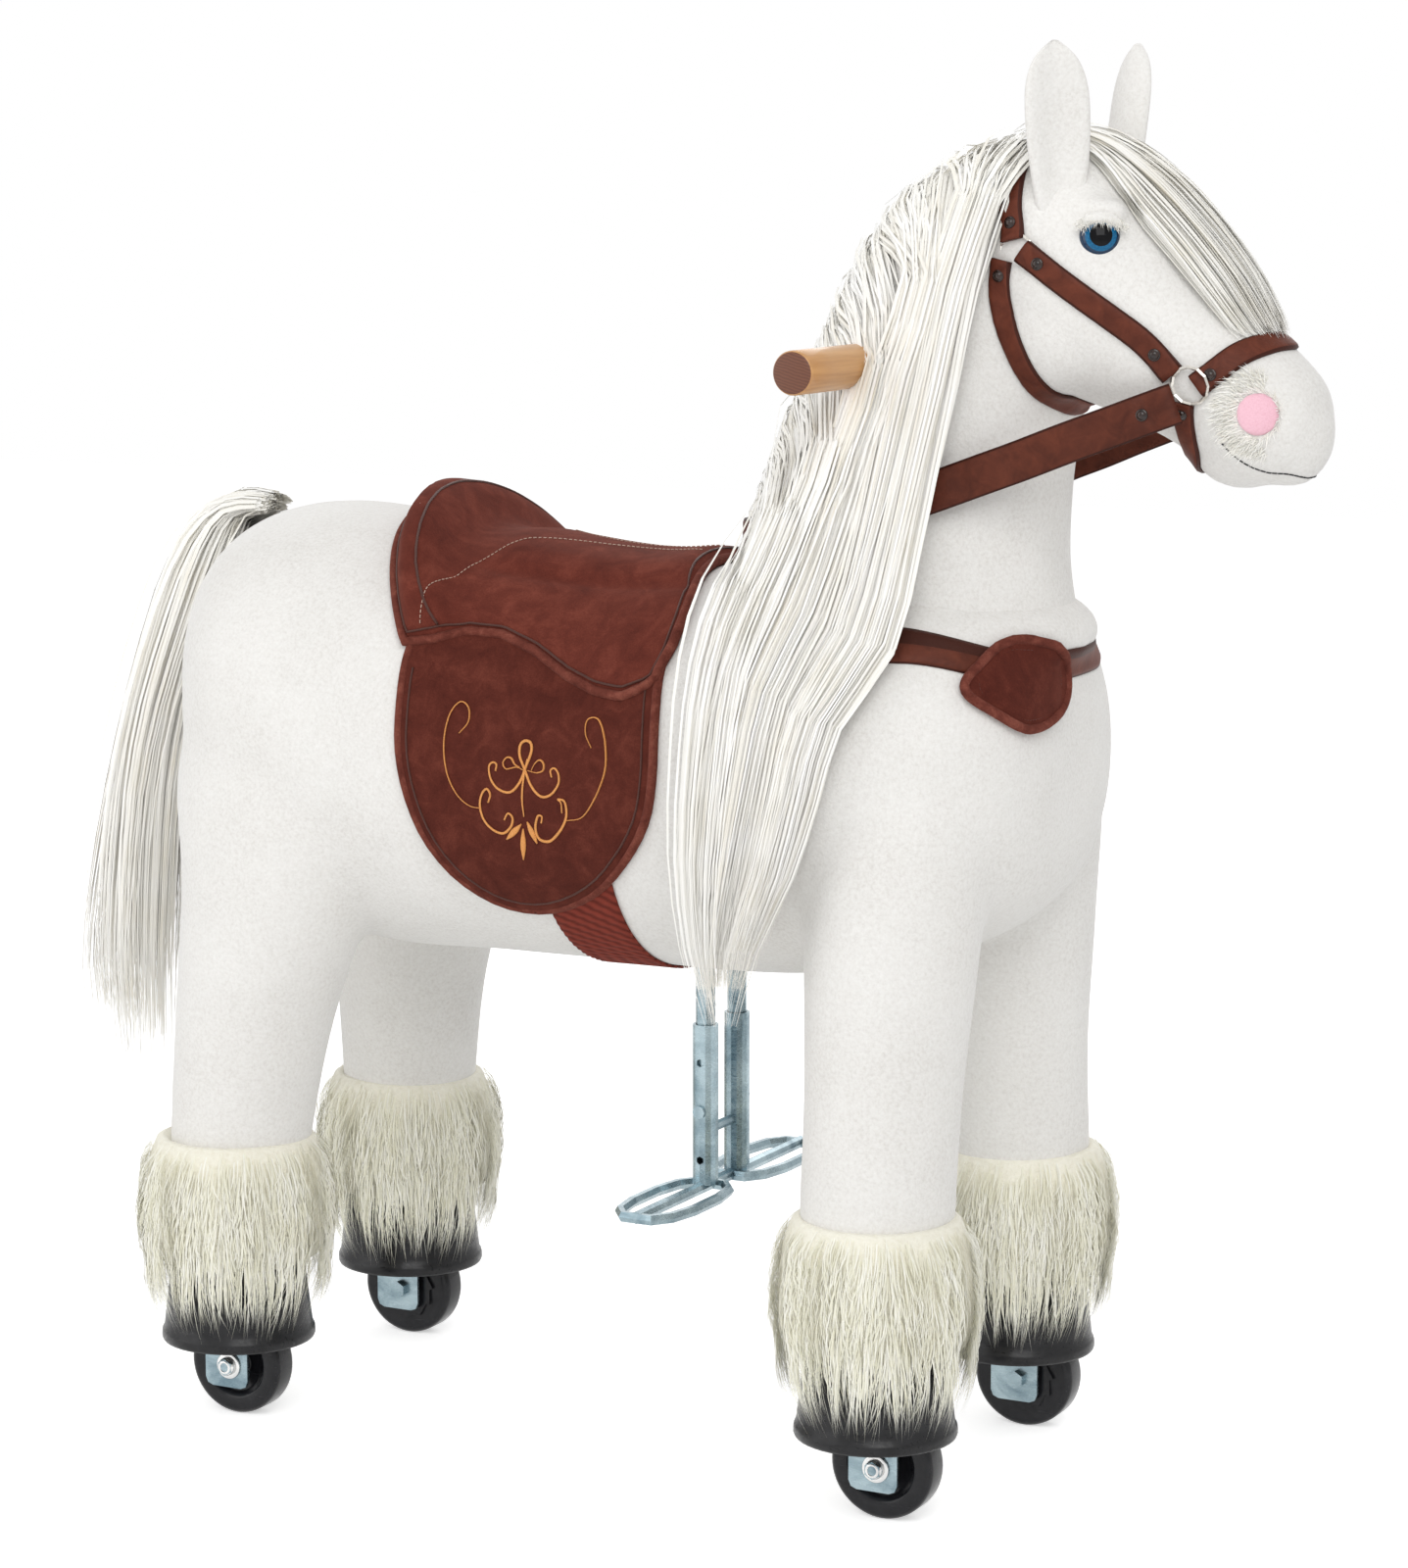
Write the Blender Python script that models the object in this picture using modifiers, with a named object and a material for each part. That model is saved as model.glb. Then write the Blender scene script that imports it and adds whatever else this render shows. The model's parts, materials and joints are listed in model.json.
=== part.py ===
"""Mechanical ride-on pony: stuffed body on a steel frame that gallops on four ratchet wheels.

Row frame, metres: +X forward, +Y the pony's left, +Z up, floor at z = 0.
"""

import bpy
import bmesh
from math import atan2, cos, degrees, pi, radians, sin
from mathutils import Matrix, Vector

# Fits
GAP = 0.0003
RUN_GAP = 0.0005
LINK_PLAY = 0.0008
SEAT_GAP = 0.0006
FLAT_ANGLE = radians(1.0)

# Wheels and axles
WHEEL_RADIUS = 0.038
WHEEL_SIDES = 20
TYRE_HALF_WIDTH = 0.012
TYRE_CROWN = 0.0045
RIM_RADIUS = 0.0275
RIM_FACE = 0.0075
HUB_RADIUS = 0.0105
AXLE_RADIUS = 0.004
TRACK_HALF = 0.119
FRONT_AXLE_X = 0.243
REAR_AXLE_X = -0.276
AXLE_Z = WHEEL_RADIUS * cos(pi / WHEEL_SIDES)

# Ratchet ring on the inner side of each wheel
TEETH = 12
TOOTH_TIP_RADIUS = 0.0255
TOOTH_DEPTH = 0.0030
TOOTH_STEP_SHARE = 0.1
RATCHET_OUT = 0.0146
CLAW_THICKNESS = 0.0024
PAWL_PIVOT_X = -0.0056
PAWL_PIVOT_Z = 0.0315
PAWL_PIN_RADIUS = 0.002
PAWL_WIRE_RADIUS = 0.0014
PAWL_ARM_X = -0.0283
PAWL_ARM_Z = 0.0138
PAWL_TAIL_REACH = 0.0405
PAWL_TAIL_Z = 0.0110
PAWL_TAIL_OUT = 0.0120
PAWL_BEND = 0.0028
PAWL_WIRE_LAP = 0.0030
CLAW_TIP_DEG = 153
CLAW_BITE = 0.0013

# Forks
FORK_SHEET = 0.0025
FORK_WIDTH = 0.036
FORK_CORNER = 0.006
FORK_BELOW_AXLE = 0.0165
FORK_TOP_CLEARANCE = 0.008
FORK_OUTER_GAP = 0.0033
KINGPIN_RADIUS = 0.008
KINGPIN_LENGTH = 0.036
FRONT_KINGPIN_X = 0.234
REAR_KINGPIN_X = -0.2790

# Leg frames: bent tube with its cross part as journal in the main frame
TUBE_RADIUS = 0.011
PIVOT_Z = 0.49
REAR_PIVOT_X = -0.15
FRONT_PIVOT_X = 0.12
JOURNAL_HALF = 0.074
STRAIGHT_HALF = 0.052
BEND_OUT = 0.010
BEND_DROP = 0.030
KNEE_IN = 0.025
KNEE_Z = 0.375
SHIN_Z = 0.150
LEG_SWING_DEG = 10.0

# Toggle linkage between the leg frames and the pedal carriage
LUG_DROP = 0.05
TOGGLE_X = (REAR_PIVOT_X + FRONT_PIVOT_X) / 2
TOGGLE_DROP = 0.04
LINK_WIDTH = 0.015
LINK_THICKNESS = 0.005
LINK_PIN_RADIUS = 0.004

# Main frame and seat board
SIDE_PLATE_Y = 0.045
SIDE_PLATE_THICKNESS = 0.004
SIDE_PLATE_BOTTOM = 0.468
SIDE_PLATE_BACK = -0.185
SIDE_PLATE_FRONT = 0.236
PLATE_WINDOWS = ((-0.115, -0.075), (-0.055, 0.015))
WINDOW_LOW = 0.488
WINDOW_HIGH = 0.548
GUIDE_HALF = 0.014
STRETCHER_X = -0.172
STRETCHER_Z = 0.545
STRETCHER_RADIUS = 0.008
WEB_HALF = 0.002
WEB_LOW = 0.505
WEB_HIGH = 0.560
PLATE_CORNER = 0.012
SEAT_BOARD_Z = 0.570
SEAT_BOARD_THICKNESS = 0.012
SEAT_BOARD_HALF_WIDTH = 0.072
SEAT_BOARD_BACK = -0.20
SEAT_BOARD_FRONT = 0.135

# Steering
STEER_X = 0.20
COLUMN_RADIUS = 0.011
HEAD_TUBE_WALL = 0.0035
HEAD_TUBE_BOTTOM = 0.500
HEAD_TUBE_TOP = 0.592
HANDLE_Z = 0.770
HANDLE_RADIUS = 0.0145
HANDLE_HALF_LENGTH = 0.182
COLLAR_RADIUS = 0.018
COLLAR_HEIGHT = 0.0067
CLAMP_WALL = 0.004
CLAMP_HALF = 0.022

# Pedal carriage and footrest
POST_X = 0.055
POST_Y = 0.024
POST_RADIUS = 0.0069
POST_BOTTOM = 0.2295
POST_TOP = 0.545
GUIDE_BOTTOM = 0.478
GUIDE_TOP = 0.516
SLEEVE_RADIUS = 0.0092
SLEEVE_BOTTOM = 0.187
SLEEVE_TOP = 0.302
SLEEVE_BORE_BOTTOM = 0.1925
HOLE_PITCH = 0.035
MIDDLE_HOLE_Z = 0.240
HOLE_RADIUS = 0.003
TREAD_Z = 0.1845
TREAD_ROD_RADIUS = 0.0040
TREAD_INNER_Y = 0.009
TREAD_OUTER_Y = 0.131
TREAD_HALF_WIDTH = 0.029
CROSS_BAR_Z = 0.225
CROSS_BAR_RADIUS = 0.0036

# Stuffed body
NECK_CUT_Z = 0.600
NECK_TURN_RADIUS = 0.132
CAP_GAP = 0.0010
CAP_SIDES = 36
FOAM_WALL = 0.028
YOKE_BAY_FLOOR = 0.363

# Hooves and cuffs
HOOF_BOTTOM_Z = 0.0465
HOOF_TOP_Z = 0.128
LEG_END_RADIUS = 0.048
HOOF_IN = 0.0010
HOOF_TOP_RADIUS = LEG_END_RADIUS - HOOF_IN
HOOF_FLARE = 0.0105
HOOF_BOTTOM_RADIUS = HOOF_TOP_RADIUS + HOOF_FLARE
HOOF_WALL = 0.004
WELT_HEIGHT = 0.006
WELT_OUT = 0.0018
CUFF_TOP_Z = 0.207
CUFF_BULGE_HIGH_Z = 0.170
CUFF_BULGE_LOW_Z = 0.130
CUFF_BOTTOM_Z = 0.088
CUFF_EASE = 0.0079
CUFF_LIP = 0.0024
CUFF_NECK_RADIUS = LEG_END_RADIUS + CUFF_EASE + CUFF_LIP
CUFF_SWELL = 0.012
CUFF_RADIUS = CUFF_NECK_RADIUS + CUFF_SWELL
HOOF_COVER = 0.0006
LEG_END_TUCK = 0.004
# Larger than any form, for blocks that cut a form flat
BLOCK = 0.30

WHITE_PLUSH = ((0.86, 0.85, 0.82), 0.9, 0.0)
CREAM_FUR = ((0.80, 0.76, 0.66), 0.9, 0.0)
HAIR = ((0.84, 0.81, 0.74), 0.6, 0.0)
BLACK_HIDE = ((0.012, 0.012, 0.013), 0.45, 0.0)
BLACK_RUBBER = ((0.01, 0.01, 0.011), 0.35, 0.0)
ZINC = ((0.55, 0.62, 0.66), 0.28, 1.0)
DARK_STEEL = ((0.05, 0.05, 0.055), 0.4, 0.8)
BROWN_STRAP = ((0.085, 0.022, 0.012), 0.6, 0.0)
BROWN_SUEDE = ((0.095, 0.024, 0.016), 0.95, 0.0)
BEECH = ((0.62, 0.32, 0.12), 0.45, 0.0)
PLYWOOD = ((0.60, 0.42, 0.24), 0.6, 0.0)
RING_STEEL = ((0.62, 0.60, 0.57), 0.25, 1.0)
EYE_GLOSS = ((0.01, 0.10, 0.22), 0.08, 0.0)


def clear_scene():
    for item in list(bpy.data.objects):
        bpy.data.objects.remove(item, do_unlink=True)
    for block in list(bpy.data.collections):
        bpy.data.collections.remove(block)


def make_collection(name):
    made = bpy.data.collections.new(name)
    bpy.context.scene.collection.children.link(made)
    return made


def surface(name, look):
    colour, roughness, metallic = look
    made = bpy.data.materials.get(name)
    if made is None:
        made = bpy.data.materials.new(name)
        made.use_nodes = True
        shader = made.node_tree.nodes["Principled BSDF"]
        shader.inputs["Base Color"].default_value = (*colour, 1.0)
        shader.inputs["Roughness"].default_value = roughness
        shader.inputs["Metallic"].default_value = metallic
        made.diffuse_color = (*colour, 1.0)
    return made


def new_object(name, mesh):
    made = bpy.data.objects.new(name, mesh)
    bpy.context.scene.collection.objects.link(made)
    return made


def mesh_from(bm, name):
    mesh = bpy.data.meshes.new(name)
    bmesh.ops.recalc_face_normals(bm, faces=bm.faces)
    bm.to_mesh(mesh)
    bm.free()
    return mesh


def settle(item):
    """Applies the modifiers and turns a curve into a welded mesh with its placing kept in the mesh."""
    bpy.context.view_layer.update()
    graph = bpy.context.evaluated_depsgraph_get()
    mesh = bpy.data.meshes.new_from_object(item.evaluated_get(graph))
    mesh.transform(item.matrix_world)
    bm = bmesh.new()
    bm.from_mesh(mesh)
    bmesh.ops.remove_doubles(bm, verts=bm.verts, dist=0.00001)
    bmesh.ops.dissolve_degenerate(bm, edges=bm.edges, dist=0.000002)
    bm.to_mesh(mesh)
    bm.free()
    name = item.name
    bpy.data.objects.remove(item, do_unlink=True)
    made = new_object(name, mesh)
    return made


def box(low, high, name="box"):
    bm = bmesh.new()
    bmesh.ops.create_cube(bm, size=1.0)
    size = Vector(high) - Vector(low)
    middle = (Vector(high) + Vector(low)) / 2
    bmesh.ops.scale(bm, vec=size, verts=bm.verts)
    bmesh.ops.translate(bm, vec=middle, verts=bm.verts)
    return new_object(name, mesh_from(bm, name))


def rod(start, end, radius, sides=10, end_radius=None, name="rod"):
    """A cylinder or cone from start to end."""
    start = Vector(start)
    end = Vector(end)
    along = end - start
    bm = bmesh.new()
    top = radius if end_radius is None else end_radius
    bmesh.ops.create_cone(
        bm, cap_ends=True, segments=sides, radius1=radius, radius2=top, depth=along.length
    )
    turn = Vector((0, 0, 1)).rotation_difference(along.normalized()).to_matrix().to_4x4()
    bmesh.ops.transform(bm, matrix=Matrix.Translation((start + end) / 2) @ turn, verts=bm.verts)
    return new_object(name, mesh_from(bm, name))


def ball(centre, radius, name="ball", segments=10, rings=7):
    bm = bmesh.new()
    bmesh.ops.create_uvsphere(bm, u_segments=segments, v_segments=rings, radius=radius)
    bmesh.ops.translate(bm, vec=centre, verts=bm.verts)
    return new_object(name, mesh_from(bm, name))


def wire(points, radius, name="wire", cyclic=False, resolution=2):
    """A tube along points."""
    curve = bpy.data.curves.new(name, "CURVE")
    curve.dimensions = "3D"
    curve.bevel_depth = radius
    curve.bevel_resolution = resolution
    curve.use_fill_caps = True
    curve.render_resolution_u = 0
    spline = curve.splines.new("POLY")
    spline.points.add(len(points) - 1)
    for slot, point in zip(spline.points, points):
        slot.co = (*point, 1.0)
    spline.use_cyclic_u = cyclic
    return settle(new_object(name, curve))


def plate(outline, thickness, name="plate", holes=()):
    """A flat plate: outline and holes in XY, half its thickness on each side of z = 0."""
    curve = bpy.data.curves.new(name, "CURVE")
    curve.dimensions = "2D"
    curve.fill_mode = "BOTH"
    curve.extrude = thickness / 2
    curve.render_resolution_u = 0
    for loop in (outline, *holes):
        spline = curve.splines.new("POLY")
        spline.points.add(len(loop) - 1)
        for slot, point in zip(spline.points, loop):
            slot.co = (point[0], point[1], 0.0, 1.0)
        spline.use_cyclic_u = True
    made = settle(new_object(name, curve))
    outward(made)
    return made


def outward(item):
    bm = bmesh.new()
    bm.from_mesh(item.data)
    bmesh.ops.recalc_face_normals(bm, faces=bm.faces)
    if bm.calc_volume(signed=True) < 0:
        bmesh.ops.reverse_faces(bm, faces=bm.faces)
    bm.to_mesh(item.data)
    bm.free()


def upright_plate(outline, middle_y, thickness, name="plate", holes=()):
    """A plate whose outline and holes lie in XZ, centred on middle_y."""
    made = plate(outline, thickness, name, holes)
    made.data.transform(Matrix.Translation((0, middle_y, 0)) @ Matrix.Rotation(pi / 2, 4, "X"))
    return made


def turned(profile, centre, axis="Z", sides=24, name="turned", phase=0.0, closed=False):
    """A profile of (radius, height) points turned about an axis through centre."""
    bm = bmesh.new()
    made = [bm.verts.new((radius, 0.0, height)) for radius, height in profile]
    for first, second in zip(made, made[1:]):
        bm.edges.new((first, second))
    if closed:
        bm.edges.new((made[-1], made[0]))
    mesh = bpy.data.meshes.new(name)
    bm.to_mesh(mesh)
    bm.free()
    item = new_object(name, mesh)
    screw = item.modifiers.new("turn", "SCREW")
    screw.axis = "Z"
    screw.steps = sides
    screw.render_steps = sides
    screw.use_merge_vertices = True
    screw.merge_threshold = 0.00001
    item = settle(item)
    outward(item)
    if axis == "Y":
        tilt = Matrix.Rotation(-pi / 2, 4, "X")
    else:
        tilt = Matrix.Identity(4)
    item.data.transform(Matrix.Translation(centre) @ tilt @ Matrix.Rotation(phase, 4, "Z"))
    return item


def loft(rings, name="form", levels=1):
    """A closed cage through rings of points, smoothed."""
    bm = bmesh.new()
    rows = [[bm.verts.new(point) for point in ring] for ring in rings]
    count = len(rings[0])
    for low, high in zip(rows, rows[1:]):
        for index in range(count):
            after = (index + 1) % count
            bm.faces.new((low[index], low[after], high[after], high[index]))
    bm.faces.new(list(reversed(rows[0])))
    bm.faces.new(rows[-1])
    item = new_object(name, mesh_from(bm, name))
    if levels:
        smooth = item.modifiers.new("smooth", "SUBSURF")
        smooth.levels = levels
        smooth.render_levels = levels
        item = settle(item)
    flatten(item)
    return item


def flatten(item):
    """Splits bent faces into triangles, so that cuts through them stay clean."""
    bm = bmesh.new()
    bm.from_mesh(item.data)
    bmesh.ops.triangulate(bm, faces=bm.faces)
    bm.to_mesh(item.data)
    bm.free()


def swell(count):
    """How far a cage ring of count points stands out from the smoothed skin."""
    return 1 / cos(pi / count)


def oval(centre, across, up, half_across, half_up, count=8, fullness=0.0):
    """A cage ring for an oval; fullness pushes the diagonals out toward a rounded box."""
    points = []
    for index in range(count):
        angle = 2 * pi * index / count
        push = (1 + fullness * abs(sin(2 * angle))) * swell(count)
        side = Vector(across) * (half_across * cos(angle) * push)
        rise = Vector(up) * (half_up * sin(angle) * push)
        points.append(Vector(centre) + side + rise)
    return points


def boolean(item, other, operation):
    change = item.modifiers.new("change", "BOOLEAN")
    change.operation = operation
    change.solver = "EXACT"
    change.object = other
    item = settle(item)
    bpy.data.objects.remove(other, do_unlink=True)
    return item


def cut(item, *cutters):
    for cutter in cutters:
        item = boolean(item, cutter, "DIFFERENCE")
    return item


def fuse(item, *others):
    for other in others:
        item = boolean(item, other, "UNION")
    return item


def keep_inside(item, other):
    return boolean(item, other, "INTERSECT")


def copy_of(item, name="copy"):
    return new_object(name, item.data.copy())


def mirrored(item, name):
    """A copy on the other side of the XZ plane."""
    made = copy_of(item, name)
    made.data.transform(Matrix.Scale(-1, 4, (0, 1, 0)))
    made.data.flip_normals()
    return made


def finish(item, name, slot, look, origin, holder, parts):
    """Names the piece, gives it its material, and puts its origin on its joint or seat."""
    merge_flat(item)
    item.name = name
    item.data.name = name
    item.data.materials.clear()
    item.data.materials.append(surface(slot, look))
    item.data.transform(Matrix.Translation(-Vector(origin)))
    item.data.shade_smooth()
    item.data.set_sharp_from_angle(angle=radians(35))
    for group in list(item.users_collection):
        group.objects.unlink(item)
    parts.objects.link(item)
    item.parent = holder
    item.location = Vector(origin) - holder.location
    return item


def merge_flat(item):
    """Joins faces that lie in one plane, then splits them into as few triangles as they need."""
    bm = bmesh.new()
    bm.from_mesh(item.data)
    bmesh.ops.dissolve_limit(
        bm, angle_limit=FLAT_ANGLE, verts=bm.verts, edges=bm.edges, use_dissolve_boundaries=False
    )
    bmesh.ops.triangulate(bm, faces=bm.faces)
    bm.to_mesh(item.data)
    bm.free()


def arc(centre, radius, start_deg, end_deg, count):
    """Points on a circular arc, in a plane of two axes."""
    points = []
    for index in range(count):
        angle = radians(start_deg + (end_deg - start_deg) * index / (count - 1))
        points.append((centre[0] + radius * cos(angle), centre[1] + radius * sin(angle)))
    return points


def rounded_rectangle(low, high, corner, count=4):
    """Corner points with rounded corners, counter-clockwise."""
    left, bottom = low
    right, top = high
    points = []
    points += arc((right - corner, bottom + corner), corner, -90, 0, count)
    points += arc((right - corner, top - corner), corner, 0, 90, count)
    points += arc((left + corner, top - corner), corner, 90, 180, count)
    points += arc((left + corner, bottom + corner), corner, 180, 270, count)
    return points


def circle(centre, radius, count=16):
    return arc(centre, radius, 0, 360 - 360 / count, count)


# Wheels, forks and pawls


def wheel_profile():
    half = TYRE_HALF_WIDTH
    crown = TYRE_CROWN
    flat = half - crown
    edge = WHEEL_RADIUS - crown
    bore = AXLE_RADIUS + 0.0006
    hub_out = half + FORK_OUTER_GAP - GAP
    hub_in = -(RATCHET_OUT + 0.0029)
    return [
        (bore, hub_out),
        (HUB_RADIUS, hub_out),
        (HUB_RADIUS + 0.0015, RIM_FACE),
        (RIM_RADIUS, RIM_FACE),
        (RIM_RADIUS + 0.0015, half),
        (edge, half),
        (WHEEL_RADIUS, flat),
        (WHEEL_RADIUS, -flat),
        (edge, -half),
        (HUB_RADIUS, -half),
        (HUB_RADIUS, hub_in),
        (bore, hub_in),
    ]


def ratchet_outline():
    points = []
    for index in range(TEETH):
        base = 2 * pi * index / TEETH
        root = TOOTH_TIP_RADIUS - TOOTH_DEPTH
        points.append((root * cos(base), root * sin(base)))
        tip = base + 2 * pi / TEETH * TOOTH_STEP_SHARE
        points.append((TOOTH_TIP_RADIUS * cos(tip), TOOTH_TIP_RADIUS * sin(tip)))
    return points


def make_wheel(axle_x, side):
    """Tyre and hub turned in one, with the ratchet ring fused to the inner side."""
    centre = (axle_x, side * TRACK_HALF, AXLE_Z)
    item = turned(wheel_profile(), (0, 0, 0), "Z", WHEEL_SIDES, "wheel", pi / WHEEL_SIDES, True)
    ring_low = TYRE_HALF_WIDTH - 0.002
    ring_middle = -(ring_low + RATCHET_OUT) / 2
    bore = circle((0, 0), HUB_RADIUS - 0.002, 12)
    ring = plate(ratchet_outline(), RATCHET_OUT - ring_low, "ring", [bore])
    ring.data.transform(Matrix.Translation((0, 0, ring_middle)))
    item = fuse(item, ring)
    stand = Matrix.Rotation(-side * pi / 2, 4, "X")
    if side < 0:
        stand = stand @ Matrix.Scale(-1, 4, (1, 0, 0))
        item.data.flip_normals()
    item.data.transform(Matrix.Translation(centre) @ stand)
    return item


def fork_edges(side):
    """Inner faces of the two fork plates, measured out from the wheel's middle plane."""
    outer = TYRE_HALF_WIDTH + FORK_OUTER_GAP
    inner = -(RATCHET_OUT + 0.0032)
    return side * outer, side * inner


def make_fork(axle_x, kingpin_x, side):
    """Two rounded cheeks, a top plate and a kingpin, with axle bolt, nut and pawl pin."""
    track = side * TRACK_HALF
    outer, inner = fork_edges(side)
    middle_x = axle_x - 0.0025
    low = (middle_x - FORK_WIDTH / 2, AXLE_Z - FORK_BELOW_AXLE)
    top = AXLE_Z + WHEEL_RADIUS + FORK_TOP_CLEARANCE
    high = (middle_x + FORK_WIDTH / 2, top + FORK_SHEET)
    outline = arc((low[0] + FORK_CORNER, low[1] + FORK_CORNER), FORK_CORNER, 180, 270, 3)
    outline += arc((high[0] - FORK_CORNER, low[1] + FORK_CORNER), FORK_CORNER, 270, 360, 3)
    outline += [high, (low[0], high[1])]
    out = 1 if side > 0 else -1
    cheek_out = upright_plate(outline, track + outer + out * FORK_SHEET / 2, FORK_SHEET)
    cheek_in = upright_plate(outline, track + inner - out * FORK_SHEET / 2, FORK_SHEET)
    edges = sorted((track + outer + out * 0.001, track + inner - out * 0.001))
    bridge = box((low[0] + 0.001, edges[0], top), (high[0] - 0.001, edges[1], high[1] - 0.0001))
    kingpin = rod(
        (kingpin_x, track, top + 0.001),
        (kingpin_x, track, high[1] + KINGPIN_LENGTH),
        KINGPIN_RADIUS,
        12,
    )
    item = fuse(cheek_out, cheek_in, bridge, kingpin)
    head = track + outer + out * FORK_SHEET
    nut = track + inner - out * FORK_SHEET
    bolt = rod((axle_x, nut - out * 0.001, AXLE_Z), (axle_x, head + out * 0.001, AXLE_Z), AXLE_RADIUS)
    washer = rod((axle_x, head - out * 0.0005, AXLE_Z), (axle_x, head + out * 0.0015, AXLE_Z), 0.009, 12)
    cap = rod((axle_x, head + out * 0.001, AXLE_Z), (axle_x, head + out * 0.0065, AXLE_Z), 0.0062, 6)
    back = rod((axle_x, nut + out * 0.0005, AXLE_Z), (axle_x, nut - out * 0.005, AXLE_Z), 0.0065, 6)
    pin_x = axle_x + PAWL_PIVOT_X
    pin_z = AXLE_Z + PAWL_PIVOT_Z
    ring_plane = track - out * (TYRE_HALF_WIDTH + 0.0004)
    pin = rod((pin_x, nut + out * 0.001, pin_z), (pin_x, ring_plane, pin_z), PAWL_PIN_RADIUS, 8)
    item = fuse(item, bolt, washer, cap, back, pin)
    return item


def make_pawl(axle_x, side):
    """A claw plate on the fork's pin, ending in a bent wire tail behind the fork."""
    out = 1 if side > 0 else -1
    track = side * TRACK_HALF
    plane = track - out * (RATCHET_OUT + TYRE_HALF_WIDTH + 0.0008) / 2
    pivot = (axle_x + PAWL_PIVOT_X, AXLE_Z + PAWL_PIVOT_Z)
    boss = PAWL_PIN_RADIUS + 0.0022
    arm_end = (axle_x + PAWL_ARM_X, AXLE_Z + PAWL_ARM_Z)
    slope = atan2(arm_end[1] - pivot[1], arm_end[0] - pivot[0])
    side_step = (0.0017 * -sin(slope), 0.0017 * cos(slope))
    outer_end = (arm_end[0] - side_step[0], arm_end[1] - side_step[1])
    inner_end = (arm_end[0] + side_step[0], arm_end[1] + side_step[1])
    claw_angle = radians(CLAW_TIP_DEG)
    claw_radius = TOOTH_TIP_RADIUS - CLAW_BITE
    claw_tip = (axle_x + claw_radius * cos(claw_angle), AXLE_Z + claw_radius * sin(claw_angle))
    along = Vector((arm_end[0] - pivot[0], arm_end[1] - pivot[1])).normalized()
    reach = (Vector(claw_tip) - Vector(pivot)).dot(along)
    root = Vector(pivot) + along * reach + Vector(side_step)
    start = degrees(slope)
    outline = arc(pivot, boss, start - 90, start - 270, 7)
    outline = outline + [(root.x, root.y), claw_tip, inner_end, outer_end]
    hole = circle(pivot, PAWL_PIN_RADIUS + 0.0004, 8)
    item = upright_plate(outline, plane, CLAW_THICKNESS, "pawl", [hole])
    tail = (axle_x - PAWL_TAIL_REACH, AXLE_Z + PAWL_TAIL_Z)
    back = (Vector(tail) - Vector(arm_end)).normalized()
    first = Vector(arm_end) - back * PAWL_WIRE_LAP
    corner = Vector(tail) - back * PAWL_BEND
    path = [
        (first.x, plane, first.y),
        (corner.x, plane, corner.y),
        (tail[0], plane + out * PAWL_BEND, tail[1]),
        (tail[0], plane + out * PAWL_TAIL_OUT, tail[1]),
    ]
    item = fuse(item, wire(path, PAWL_WIRE_RADIUS, "tail", False, 1))
    return item


# Leg frames and main frame


def tube_route(pivot_x, kingpin_x):
    """One half of a leg frame tube: out of the journal, through the body, down to the kingpin."""
    bend_x = pivot_x + (kingpin_x - pivot_x) * 0.30
    knee_x = pivot_x + (kingpin_x - pivot_x) * 0.86
    end_z = AXLE_Z + WHEEL_RADIUS + FORK_TOP_CLEARANCE + FORK_SHEET + GAP
    return [
        Vector((pivot_x, JOURNAL_HALF, PIVOT_Z)),
        Vector((bend_x, JOURNAL_HALF + BEND_OUT, PIVOT_Z - BEND_DROP)),
        Vector((knee_x, TRACK_HALF - KNEE_IN, KNEE_Z)),
        Vector((kingpin_x, TRACK_HALF, SHIN_Z)),
        Vector((kingpin_x, TRACK_HALF, end_z)),
    ]


def rounded_route(points, share=0.35):
    """Cuts each inner corner with two points, so that the tube bends instead of folding."""
    made = [points[0]]
    for before, corner, after in zip(points, points[1:], points[2:]):
        made.append(corner.lerp(before, share))
        made.append(corner.lerp(after, share))
    made.append(points[-1])
    return made


def leg_route(pivot_x, kingpin_x):
    half = tube_route(pivot_x, kingpin_x)
    bent = rounded_route([Vector((pivot_x, STRAIGHT_HALF, PIVOT_Z))] + half)
    other = [Vector((point.x, -point.y, point.z)) for point in reversed(bent)]
    return other + bent


def make_leg_frame(pivot_x, kingpin_x, link_side):
    """Bent tube from kingpin to kingpin, with the lug and pin that drive the toggle link."""
    item = wire(leg_route(pivot_x, kingpin_x), TUBE_RADIUS, "leg_frame", False, 2)
    end_z = tube_route(pivot_x, kingpin_x)[-1].z
    for side in (1, -1):
        socket = rod(
            (kingpin_x, side * TRACK_HALF, end_z - 0.01),
            (kingpin_x, side * TRACK_HALF, end_z + KINGPIN_LENGTH + 0.002),
            KINGPIN_RADIUS + GAP,
            12,
        )
        item = cut(item, socket)
    near = link_side * (0.001 + LINK_THICKNESS + RUN_GAP)
    far = near + link_side * LINK_THICKNESS
    lug_z = PIVOT_Z - LUG_DROP
    outline = arc((pivot_x, lug_z), 0.009, 180, 360, 7)
    outline += [(pivot_x + 0.010, PIVOT_Z), (pivot_x - 0.010, PIVOT_Z)]
    lug = upright_plate(outline, (near + far) / 2, LINK_THICKNESS, "lug")
    pin = rod((pivot_x, far - link_side * 0.001, lug_z), (pivot_x, link_side * 0.0005, lug_z), LINK_PIN_RADIUS)
    return fuse(item, lug, pin)


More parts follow.
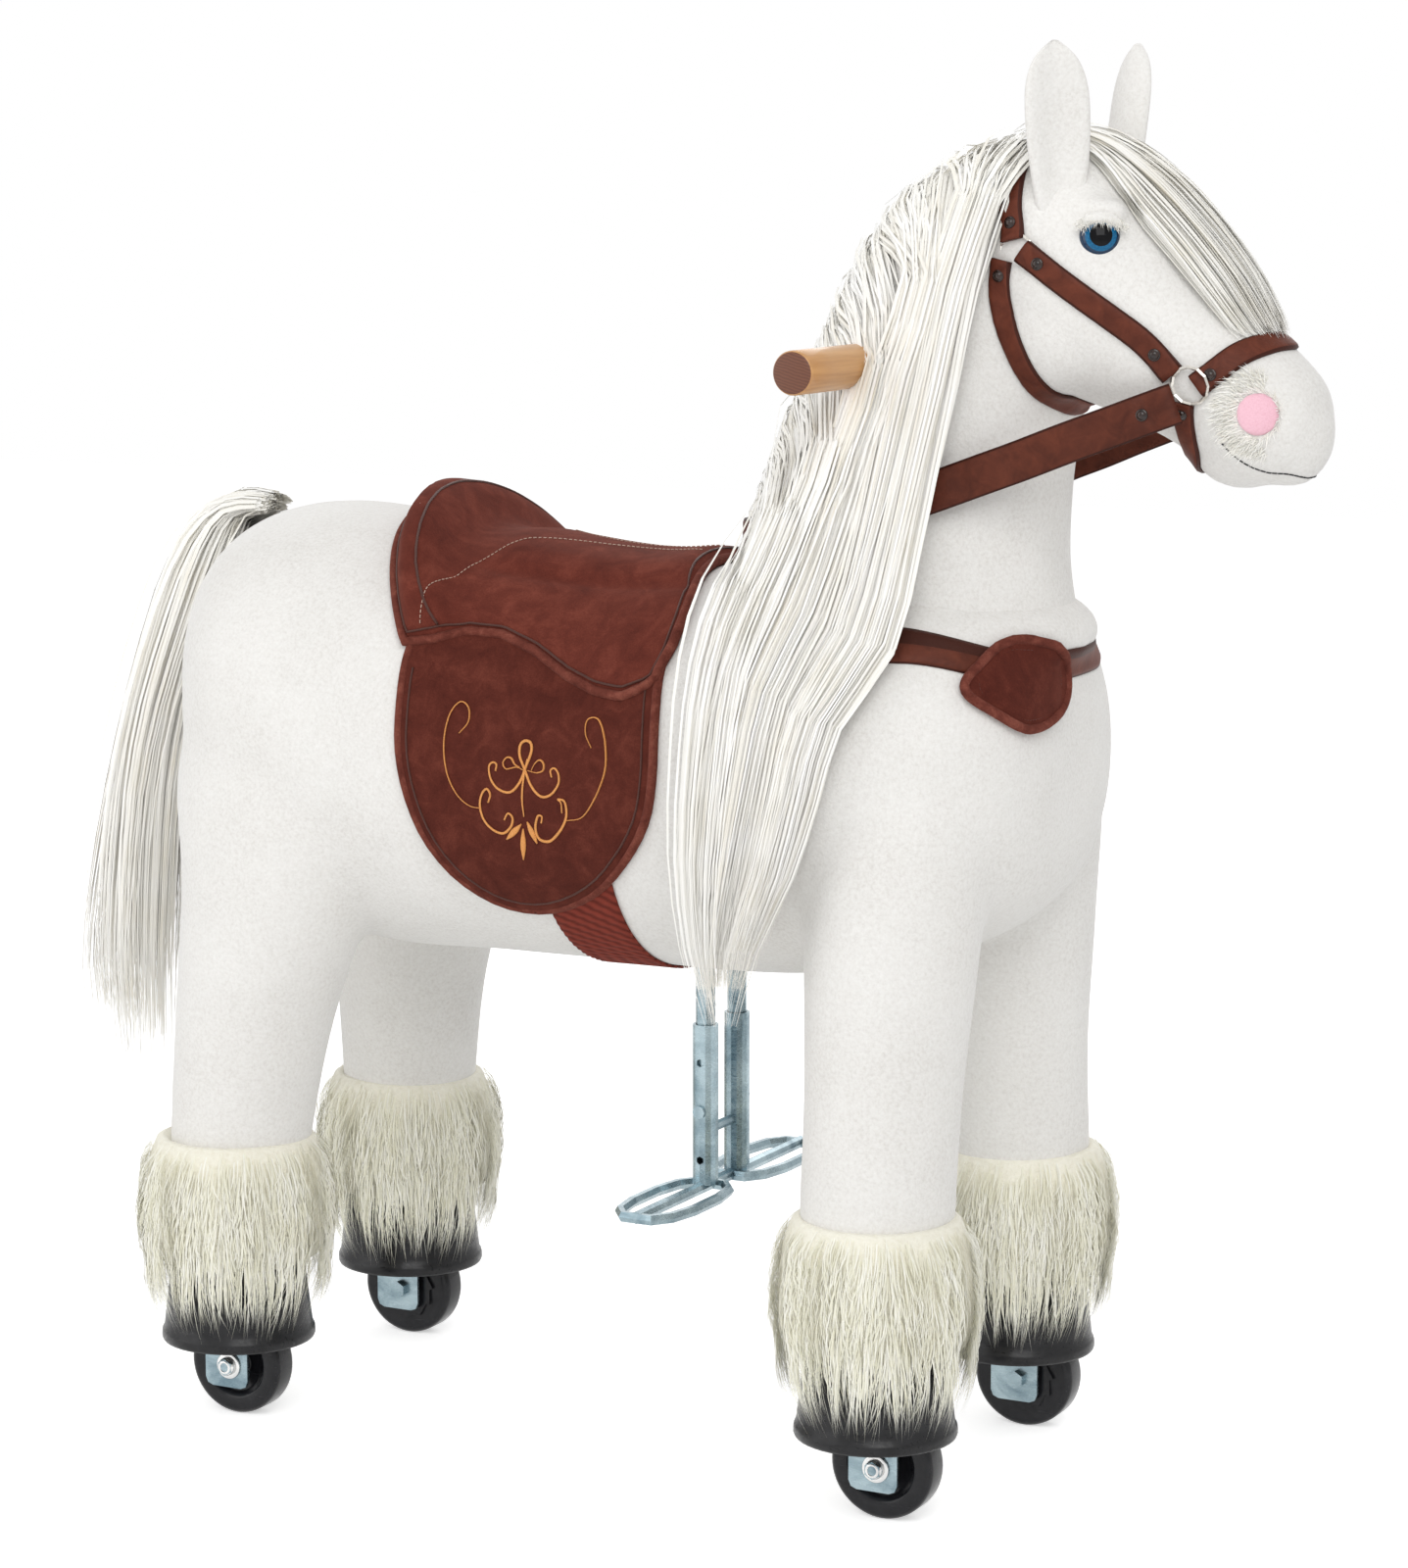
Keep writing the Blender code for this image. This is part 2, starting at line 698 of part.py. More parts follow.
def make_link(pivot_x, link_side):
    """Flat link from the lug pin to the pin on the pedal carriage."""
    lug = (pivot_x, PIVOT_Z - LUG_DROP)
    centre = (TOGGLE_X, PIVOT_Z - LUG_DROP - TOGGLE_DROP)
    slope = degrees(atan2(lug[1] - centre[1], lug[0] - centre[0]))
    half = LINK_WIDTH / 2
    outline = arc(lug, half, slope - 90, slope + 90, 7)
    outline += arc(centre, half, slope + 90, slope + 270, 7)
    holes = [
        circle(lug, LINK_PIN_RADIUS + LINK_PLAY, 12),
        circle(centre, LINK_PIN_RADIUS + RUN_GAP, 12),
    ]
    middle = link_side * (0.001 + LINK_THICKNESS / 2)
    return upright_plate(outline, middle, LINK_THICKNESS, "link", holes)


def side_plate_outline():
    top = SEAT_BOARD_Z - GAP
    back = SIDE_PLATE_BACK
    front = SIDE_PLATE_FRONT
    low = SIDE_PLATE_BOTTOM
    nip = PLATE_CORNER
    points = [(back + nip, low), (front - nip, low), (front, low + nip), (front, top)]
    points += [(back + nip, top), (back, top - nip), (back, low + nip)]
    return points


def make_main_frame():
    """Two side plates with journal bores, joined by the head tube, the guide block and a stretcher."""
    bores = [
        circle((REAR_PIVOT_X, PIVOT_Z), TUBE_RADIUS + RUN_GAP, 12),
        circle((FRONT_PIVOT_X, PIVOT_Z), TUBE_RADIUS + RUN_GAP, 12),
    ]
    outline = side_plate_outline()
    item = upright_plate(outline, SIDE_PLATE_Y, SIDE_PLATE_THICKNESS, "frame", bores)
    other = upright_plate(outline, -SIDE_PLATE_Y, SIDE_PLATE_THICKNESS, "frame", bores)
    inner = SIDE_PLATE_Y - SIDE_PLATE_THICKNESS / 2 + 0.001
    guide = box(
        (POST_X - GUIDE_HALF, -inner, GUIDE_BOTTOM),
        (POST_X + GUIDE_HALF, inner, GUIDE_TOP),
    )
    stretcher = rod(
        (STRETCHER_X, -inner, STRETCHER_Z), (STRETCHER_X, inner, STRETCHER_Z), STRETCHER_RADIUS, 12
    )
    outer_radius = COLUMN_RADIUS + RUN_GAP + HEAD_TUBE_WALL
    head_tube = rod((STEER_X, 0, HEAD_TUBE_BOTTOM), (STEER_X, 0, HEAD_TUBE_TOP), outer_radius, 12)
    web = box((STEER_X - WEB_HALF, -inner, WEB_LOW), (STEER_X + WEB_HALF, inner, WEB_HIGH))
    item = fuse(item, other, guide, stretcher, head_tube, web)
    bore = rod(
        (STEER_X, 0, HEAD_TUBE_BOTTOM - 0.01),
        (STEER_X, 0, HEAD_TUBE_TOP + 0.01),
        (COLUMN_RADIUS + RUN_GAP) / cos(pi / 12),
        12,
    )
    item = cut(item, bore)
    for back, front in PLATE_WINDOWS:
        reach = 2 * SIDE_PLATE_Y
        item = cut(item, box((back, -reach, WINDOW_LOW), (front, reach, WINDOW_HIGH), "window"))
    for side in (1, -1):
        hole = rod(
            (POST_X, side * POST_Y, GUIDE_BOTTOM - 0.01),
            (POST_X, side * POST_Y, GUIDE_TOP + 0.01),
            POST_RADIUS + RUN_GAP,
            12,
        )
        item = cut(item, hole)
    return item


def make_seat_board():
    return plate(
        rounded_rectangle(
            (SEAT_BOARD_BACK, -SEAT_BOARD_HALF_WIDTH),
            (SEAT_BOARD_FRONT, SEAT_BOARD_HALF_WIDTH),
            0.02,
        ),
        SEAT_BOARD_THICKNESS,
        "board",
    )


def make_column():
    """Steering column: journal in the head tube, thrust collar, and the clamp round the handle."""
    item = rod((STEER_X, 0, HEAD_TUBE_BOTTOM + 0.004), (STEER_X, 0, HANDLE_Z), COLUMN_RADIUS, 12)
    collar_top = HEAD_TUBE_TOP + GAP + COLLAR_HEIGHT
    collar = rod((STEER_X, 0, HEAD_TUBE_TOP + GAP), (STEER_X, 0, collar_top), COLLAR_RADIUS, 12)
    clamp = rod(
        (STEER_X, -CLAMP_HALF, HANDLE_Z),
        (STEER_X, CLAMP_HALF, HANDLE_Z),
        HANDLE_RADIUS + CLAMP_WALL,
        16,
    )
    item = fuse(item, collar, clamp)
    bore = rod(
        (STEER_X, -CLAMP_HALF - 0.01, HANDLE_Z),
        (STEER_X, CLAMP_HALF + 0.01, HANDLE_Z),
        HANDLE_RADIUS + GAP,
        16,
    )
    return cut(item, bore)


def make_handle():
    """Turned beech bar with eased ends."""
    half = HANDLE_HALF_LENGTH
    ease = 0.003
    profile = [
        (0.0, half),
        (HANDLE_RADIUS - ease, half),
        (HANDLE_RADIUS, half - ease),
        (HANDLE_RADIUS, -half + ease),
        (HANDLE_RADIUS - ease, -half),
        (0.0, -half),
    ]
    return turned(profile, (STEER_X, 0, HANDLE_Z), "Y", 16, "handle")


# Pedals


def make_carriage():
    """Two inner posts joined by the yoke that holds the toggle pin."""
    yoke_z = PIVOT_Z - LUG_DROP - TOGGLE_DROP
    item = rod((POST_X, POST_Y, POST_BOTTOM), (POST_X, POST_Y, POST_TOP), POST_RADIUS, 12)
    other = rod((POST_X, -POST_Y, POST_BOTTOM), (POST_X, -POST_Y, POST_TOP), POST_RADIUS, 12)
    block = box((POST_X - 0.005, -POST_Y, yoke_z - 0.011), (POST_X + 0.005, POST_Y, yoke_z + 0.011))
    outline = arc((TOGGLE_X, yoke_z), 0.010, 90, 270, 7)
    outline += [(POST_X, yoke_z - 0.010), (POST_X, yoke_z + 0.010)]
    cheek = upright_plate(outline, 0.0145, 0.004, "cheek")
    cheek_far = upright_plate(outline, -0.0145, 0.004, "cheek")
    pin = rod((TOGGLE_X, -0.018, yoke_z), (TOGGLE_X, 0.018, yoke_z), LINK_PIN_RADIUS)
    return fuse(item, other, block, cheek, cheek_far, pin)


def tread_outline(side):
    """Flat oval, wide toward its outer end, with a tighter inner end between the posts."""
    points = []
    count = 12
    half_length = (TREAD_OUTER_Y - TREAD_INNER_Y) / 2 - TREAD_ROD_RADIUS
    middle = (TREAD_OUTER_Y + TREAD_INNER_Y) / 2
    half_width = TREAD_HALF_WIDTH - TREAD_ROD_RADIUS
    for index in range(count):
        angle = 2 * pi * (index + 0.5) / count
        flat = abs(sin(angle)) ** 0.62 * (1 if sin(angle) > 0 else -1)
        along = abs(cos(angle)) ** 0.85 * (1 if cos(angle) > 0 else -1)
        points.append((POST_X + half_width * flat, side * (middle + half_length * along), TREAD_Z))
    return points


def make_footrest():
    """Two sleeves on the posts, two cross bars, two wire treads and the clamping screws."""
    item = rod(
        (POST_X, -TREAD_OUTER_Y + 0.004, TREAD_Z + 0.0005),
        (POST_X, TREAD_OUTER_Y - 0.004, TREAD_Z + 0.0005),
        0.0044,
        8,
    )
    for side in (1, -1):
        y = side * POST_Y
        sleeve = rod((POST_X, y, SLEEVE_BOTTOM), (POST_X, y, SLEEVE_TOP), SLEEVE_RADIUS, 14)
        tread = wire(tread_outline(side), TREAD_ROD_RADIUS, "tread", True, 1)
        item = fuse(item, sleeve, tread)
    inner = POST_Y - SLEEVE_RADIUS + 0.0008
    bar = rod((POST_X, -inner, CROSS_BAR_Z), (POST_X, inner, CROSS_BAR_Z), CROSS_BAR_RADIUS, 8)
    item = fuse(item, bar)
    for side in (1, -1):
        y = side * POST_Y
        wall = side * (POST_Y + SLEEVE_RADIUS)
        screw = rod(
            (POST_X, wall - side * 0.001, MIDDLE_HOLE_Z),
            (POST_X, wall + side * 0.0022, MIDDLE_HOLE_Z),
            0.0048,
            8,
        )
        item = fuse(item, screw)
        bore = rod((POST_X, y, SLEEVE_BORE_BOTTOM), (POST_X, y, SLEEVE_TOP + 0.01), POST_RADIUS + RUN_GAP, 12)
        item = cut(item, bore)
        for step in (-1, 1):
            z = MIDDLE_HOLE_Z + step * HOLE_PITCH
            hole = rod((POST_X, y, z), (POST_X, wall + side * 0.01, z), HOLE_RADIUS, 6)
            item = cut(item, hole)
    return item


# Stuffed forms

BODY_STATIONS = [
    # x, middle z, half height, half width
    (-0.352, 0.530, 0.045, 0.050),
    (-0.335, 0.530, 0.095, 0.098),
    (-0.285, 0.515, 0.134, 0.142),
    (-0.205, 0.497, 0.155, 0.152),
    (-0.100, 0.485, 0.1435, 0.146),
    (0.020, 0.4795, 0.1375, 0.143),
    (0.120, 0.490, 0.1485, 0.150),
    (0.205, 0.505, 0.150, 0.152),
    (0.270, 0.512, 0.132, 0.135),
    (0.312, 0.505, 0.090, 0.095),
    (0.327, 0.500, 0.045, 0.050),
]


def body_rings(inset):
    rings = []
    for x, middle, high, wide in BODY_STATIONS:
        ring = oval((x, 0, middle), (0, 1, 0), (0, 0, 1), wide - inset, high - inset, 10, 0.08)
        rings.append(ring)
    return rings


def body_skin(grow=0.0):
    return loft(body_rings(-grow), "body_skin", 1)


def sector(pivot_x, way, inner, outer, start_deg, end_deg):
    """A sector round a leg pivot in XZ; angles count from straight down, toward way."""
    points = []
    steps = 4
    for radius, first, last in ((inner, start_deg, end_deg), (outer, end_deg, start_deg)):
        for index in range(steps + 1):
            angle = radians(first + (last - first) * index / steps)
            points.append((pivot_x + way * radius * sin(angle), PIVOT_Z - radius * cos(angle)))
    return points


# inner and outer radius, first and last angle from straight down, inner and outer side
CAP_WELL = (0.050, 0.300, -14, 76, 0.0300, 0.2000)
CAP_KEEP = (0.050, 0.500, -30, 75.4, 0.0325, 0.2200)
TUBE_SLOT = (0.012, 0.166, 22, 68, 0.0620, 0.1085)
CAP_PROFILE = [
    # radius round the leg pivot, distance from the middle plane
    (0.160, 0.050),
    (0.152, 0.075),
    (0.138, 0.100),
    (0.121, 0.125),
    (0.100, 0.150),
]


def leg_well(pivot_x, way, region):
    inner, outer, start_deg, end_deg, low_y, high_y = region
    outline = sector(pivot_x, way, inner, outer, start_deg, end_deg)
    return upright_plate(outline, (low_y + high_y) / 2, high_y - low_y, "well")


def cap_core(pivot_x, grow):
    """The turned core that a leg's top slides round, narrowing toward the flank."""
    first = CAP_PROFILE[0][0]
    last = CAP_PROFILE[-1][0]
    profile = [(0.0, 0.01), (first + grow, 0.01)]
    profile += [(radius + grow, y) for radius, y in CAP_PROFILE]
    profile += [(last + grow, 0.24), (0.0, 0.24)]
    return turned(profile, (pivot_x, 0, PIVOT_Z), "Y", CAP_SIDES, "core")


def swapped_side(item):
    other = mirrored(item, item.name)
    bpy.data.objects.remove(item, do_unlink=True)
    return other


def make_body():
    item = body_skin()
    hollow_rings = []
    for x, middle, high, wide in BODY_STATIONS[2:9]:
        shift = 0.004
        low = middle - high + FOAM_WALL - shift
        top = min(middle + high - FOAM_WALL, SEAT_BOARD_Z - 0.006)
        half = (top - low) / 2 / swell(8)
        rise = (top + low) / 2
        across = (wide - FOAM_WALL) / swell(8)
        hollow_rings.append(oval((x, 0, rise), (0, 1, 0), (0, 0, 1), across, half, 8))
    hollow = loft(hollow_rings, "hollow", 0)
    item = cut(item, hollow)
    top = SEAT_BOARD_Z + SEAT_BOARD_THICKNESS + 2 * GAP
    board_bay = box(
        (SEAT_BOARD_BACK - GAP, -SEAT_BOARD_HALF_WIDTH - GAP, 0.47),
        (SEAT_BOARD_FRONT + GAP, SEAT_BOARD_HALF_WIDTH + GAP, top),
    )
    plate_edge = SIDE_PLATE_Y + SIDE_PLATE_THICKNESS
    front_bay = box(
        (SEAT_BOARD_FRONT - 0.01, -plate_edge, 0.46),
        (SIDE_PLATE_FRONT + 0.004, plate_edge, SEAT_BOARD_Z + 0.004),
    )
    yoke_bay = box(
        (TOGGLE_X - 0.014, -POST_Y - 0.010, YOKE_BAY_FLOOR),
        (POST_X + 0.011, POST_Y + 0.010, PIVOT_Z - LUG_DROP),
    )
    item = cut(item, board_bay, front_bay, yoke_bay)
    neck_socket = rod((STEER_X, 0, NECK_CUT_Z), (STEER_X, 0, NECK_CUT_Z + 0.15), NECK_TURN_RADIUS, 32)
    column_hole = rod((STEER_X, 0, 0.54), (STEER_X, 0, NECK_CUT_Z + 0.01), 0.0195, 16)
    item = cut(item, neck_socket, column_hole)
    for side in (1, -1):
        post_hole = rod((POST_X, side * POST_Y, 0.30), (POST_X, side * POST_Y, 0.42), 0.0105, 12)
        item = cut(item, post_hole)
        for pivot_x, way in ((REAR_PIVOT_X, -1), (FRONT_PIVOT_X, 1)):
            well = leg_well(pivot_x, way, CAP_WELL)
            well = cut(well, cap_core(pivot_x, 0.0))
            slot = leg_well(pivot_x, way, TUBE_SLOT)
            if side < 0:
                well = swapped_side(well)
                slot = swapped_side(slot)
            item = cut(item, well, slot)
    return item


REAR_LEG_STATIONS = [
    # z, middle x, middle y, half length, half width
    (0.470, -0.232, TRACK_HALF - 0.025, 0.100, 0.057),
    (0.380, -0.241, TRACK_HALF - 0.019, 0.072, 0.060),
    (0.285, -0.267, TRACK_HALF - 0.012, 0.057, 0.054),
    (0.205, -0.276, TRACK_HALF - 0.004, LEG_END_RADIUS + 0.0020, LEG_END_RADIUS + 0.0010),
    (HOOF_TOP_Z + GAP, REAR_KINGPIN_X, TRACK_HALF, LEG_END_RADIUS, LEG_END_RADIUS),
]

FRONT_LEG_STATIONS = [
    (0.480, 0.236, TRACK_HALF - 0.027, 0.064, 0.057),
    (0.380, 0.235, TRACK_HALF - 0.019, 0.057, 0.058),
    (0.285, 0.233, TRACK_HALF - 0.012, 0.052, 0.052),
    (0.205, 0.233, TRACK_HALF - 0.004, LEG_END_RADIUS + 0.0029, LEG_END_RADIUS + 0.0029),
    (HOOF_TOP_Z + GAP, FRONT_KINGPIN_X, TRACK_HALF, LEG_END_RADIUS, LEG_END_RADIUS),
]


def leg_form(stations):
    rings = []
    for z, x, y, long_half, wide_half in stations:
        rings.append(oval((x, y, z), (1, 0, 0), (0, 1, 0), long_half, wide_half, 8))
    first = [point.copy() for point in rings[-1]]
    for point in first:
        point.z += LEG_END_TUCK
    rings.insert(-1, first)
    return loft(rings, "leg", 1)


def make_leg(stations, pivot_x, kingpin_x, way):
    """Stuffed leg on the left side: its top is a cap that slides round the pivot in the body."""
    item = leg_form(stations)
    item = keep_inside(item, leg_well(pivot_x, way, CAP_KEEP))
    item = cut(item, cap_core(pivot_x, CAP_GAP))
    end_z = HOOF_TOP_Z + GAP
    floor = box((kingpin_x - BLOCK, 0, 0.0), (kingpin_x + BLOCK, BLOCK, end_z))
    item = cut(item, floor)
    start = Vector((pivot_x, STRAIGHT_HALF, PIVOT_Z))
    route = rounded_route([start] + tube_route(pivot_x, kingpin_x))
    route[-1] = Vector((kingpin_x, TRACK_HALF, end_z - 0.03))
    channel = wire(route, (TUBE_RADIUS + GAP) / cos(pi / 6), "channel", False, 1)
    return cut(item, channel)


def make_hoof(kingpin_x, side):
    """Flared boot, open below, with a hole in its roof for the leg tube."""
    slope = (HOOF_BOTTOM_RADIUS - HOOF_TOP_RADIUS) / (HOOF_TOP_Z - HOOF_BOTTOM_Z)
    roof = HOOF_TOP_Z - HOOF_WALL
    inner_top = HOOF_TOP_RADIUS - HOOF_WALL
    ledge = WELT_HEIGHT + WELT_OUT
    profile = [
        (TUBE_RADIUS + GAP, HOOF_TOP_Z),
        (HOOF_TOP_RADIUS, HOOF_TOP_Z),
        (HOOF_BOTTOM_RADIUS - slope * ledge, HOOF_BOTTOM_Z + ledge),
        (HOOF_BOTTOM_RADIUS - slope * WELT_HEIGHT + WELT_OUT, HOOF_BOTTOM_Z + WELT_HEIGHT),
        (HOOF_BOTTOM_RADIUS + WELT_OUT, HOOF_BOTTOM_Z),
        (HOOF_BOTTOM_RADIUS - HOOF_WALL, HOOF_BOTTOM_Z),
        (inner_top, roof),
        (TUBE_RADIUS + GAP, roof),
    ]
    return turned(profile, (kingpin_x, side * TRACK_HALF, 0), "Z", 16, "hoof", 0.0, True)


def make_cuff(kingpin_x, side):
    """Fur cuff that hangs over the top of the hoof."""
    inner = LEG_END_RADIUS + CUFF_EASE
    low_inner = HOOF_BOTTOM_RADIUS - HOOF_COVER
    profile = [
        (inner, CUFF_TOP_Z - 2 * CUFF_LIP),
        (CUFF_NECK_RADIUS, CUFF_TOP_Z),
        (CUFF_RADIUS - CUFF_SWELL / 3, CUFF_BULGE_HIGH_Z),
        (CUFF_RADIUS, CUFF_BULGE_LOW_Z),
        (low_inner + CUFF_LIP, CUFF_BOTTOM_Z),
        (low_inner, CUFF_BOTTOM_Z),
        (inner, CUFF_BULGE_LOW_Z + CUFF_LIP),
    ]
    return turned(profile, (kingpin_x, side * TRACK_HALF, 0), "Z", 14, "cuff", 0.0, True)


# Neck and head, two runs of ovals that a slanting plane parts at the throat

NECK_STATIONS = [
    # x, z, lean in degrees from +X, half depth, half width
    (0.195, 0.560, 90, 0.120, 0.100),
    (0.197, 0.615, 88, 0.117, 0.096),
    (0.208, 0.670, 80, 0.104, 0.087),
    (0.224, 0.730, 74, 0.094, 0.079),
    (0.246, 0.790, 66, 0.086, 0.073),
    (0.272, 0.842, 62, 0.076, 0.068),
    (0.290, 0.872, 60, 0.040, 0.040),
]
HEAD_STATIONS = [
    (0.254, 0.882, -36, 0.028, 0.030),
    (0.274, 0.868, -36, 0.064, 0.056),
    (0.305, 0.846, -36, 0.077, 0.069),
    (0.342, 0.818, -37, 0.074, 0.069),
    (0.382, 0.789, -38, 0.060, 0.060),
    (0.418, 0.763, -37, 0.050, 0.048),
    (0.447, 0.742, -36, 0.047, 0.046),
    (0.473, 0.723, -36, 0.043, 0.043),
    (0.4875, 0.713, -36, 0.024, 0.026),
]
THROAT_LINE = ((0.205, 0.905), (0.345, 0.728))


def leaning_form(stations, name, grow=0.0):
    rings = []
    for x, z, lean, deep, wide in stations:
        angle = radians(lean)
        rise = Vector((-sin(angle), 0, cos(angle)))
        rings.append(oval((x, 0, z), (0, 1, 0), rise, wide + grow, deep + grow, 8))
    return loft(rings, name, 1)


def head_skin(grow=0.0):
    """Head and neck together, as the bridle and the hair lie on them."""
    return fuse(leaning_form(NECK_STATIONS, "skin", grow), leaning_form(HEAD_STATIONS, "skin", grow))


def throat_block(forward, gap):
    """A block on one side of the slanting throat plane."""
    top = Vector(THROAT_LINE[0])
    low = Vector(THROAT_LINE[1])
    along = (low - top).normalized()
    across = Vector((-along.y, along.x))
    if not forward:
        across = -across
    start = top - along * BLOCK + across * gap
    end = low + along * BLOCK + across * gap
    outline = [start, end, end + across * 2 * BLOCK, start + across * 2 * BLOCK]
    return upright_plate([(point.x, point.y) for point in outline], 0, BLOCK, "half")


def make_neck():
    item = keep_inside(leaning_form(NECK_STATIONS, "neck"), throat_block(False, 0.0))
    below = box((STEER_X - BLOCK, -BLOCK, 0.0), (STEER_X + BLOCK, BLOCK, NECK_CUT_Z + CAP_GAP))
    item = cut(item, below)
    column = rod((STEER_X, 0, HEAD_TUBE_TOP), (STEER_X, 0, HANDLE_Z), COLUMN_RADIUS + GAP, 16)
    clamp = rod(
        (STEER_X, -CLAMP_HALF - GAP, HANDLE_Z),
        (STEER_X, CLAMP_HALF + GAP, HANDLE_Z),
        HANDLE_RADIUS + CLAMP_WALL + GAP,
        16,
    )
    reach = HANDLE_HALF_LENGTH
    bar = rod((STEER_X, -reach, HANDLE_Z), (STEER_X, reach, HANDLE_Z), HANDLE_RADIUS + GAP, 16)
    return cut(item, column, clamp, bar)


def make_head(eyes):
    item = keep_inside(leaning_form(HEAD_STATIONS, "head"), throat_block(True, CAP_GAP))
    for centre in eyes:
        item = cut(item, ball(centre, EYE_RADIUS + GAP, "eye_seat"))
    return item


EYE_RADIUS = 0.0135
EYE_X = 0.362
EYE_Y = 0.0545
EYE_Z = 0.853
EAR_X = 0.322
EAR_Y = 0.052
EAR_STATIONS = [
    # z, step forward, step outward, half length, half width
    (0.868, 0.0, 0.0, 0.016, 0.010),
    (0.895, 0.0, 0.0, 0.020, 0.012),
    (0.925, 0.0006, 0.0048, 0.024, 0.012),
    (0.955, 0.0014, 0.0112, 0.020, 0.010),
    (0.982, 0.0022, 0.0176, 0.007, 0.004),
]
HAIR_SEAT = 0.0008


def make_ear():
    """Upright rounded ear on the left side, hollowed on its outer front."""
    rings = []
    for z, forward, outward_step, long_half, wide_half in EAR_STATIONS:
        centre = (EAR_X + forward, EAR_Y + outward_step, z)
        rings.append(oval(centre, (1, 0, 0), (0, 1, 0), long_half, wide_half, 6))
    item = loft(rings, "ear", 1)
    return cut(item, head_skin(HAIR_SEAT))


# Hair


def hair_slab(stations, name):
    """A lock of hair as a flattened swelling form through stations of
    x, y, z, half length along X, half thickness along Y."""
    rings = []
    for x, y, z, long_half, thick_half in stations:
        rings.append(oval((x, y, z), (1, 0, 0), (0, 1, 0), long_half, thick_half, 6))
    return loft(rings, name, 1)


HAIR_LIFT = 0.0058

MANE_STATIONS = [
    # x, y, z, half length, half thickness
    (0.270, -0.068, 0.898, 0.042, 0.018),
    (0.247, -0.091, 0.850, 0.050, 0.017),
    (0.222, -0.103, 0.785, 0.052, 0.016),
    (0.202, -0.114, 0.715, 0.055, 0.016),
    (0.189, -0.138, 0.640, 0.062, 0.018),
    (0.176, -0.162, 0.575, 0.064, 0.015),
    (0.160, -0.172, 0.490, 0.053, 0.0125),
    (0.140, -0.172, 0.378, 0.026, 0.008),
]


def make_mane():
    item = hair_slab(MANE_STATIONS, "mane")
    item = cut(item, head_skin(HAIR_LIFT))
    reach = HANDLE_HALF_LENGTH
    bar = rod((STEER_X, -reach, HANDLE_Z), (STEER_X, reach, HANDLE_Z), HANDLE_RADIUS + SEAT_GAP, 16)
    return cut(item, bar)


FORELOCK_STATIONS = [
    # x, z, lean in degrees, half thickness, half width
    (0.330, 0.898, 0, 0.010, 0.022),
    (0.356, 0.896, -30, 0.014, 0.032),
    (0.392, 0.868, -44, 0.013, 0.038),
    (0.424, 0.838, -48, 0.012, 0.036),
    (0.447, 0.812, -52, 0.009, 0.024),
    (0.457, 0.798, -56, 0.004, 0.010),
]


def make_forelock():
    rings = []
    for x, z, lean, thick_half, wide_half in FORELOCK_STATIONS:
        angle = radians(lean)
        rise = Vector((-sin(angle), 0, cos(angle)))
        rings.append(oval((x, 0, z), (0, 1, 0), rise, wide_half, thick_half, 6))
    item = loft(rings, "forelock", 1)
    return cut(item, head_skin(HAIR_SEAT))


TAIL_STATIONS = [
    # x, z, lean in degrees, half depth, half width
    (-0.300, 0.630, 192, 0.014, 0.022),
    (-0.350, 0.633, 210, 0.020, 0.028),
    (-0.392, 0.596, 240, 0.028, 0.038),
    (-0.419, 0.530, 252, 0.034, 0.044),
    (-0.442, 0.450, 258, 0.040, 0.048),
    (-0.455, 0.360, 262, 0.043, 0.048),
    (-0.4628, 0.270, 264, 0.040, 0.040),
    (-0.4668, 0.205, 268, 0.026, 0.024),
    (-0.4668, 0.180, 270, 0.010, 0.010),
]


def make_tail():
    rings = []
    for x, z, lean, deep, wide in TAIL_STATIONS:
        angle = radians(lean)
        rise = Vector((-sin(angle), 0, cos(angle)))
        rings.append(oval((x, 0, z), (0, 1, 0), rise, wide, deep, 6))
    item = loft(rings, "tail", 1)
    return seated(item, True)


# Draped pieces: a grid laid on a skin and thickened outward


DRAPE_SINK = 0.0030
DRAPE_LIFT = 0.0010


def draped(grid, skin, stand_off, thickness, name, wrap=False, sink=DRAPE_SINK):
    """A sheet through rows of points, or rings of them, drawn onto skin and thickened outward.

    Its underside sinks into the skin, so that a cut by the grown skin seats it."""
    bm = bmesh.new()
    rows = [[bm.verts.new(point) for point in row] for row in grid]
    columns = len(grid[0])
    count = columns if wrap else columns - 1
    for low, high in zip(rows, rows[1:]):
        for index in range(count):
            after = (index + 1) % columns
            bm.faces.new((low[index], low[after], high[after], high[index]))
    if wrap:
        bm.faces.new(tuple(reversed(rows[0])))
    mesh = bpy.data.meshes.new(name)
    bm.to_mesh(mesh)
    bm.free()
    item = new_object(name, mesh)
    lay = item.modifiers.new("lay", "SHRINKWRAP")
    lay.target = skin
    lay.wrap_method = "NEAREST_SURFACEPOINT"
    lay.wrap_mode = "ABOVE_SURFACE"
    lay.offset = stand_off
    item = settle(item)
    face_from(item, skin)
    thick = item.modifiers.new("thick", "SOLIDIFY")
    thick.thickness = thickness + sink
    thick.offset = 1.0 - 2 * sink / (thickness + sink)
    item = settle(item)
    outward(item)
    flatten(item)
    return item


def seated(item, on_body):
    """Cuts a draped piece so that its underside follows the skin below it with a small clearance."""
    return cut(item, body_skin(SEAT_GAP) if on_body else head_skin(SEAT_GAP))


def face_from(item, skin):
    """Points the sheet's faces away from the skin."""
    bm = bmesh.new()
    bm.from_mesh(item.data)
    bmesh.ops.recalc_face_normals(bm, faces=bm.faces)
    total = 0.0
    for face in bm.faces:
        middle = face.calc_center_median()
        found, near, normal, _ = skin.closest_point_on_mesh(middle)
        total += face.normal.dot(normal)
    if total < 0:
        bmesh.ops.reverse_faces(bm, faces=bm.faces)
    bm.to_mesh(item.data)
    bm.free()


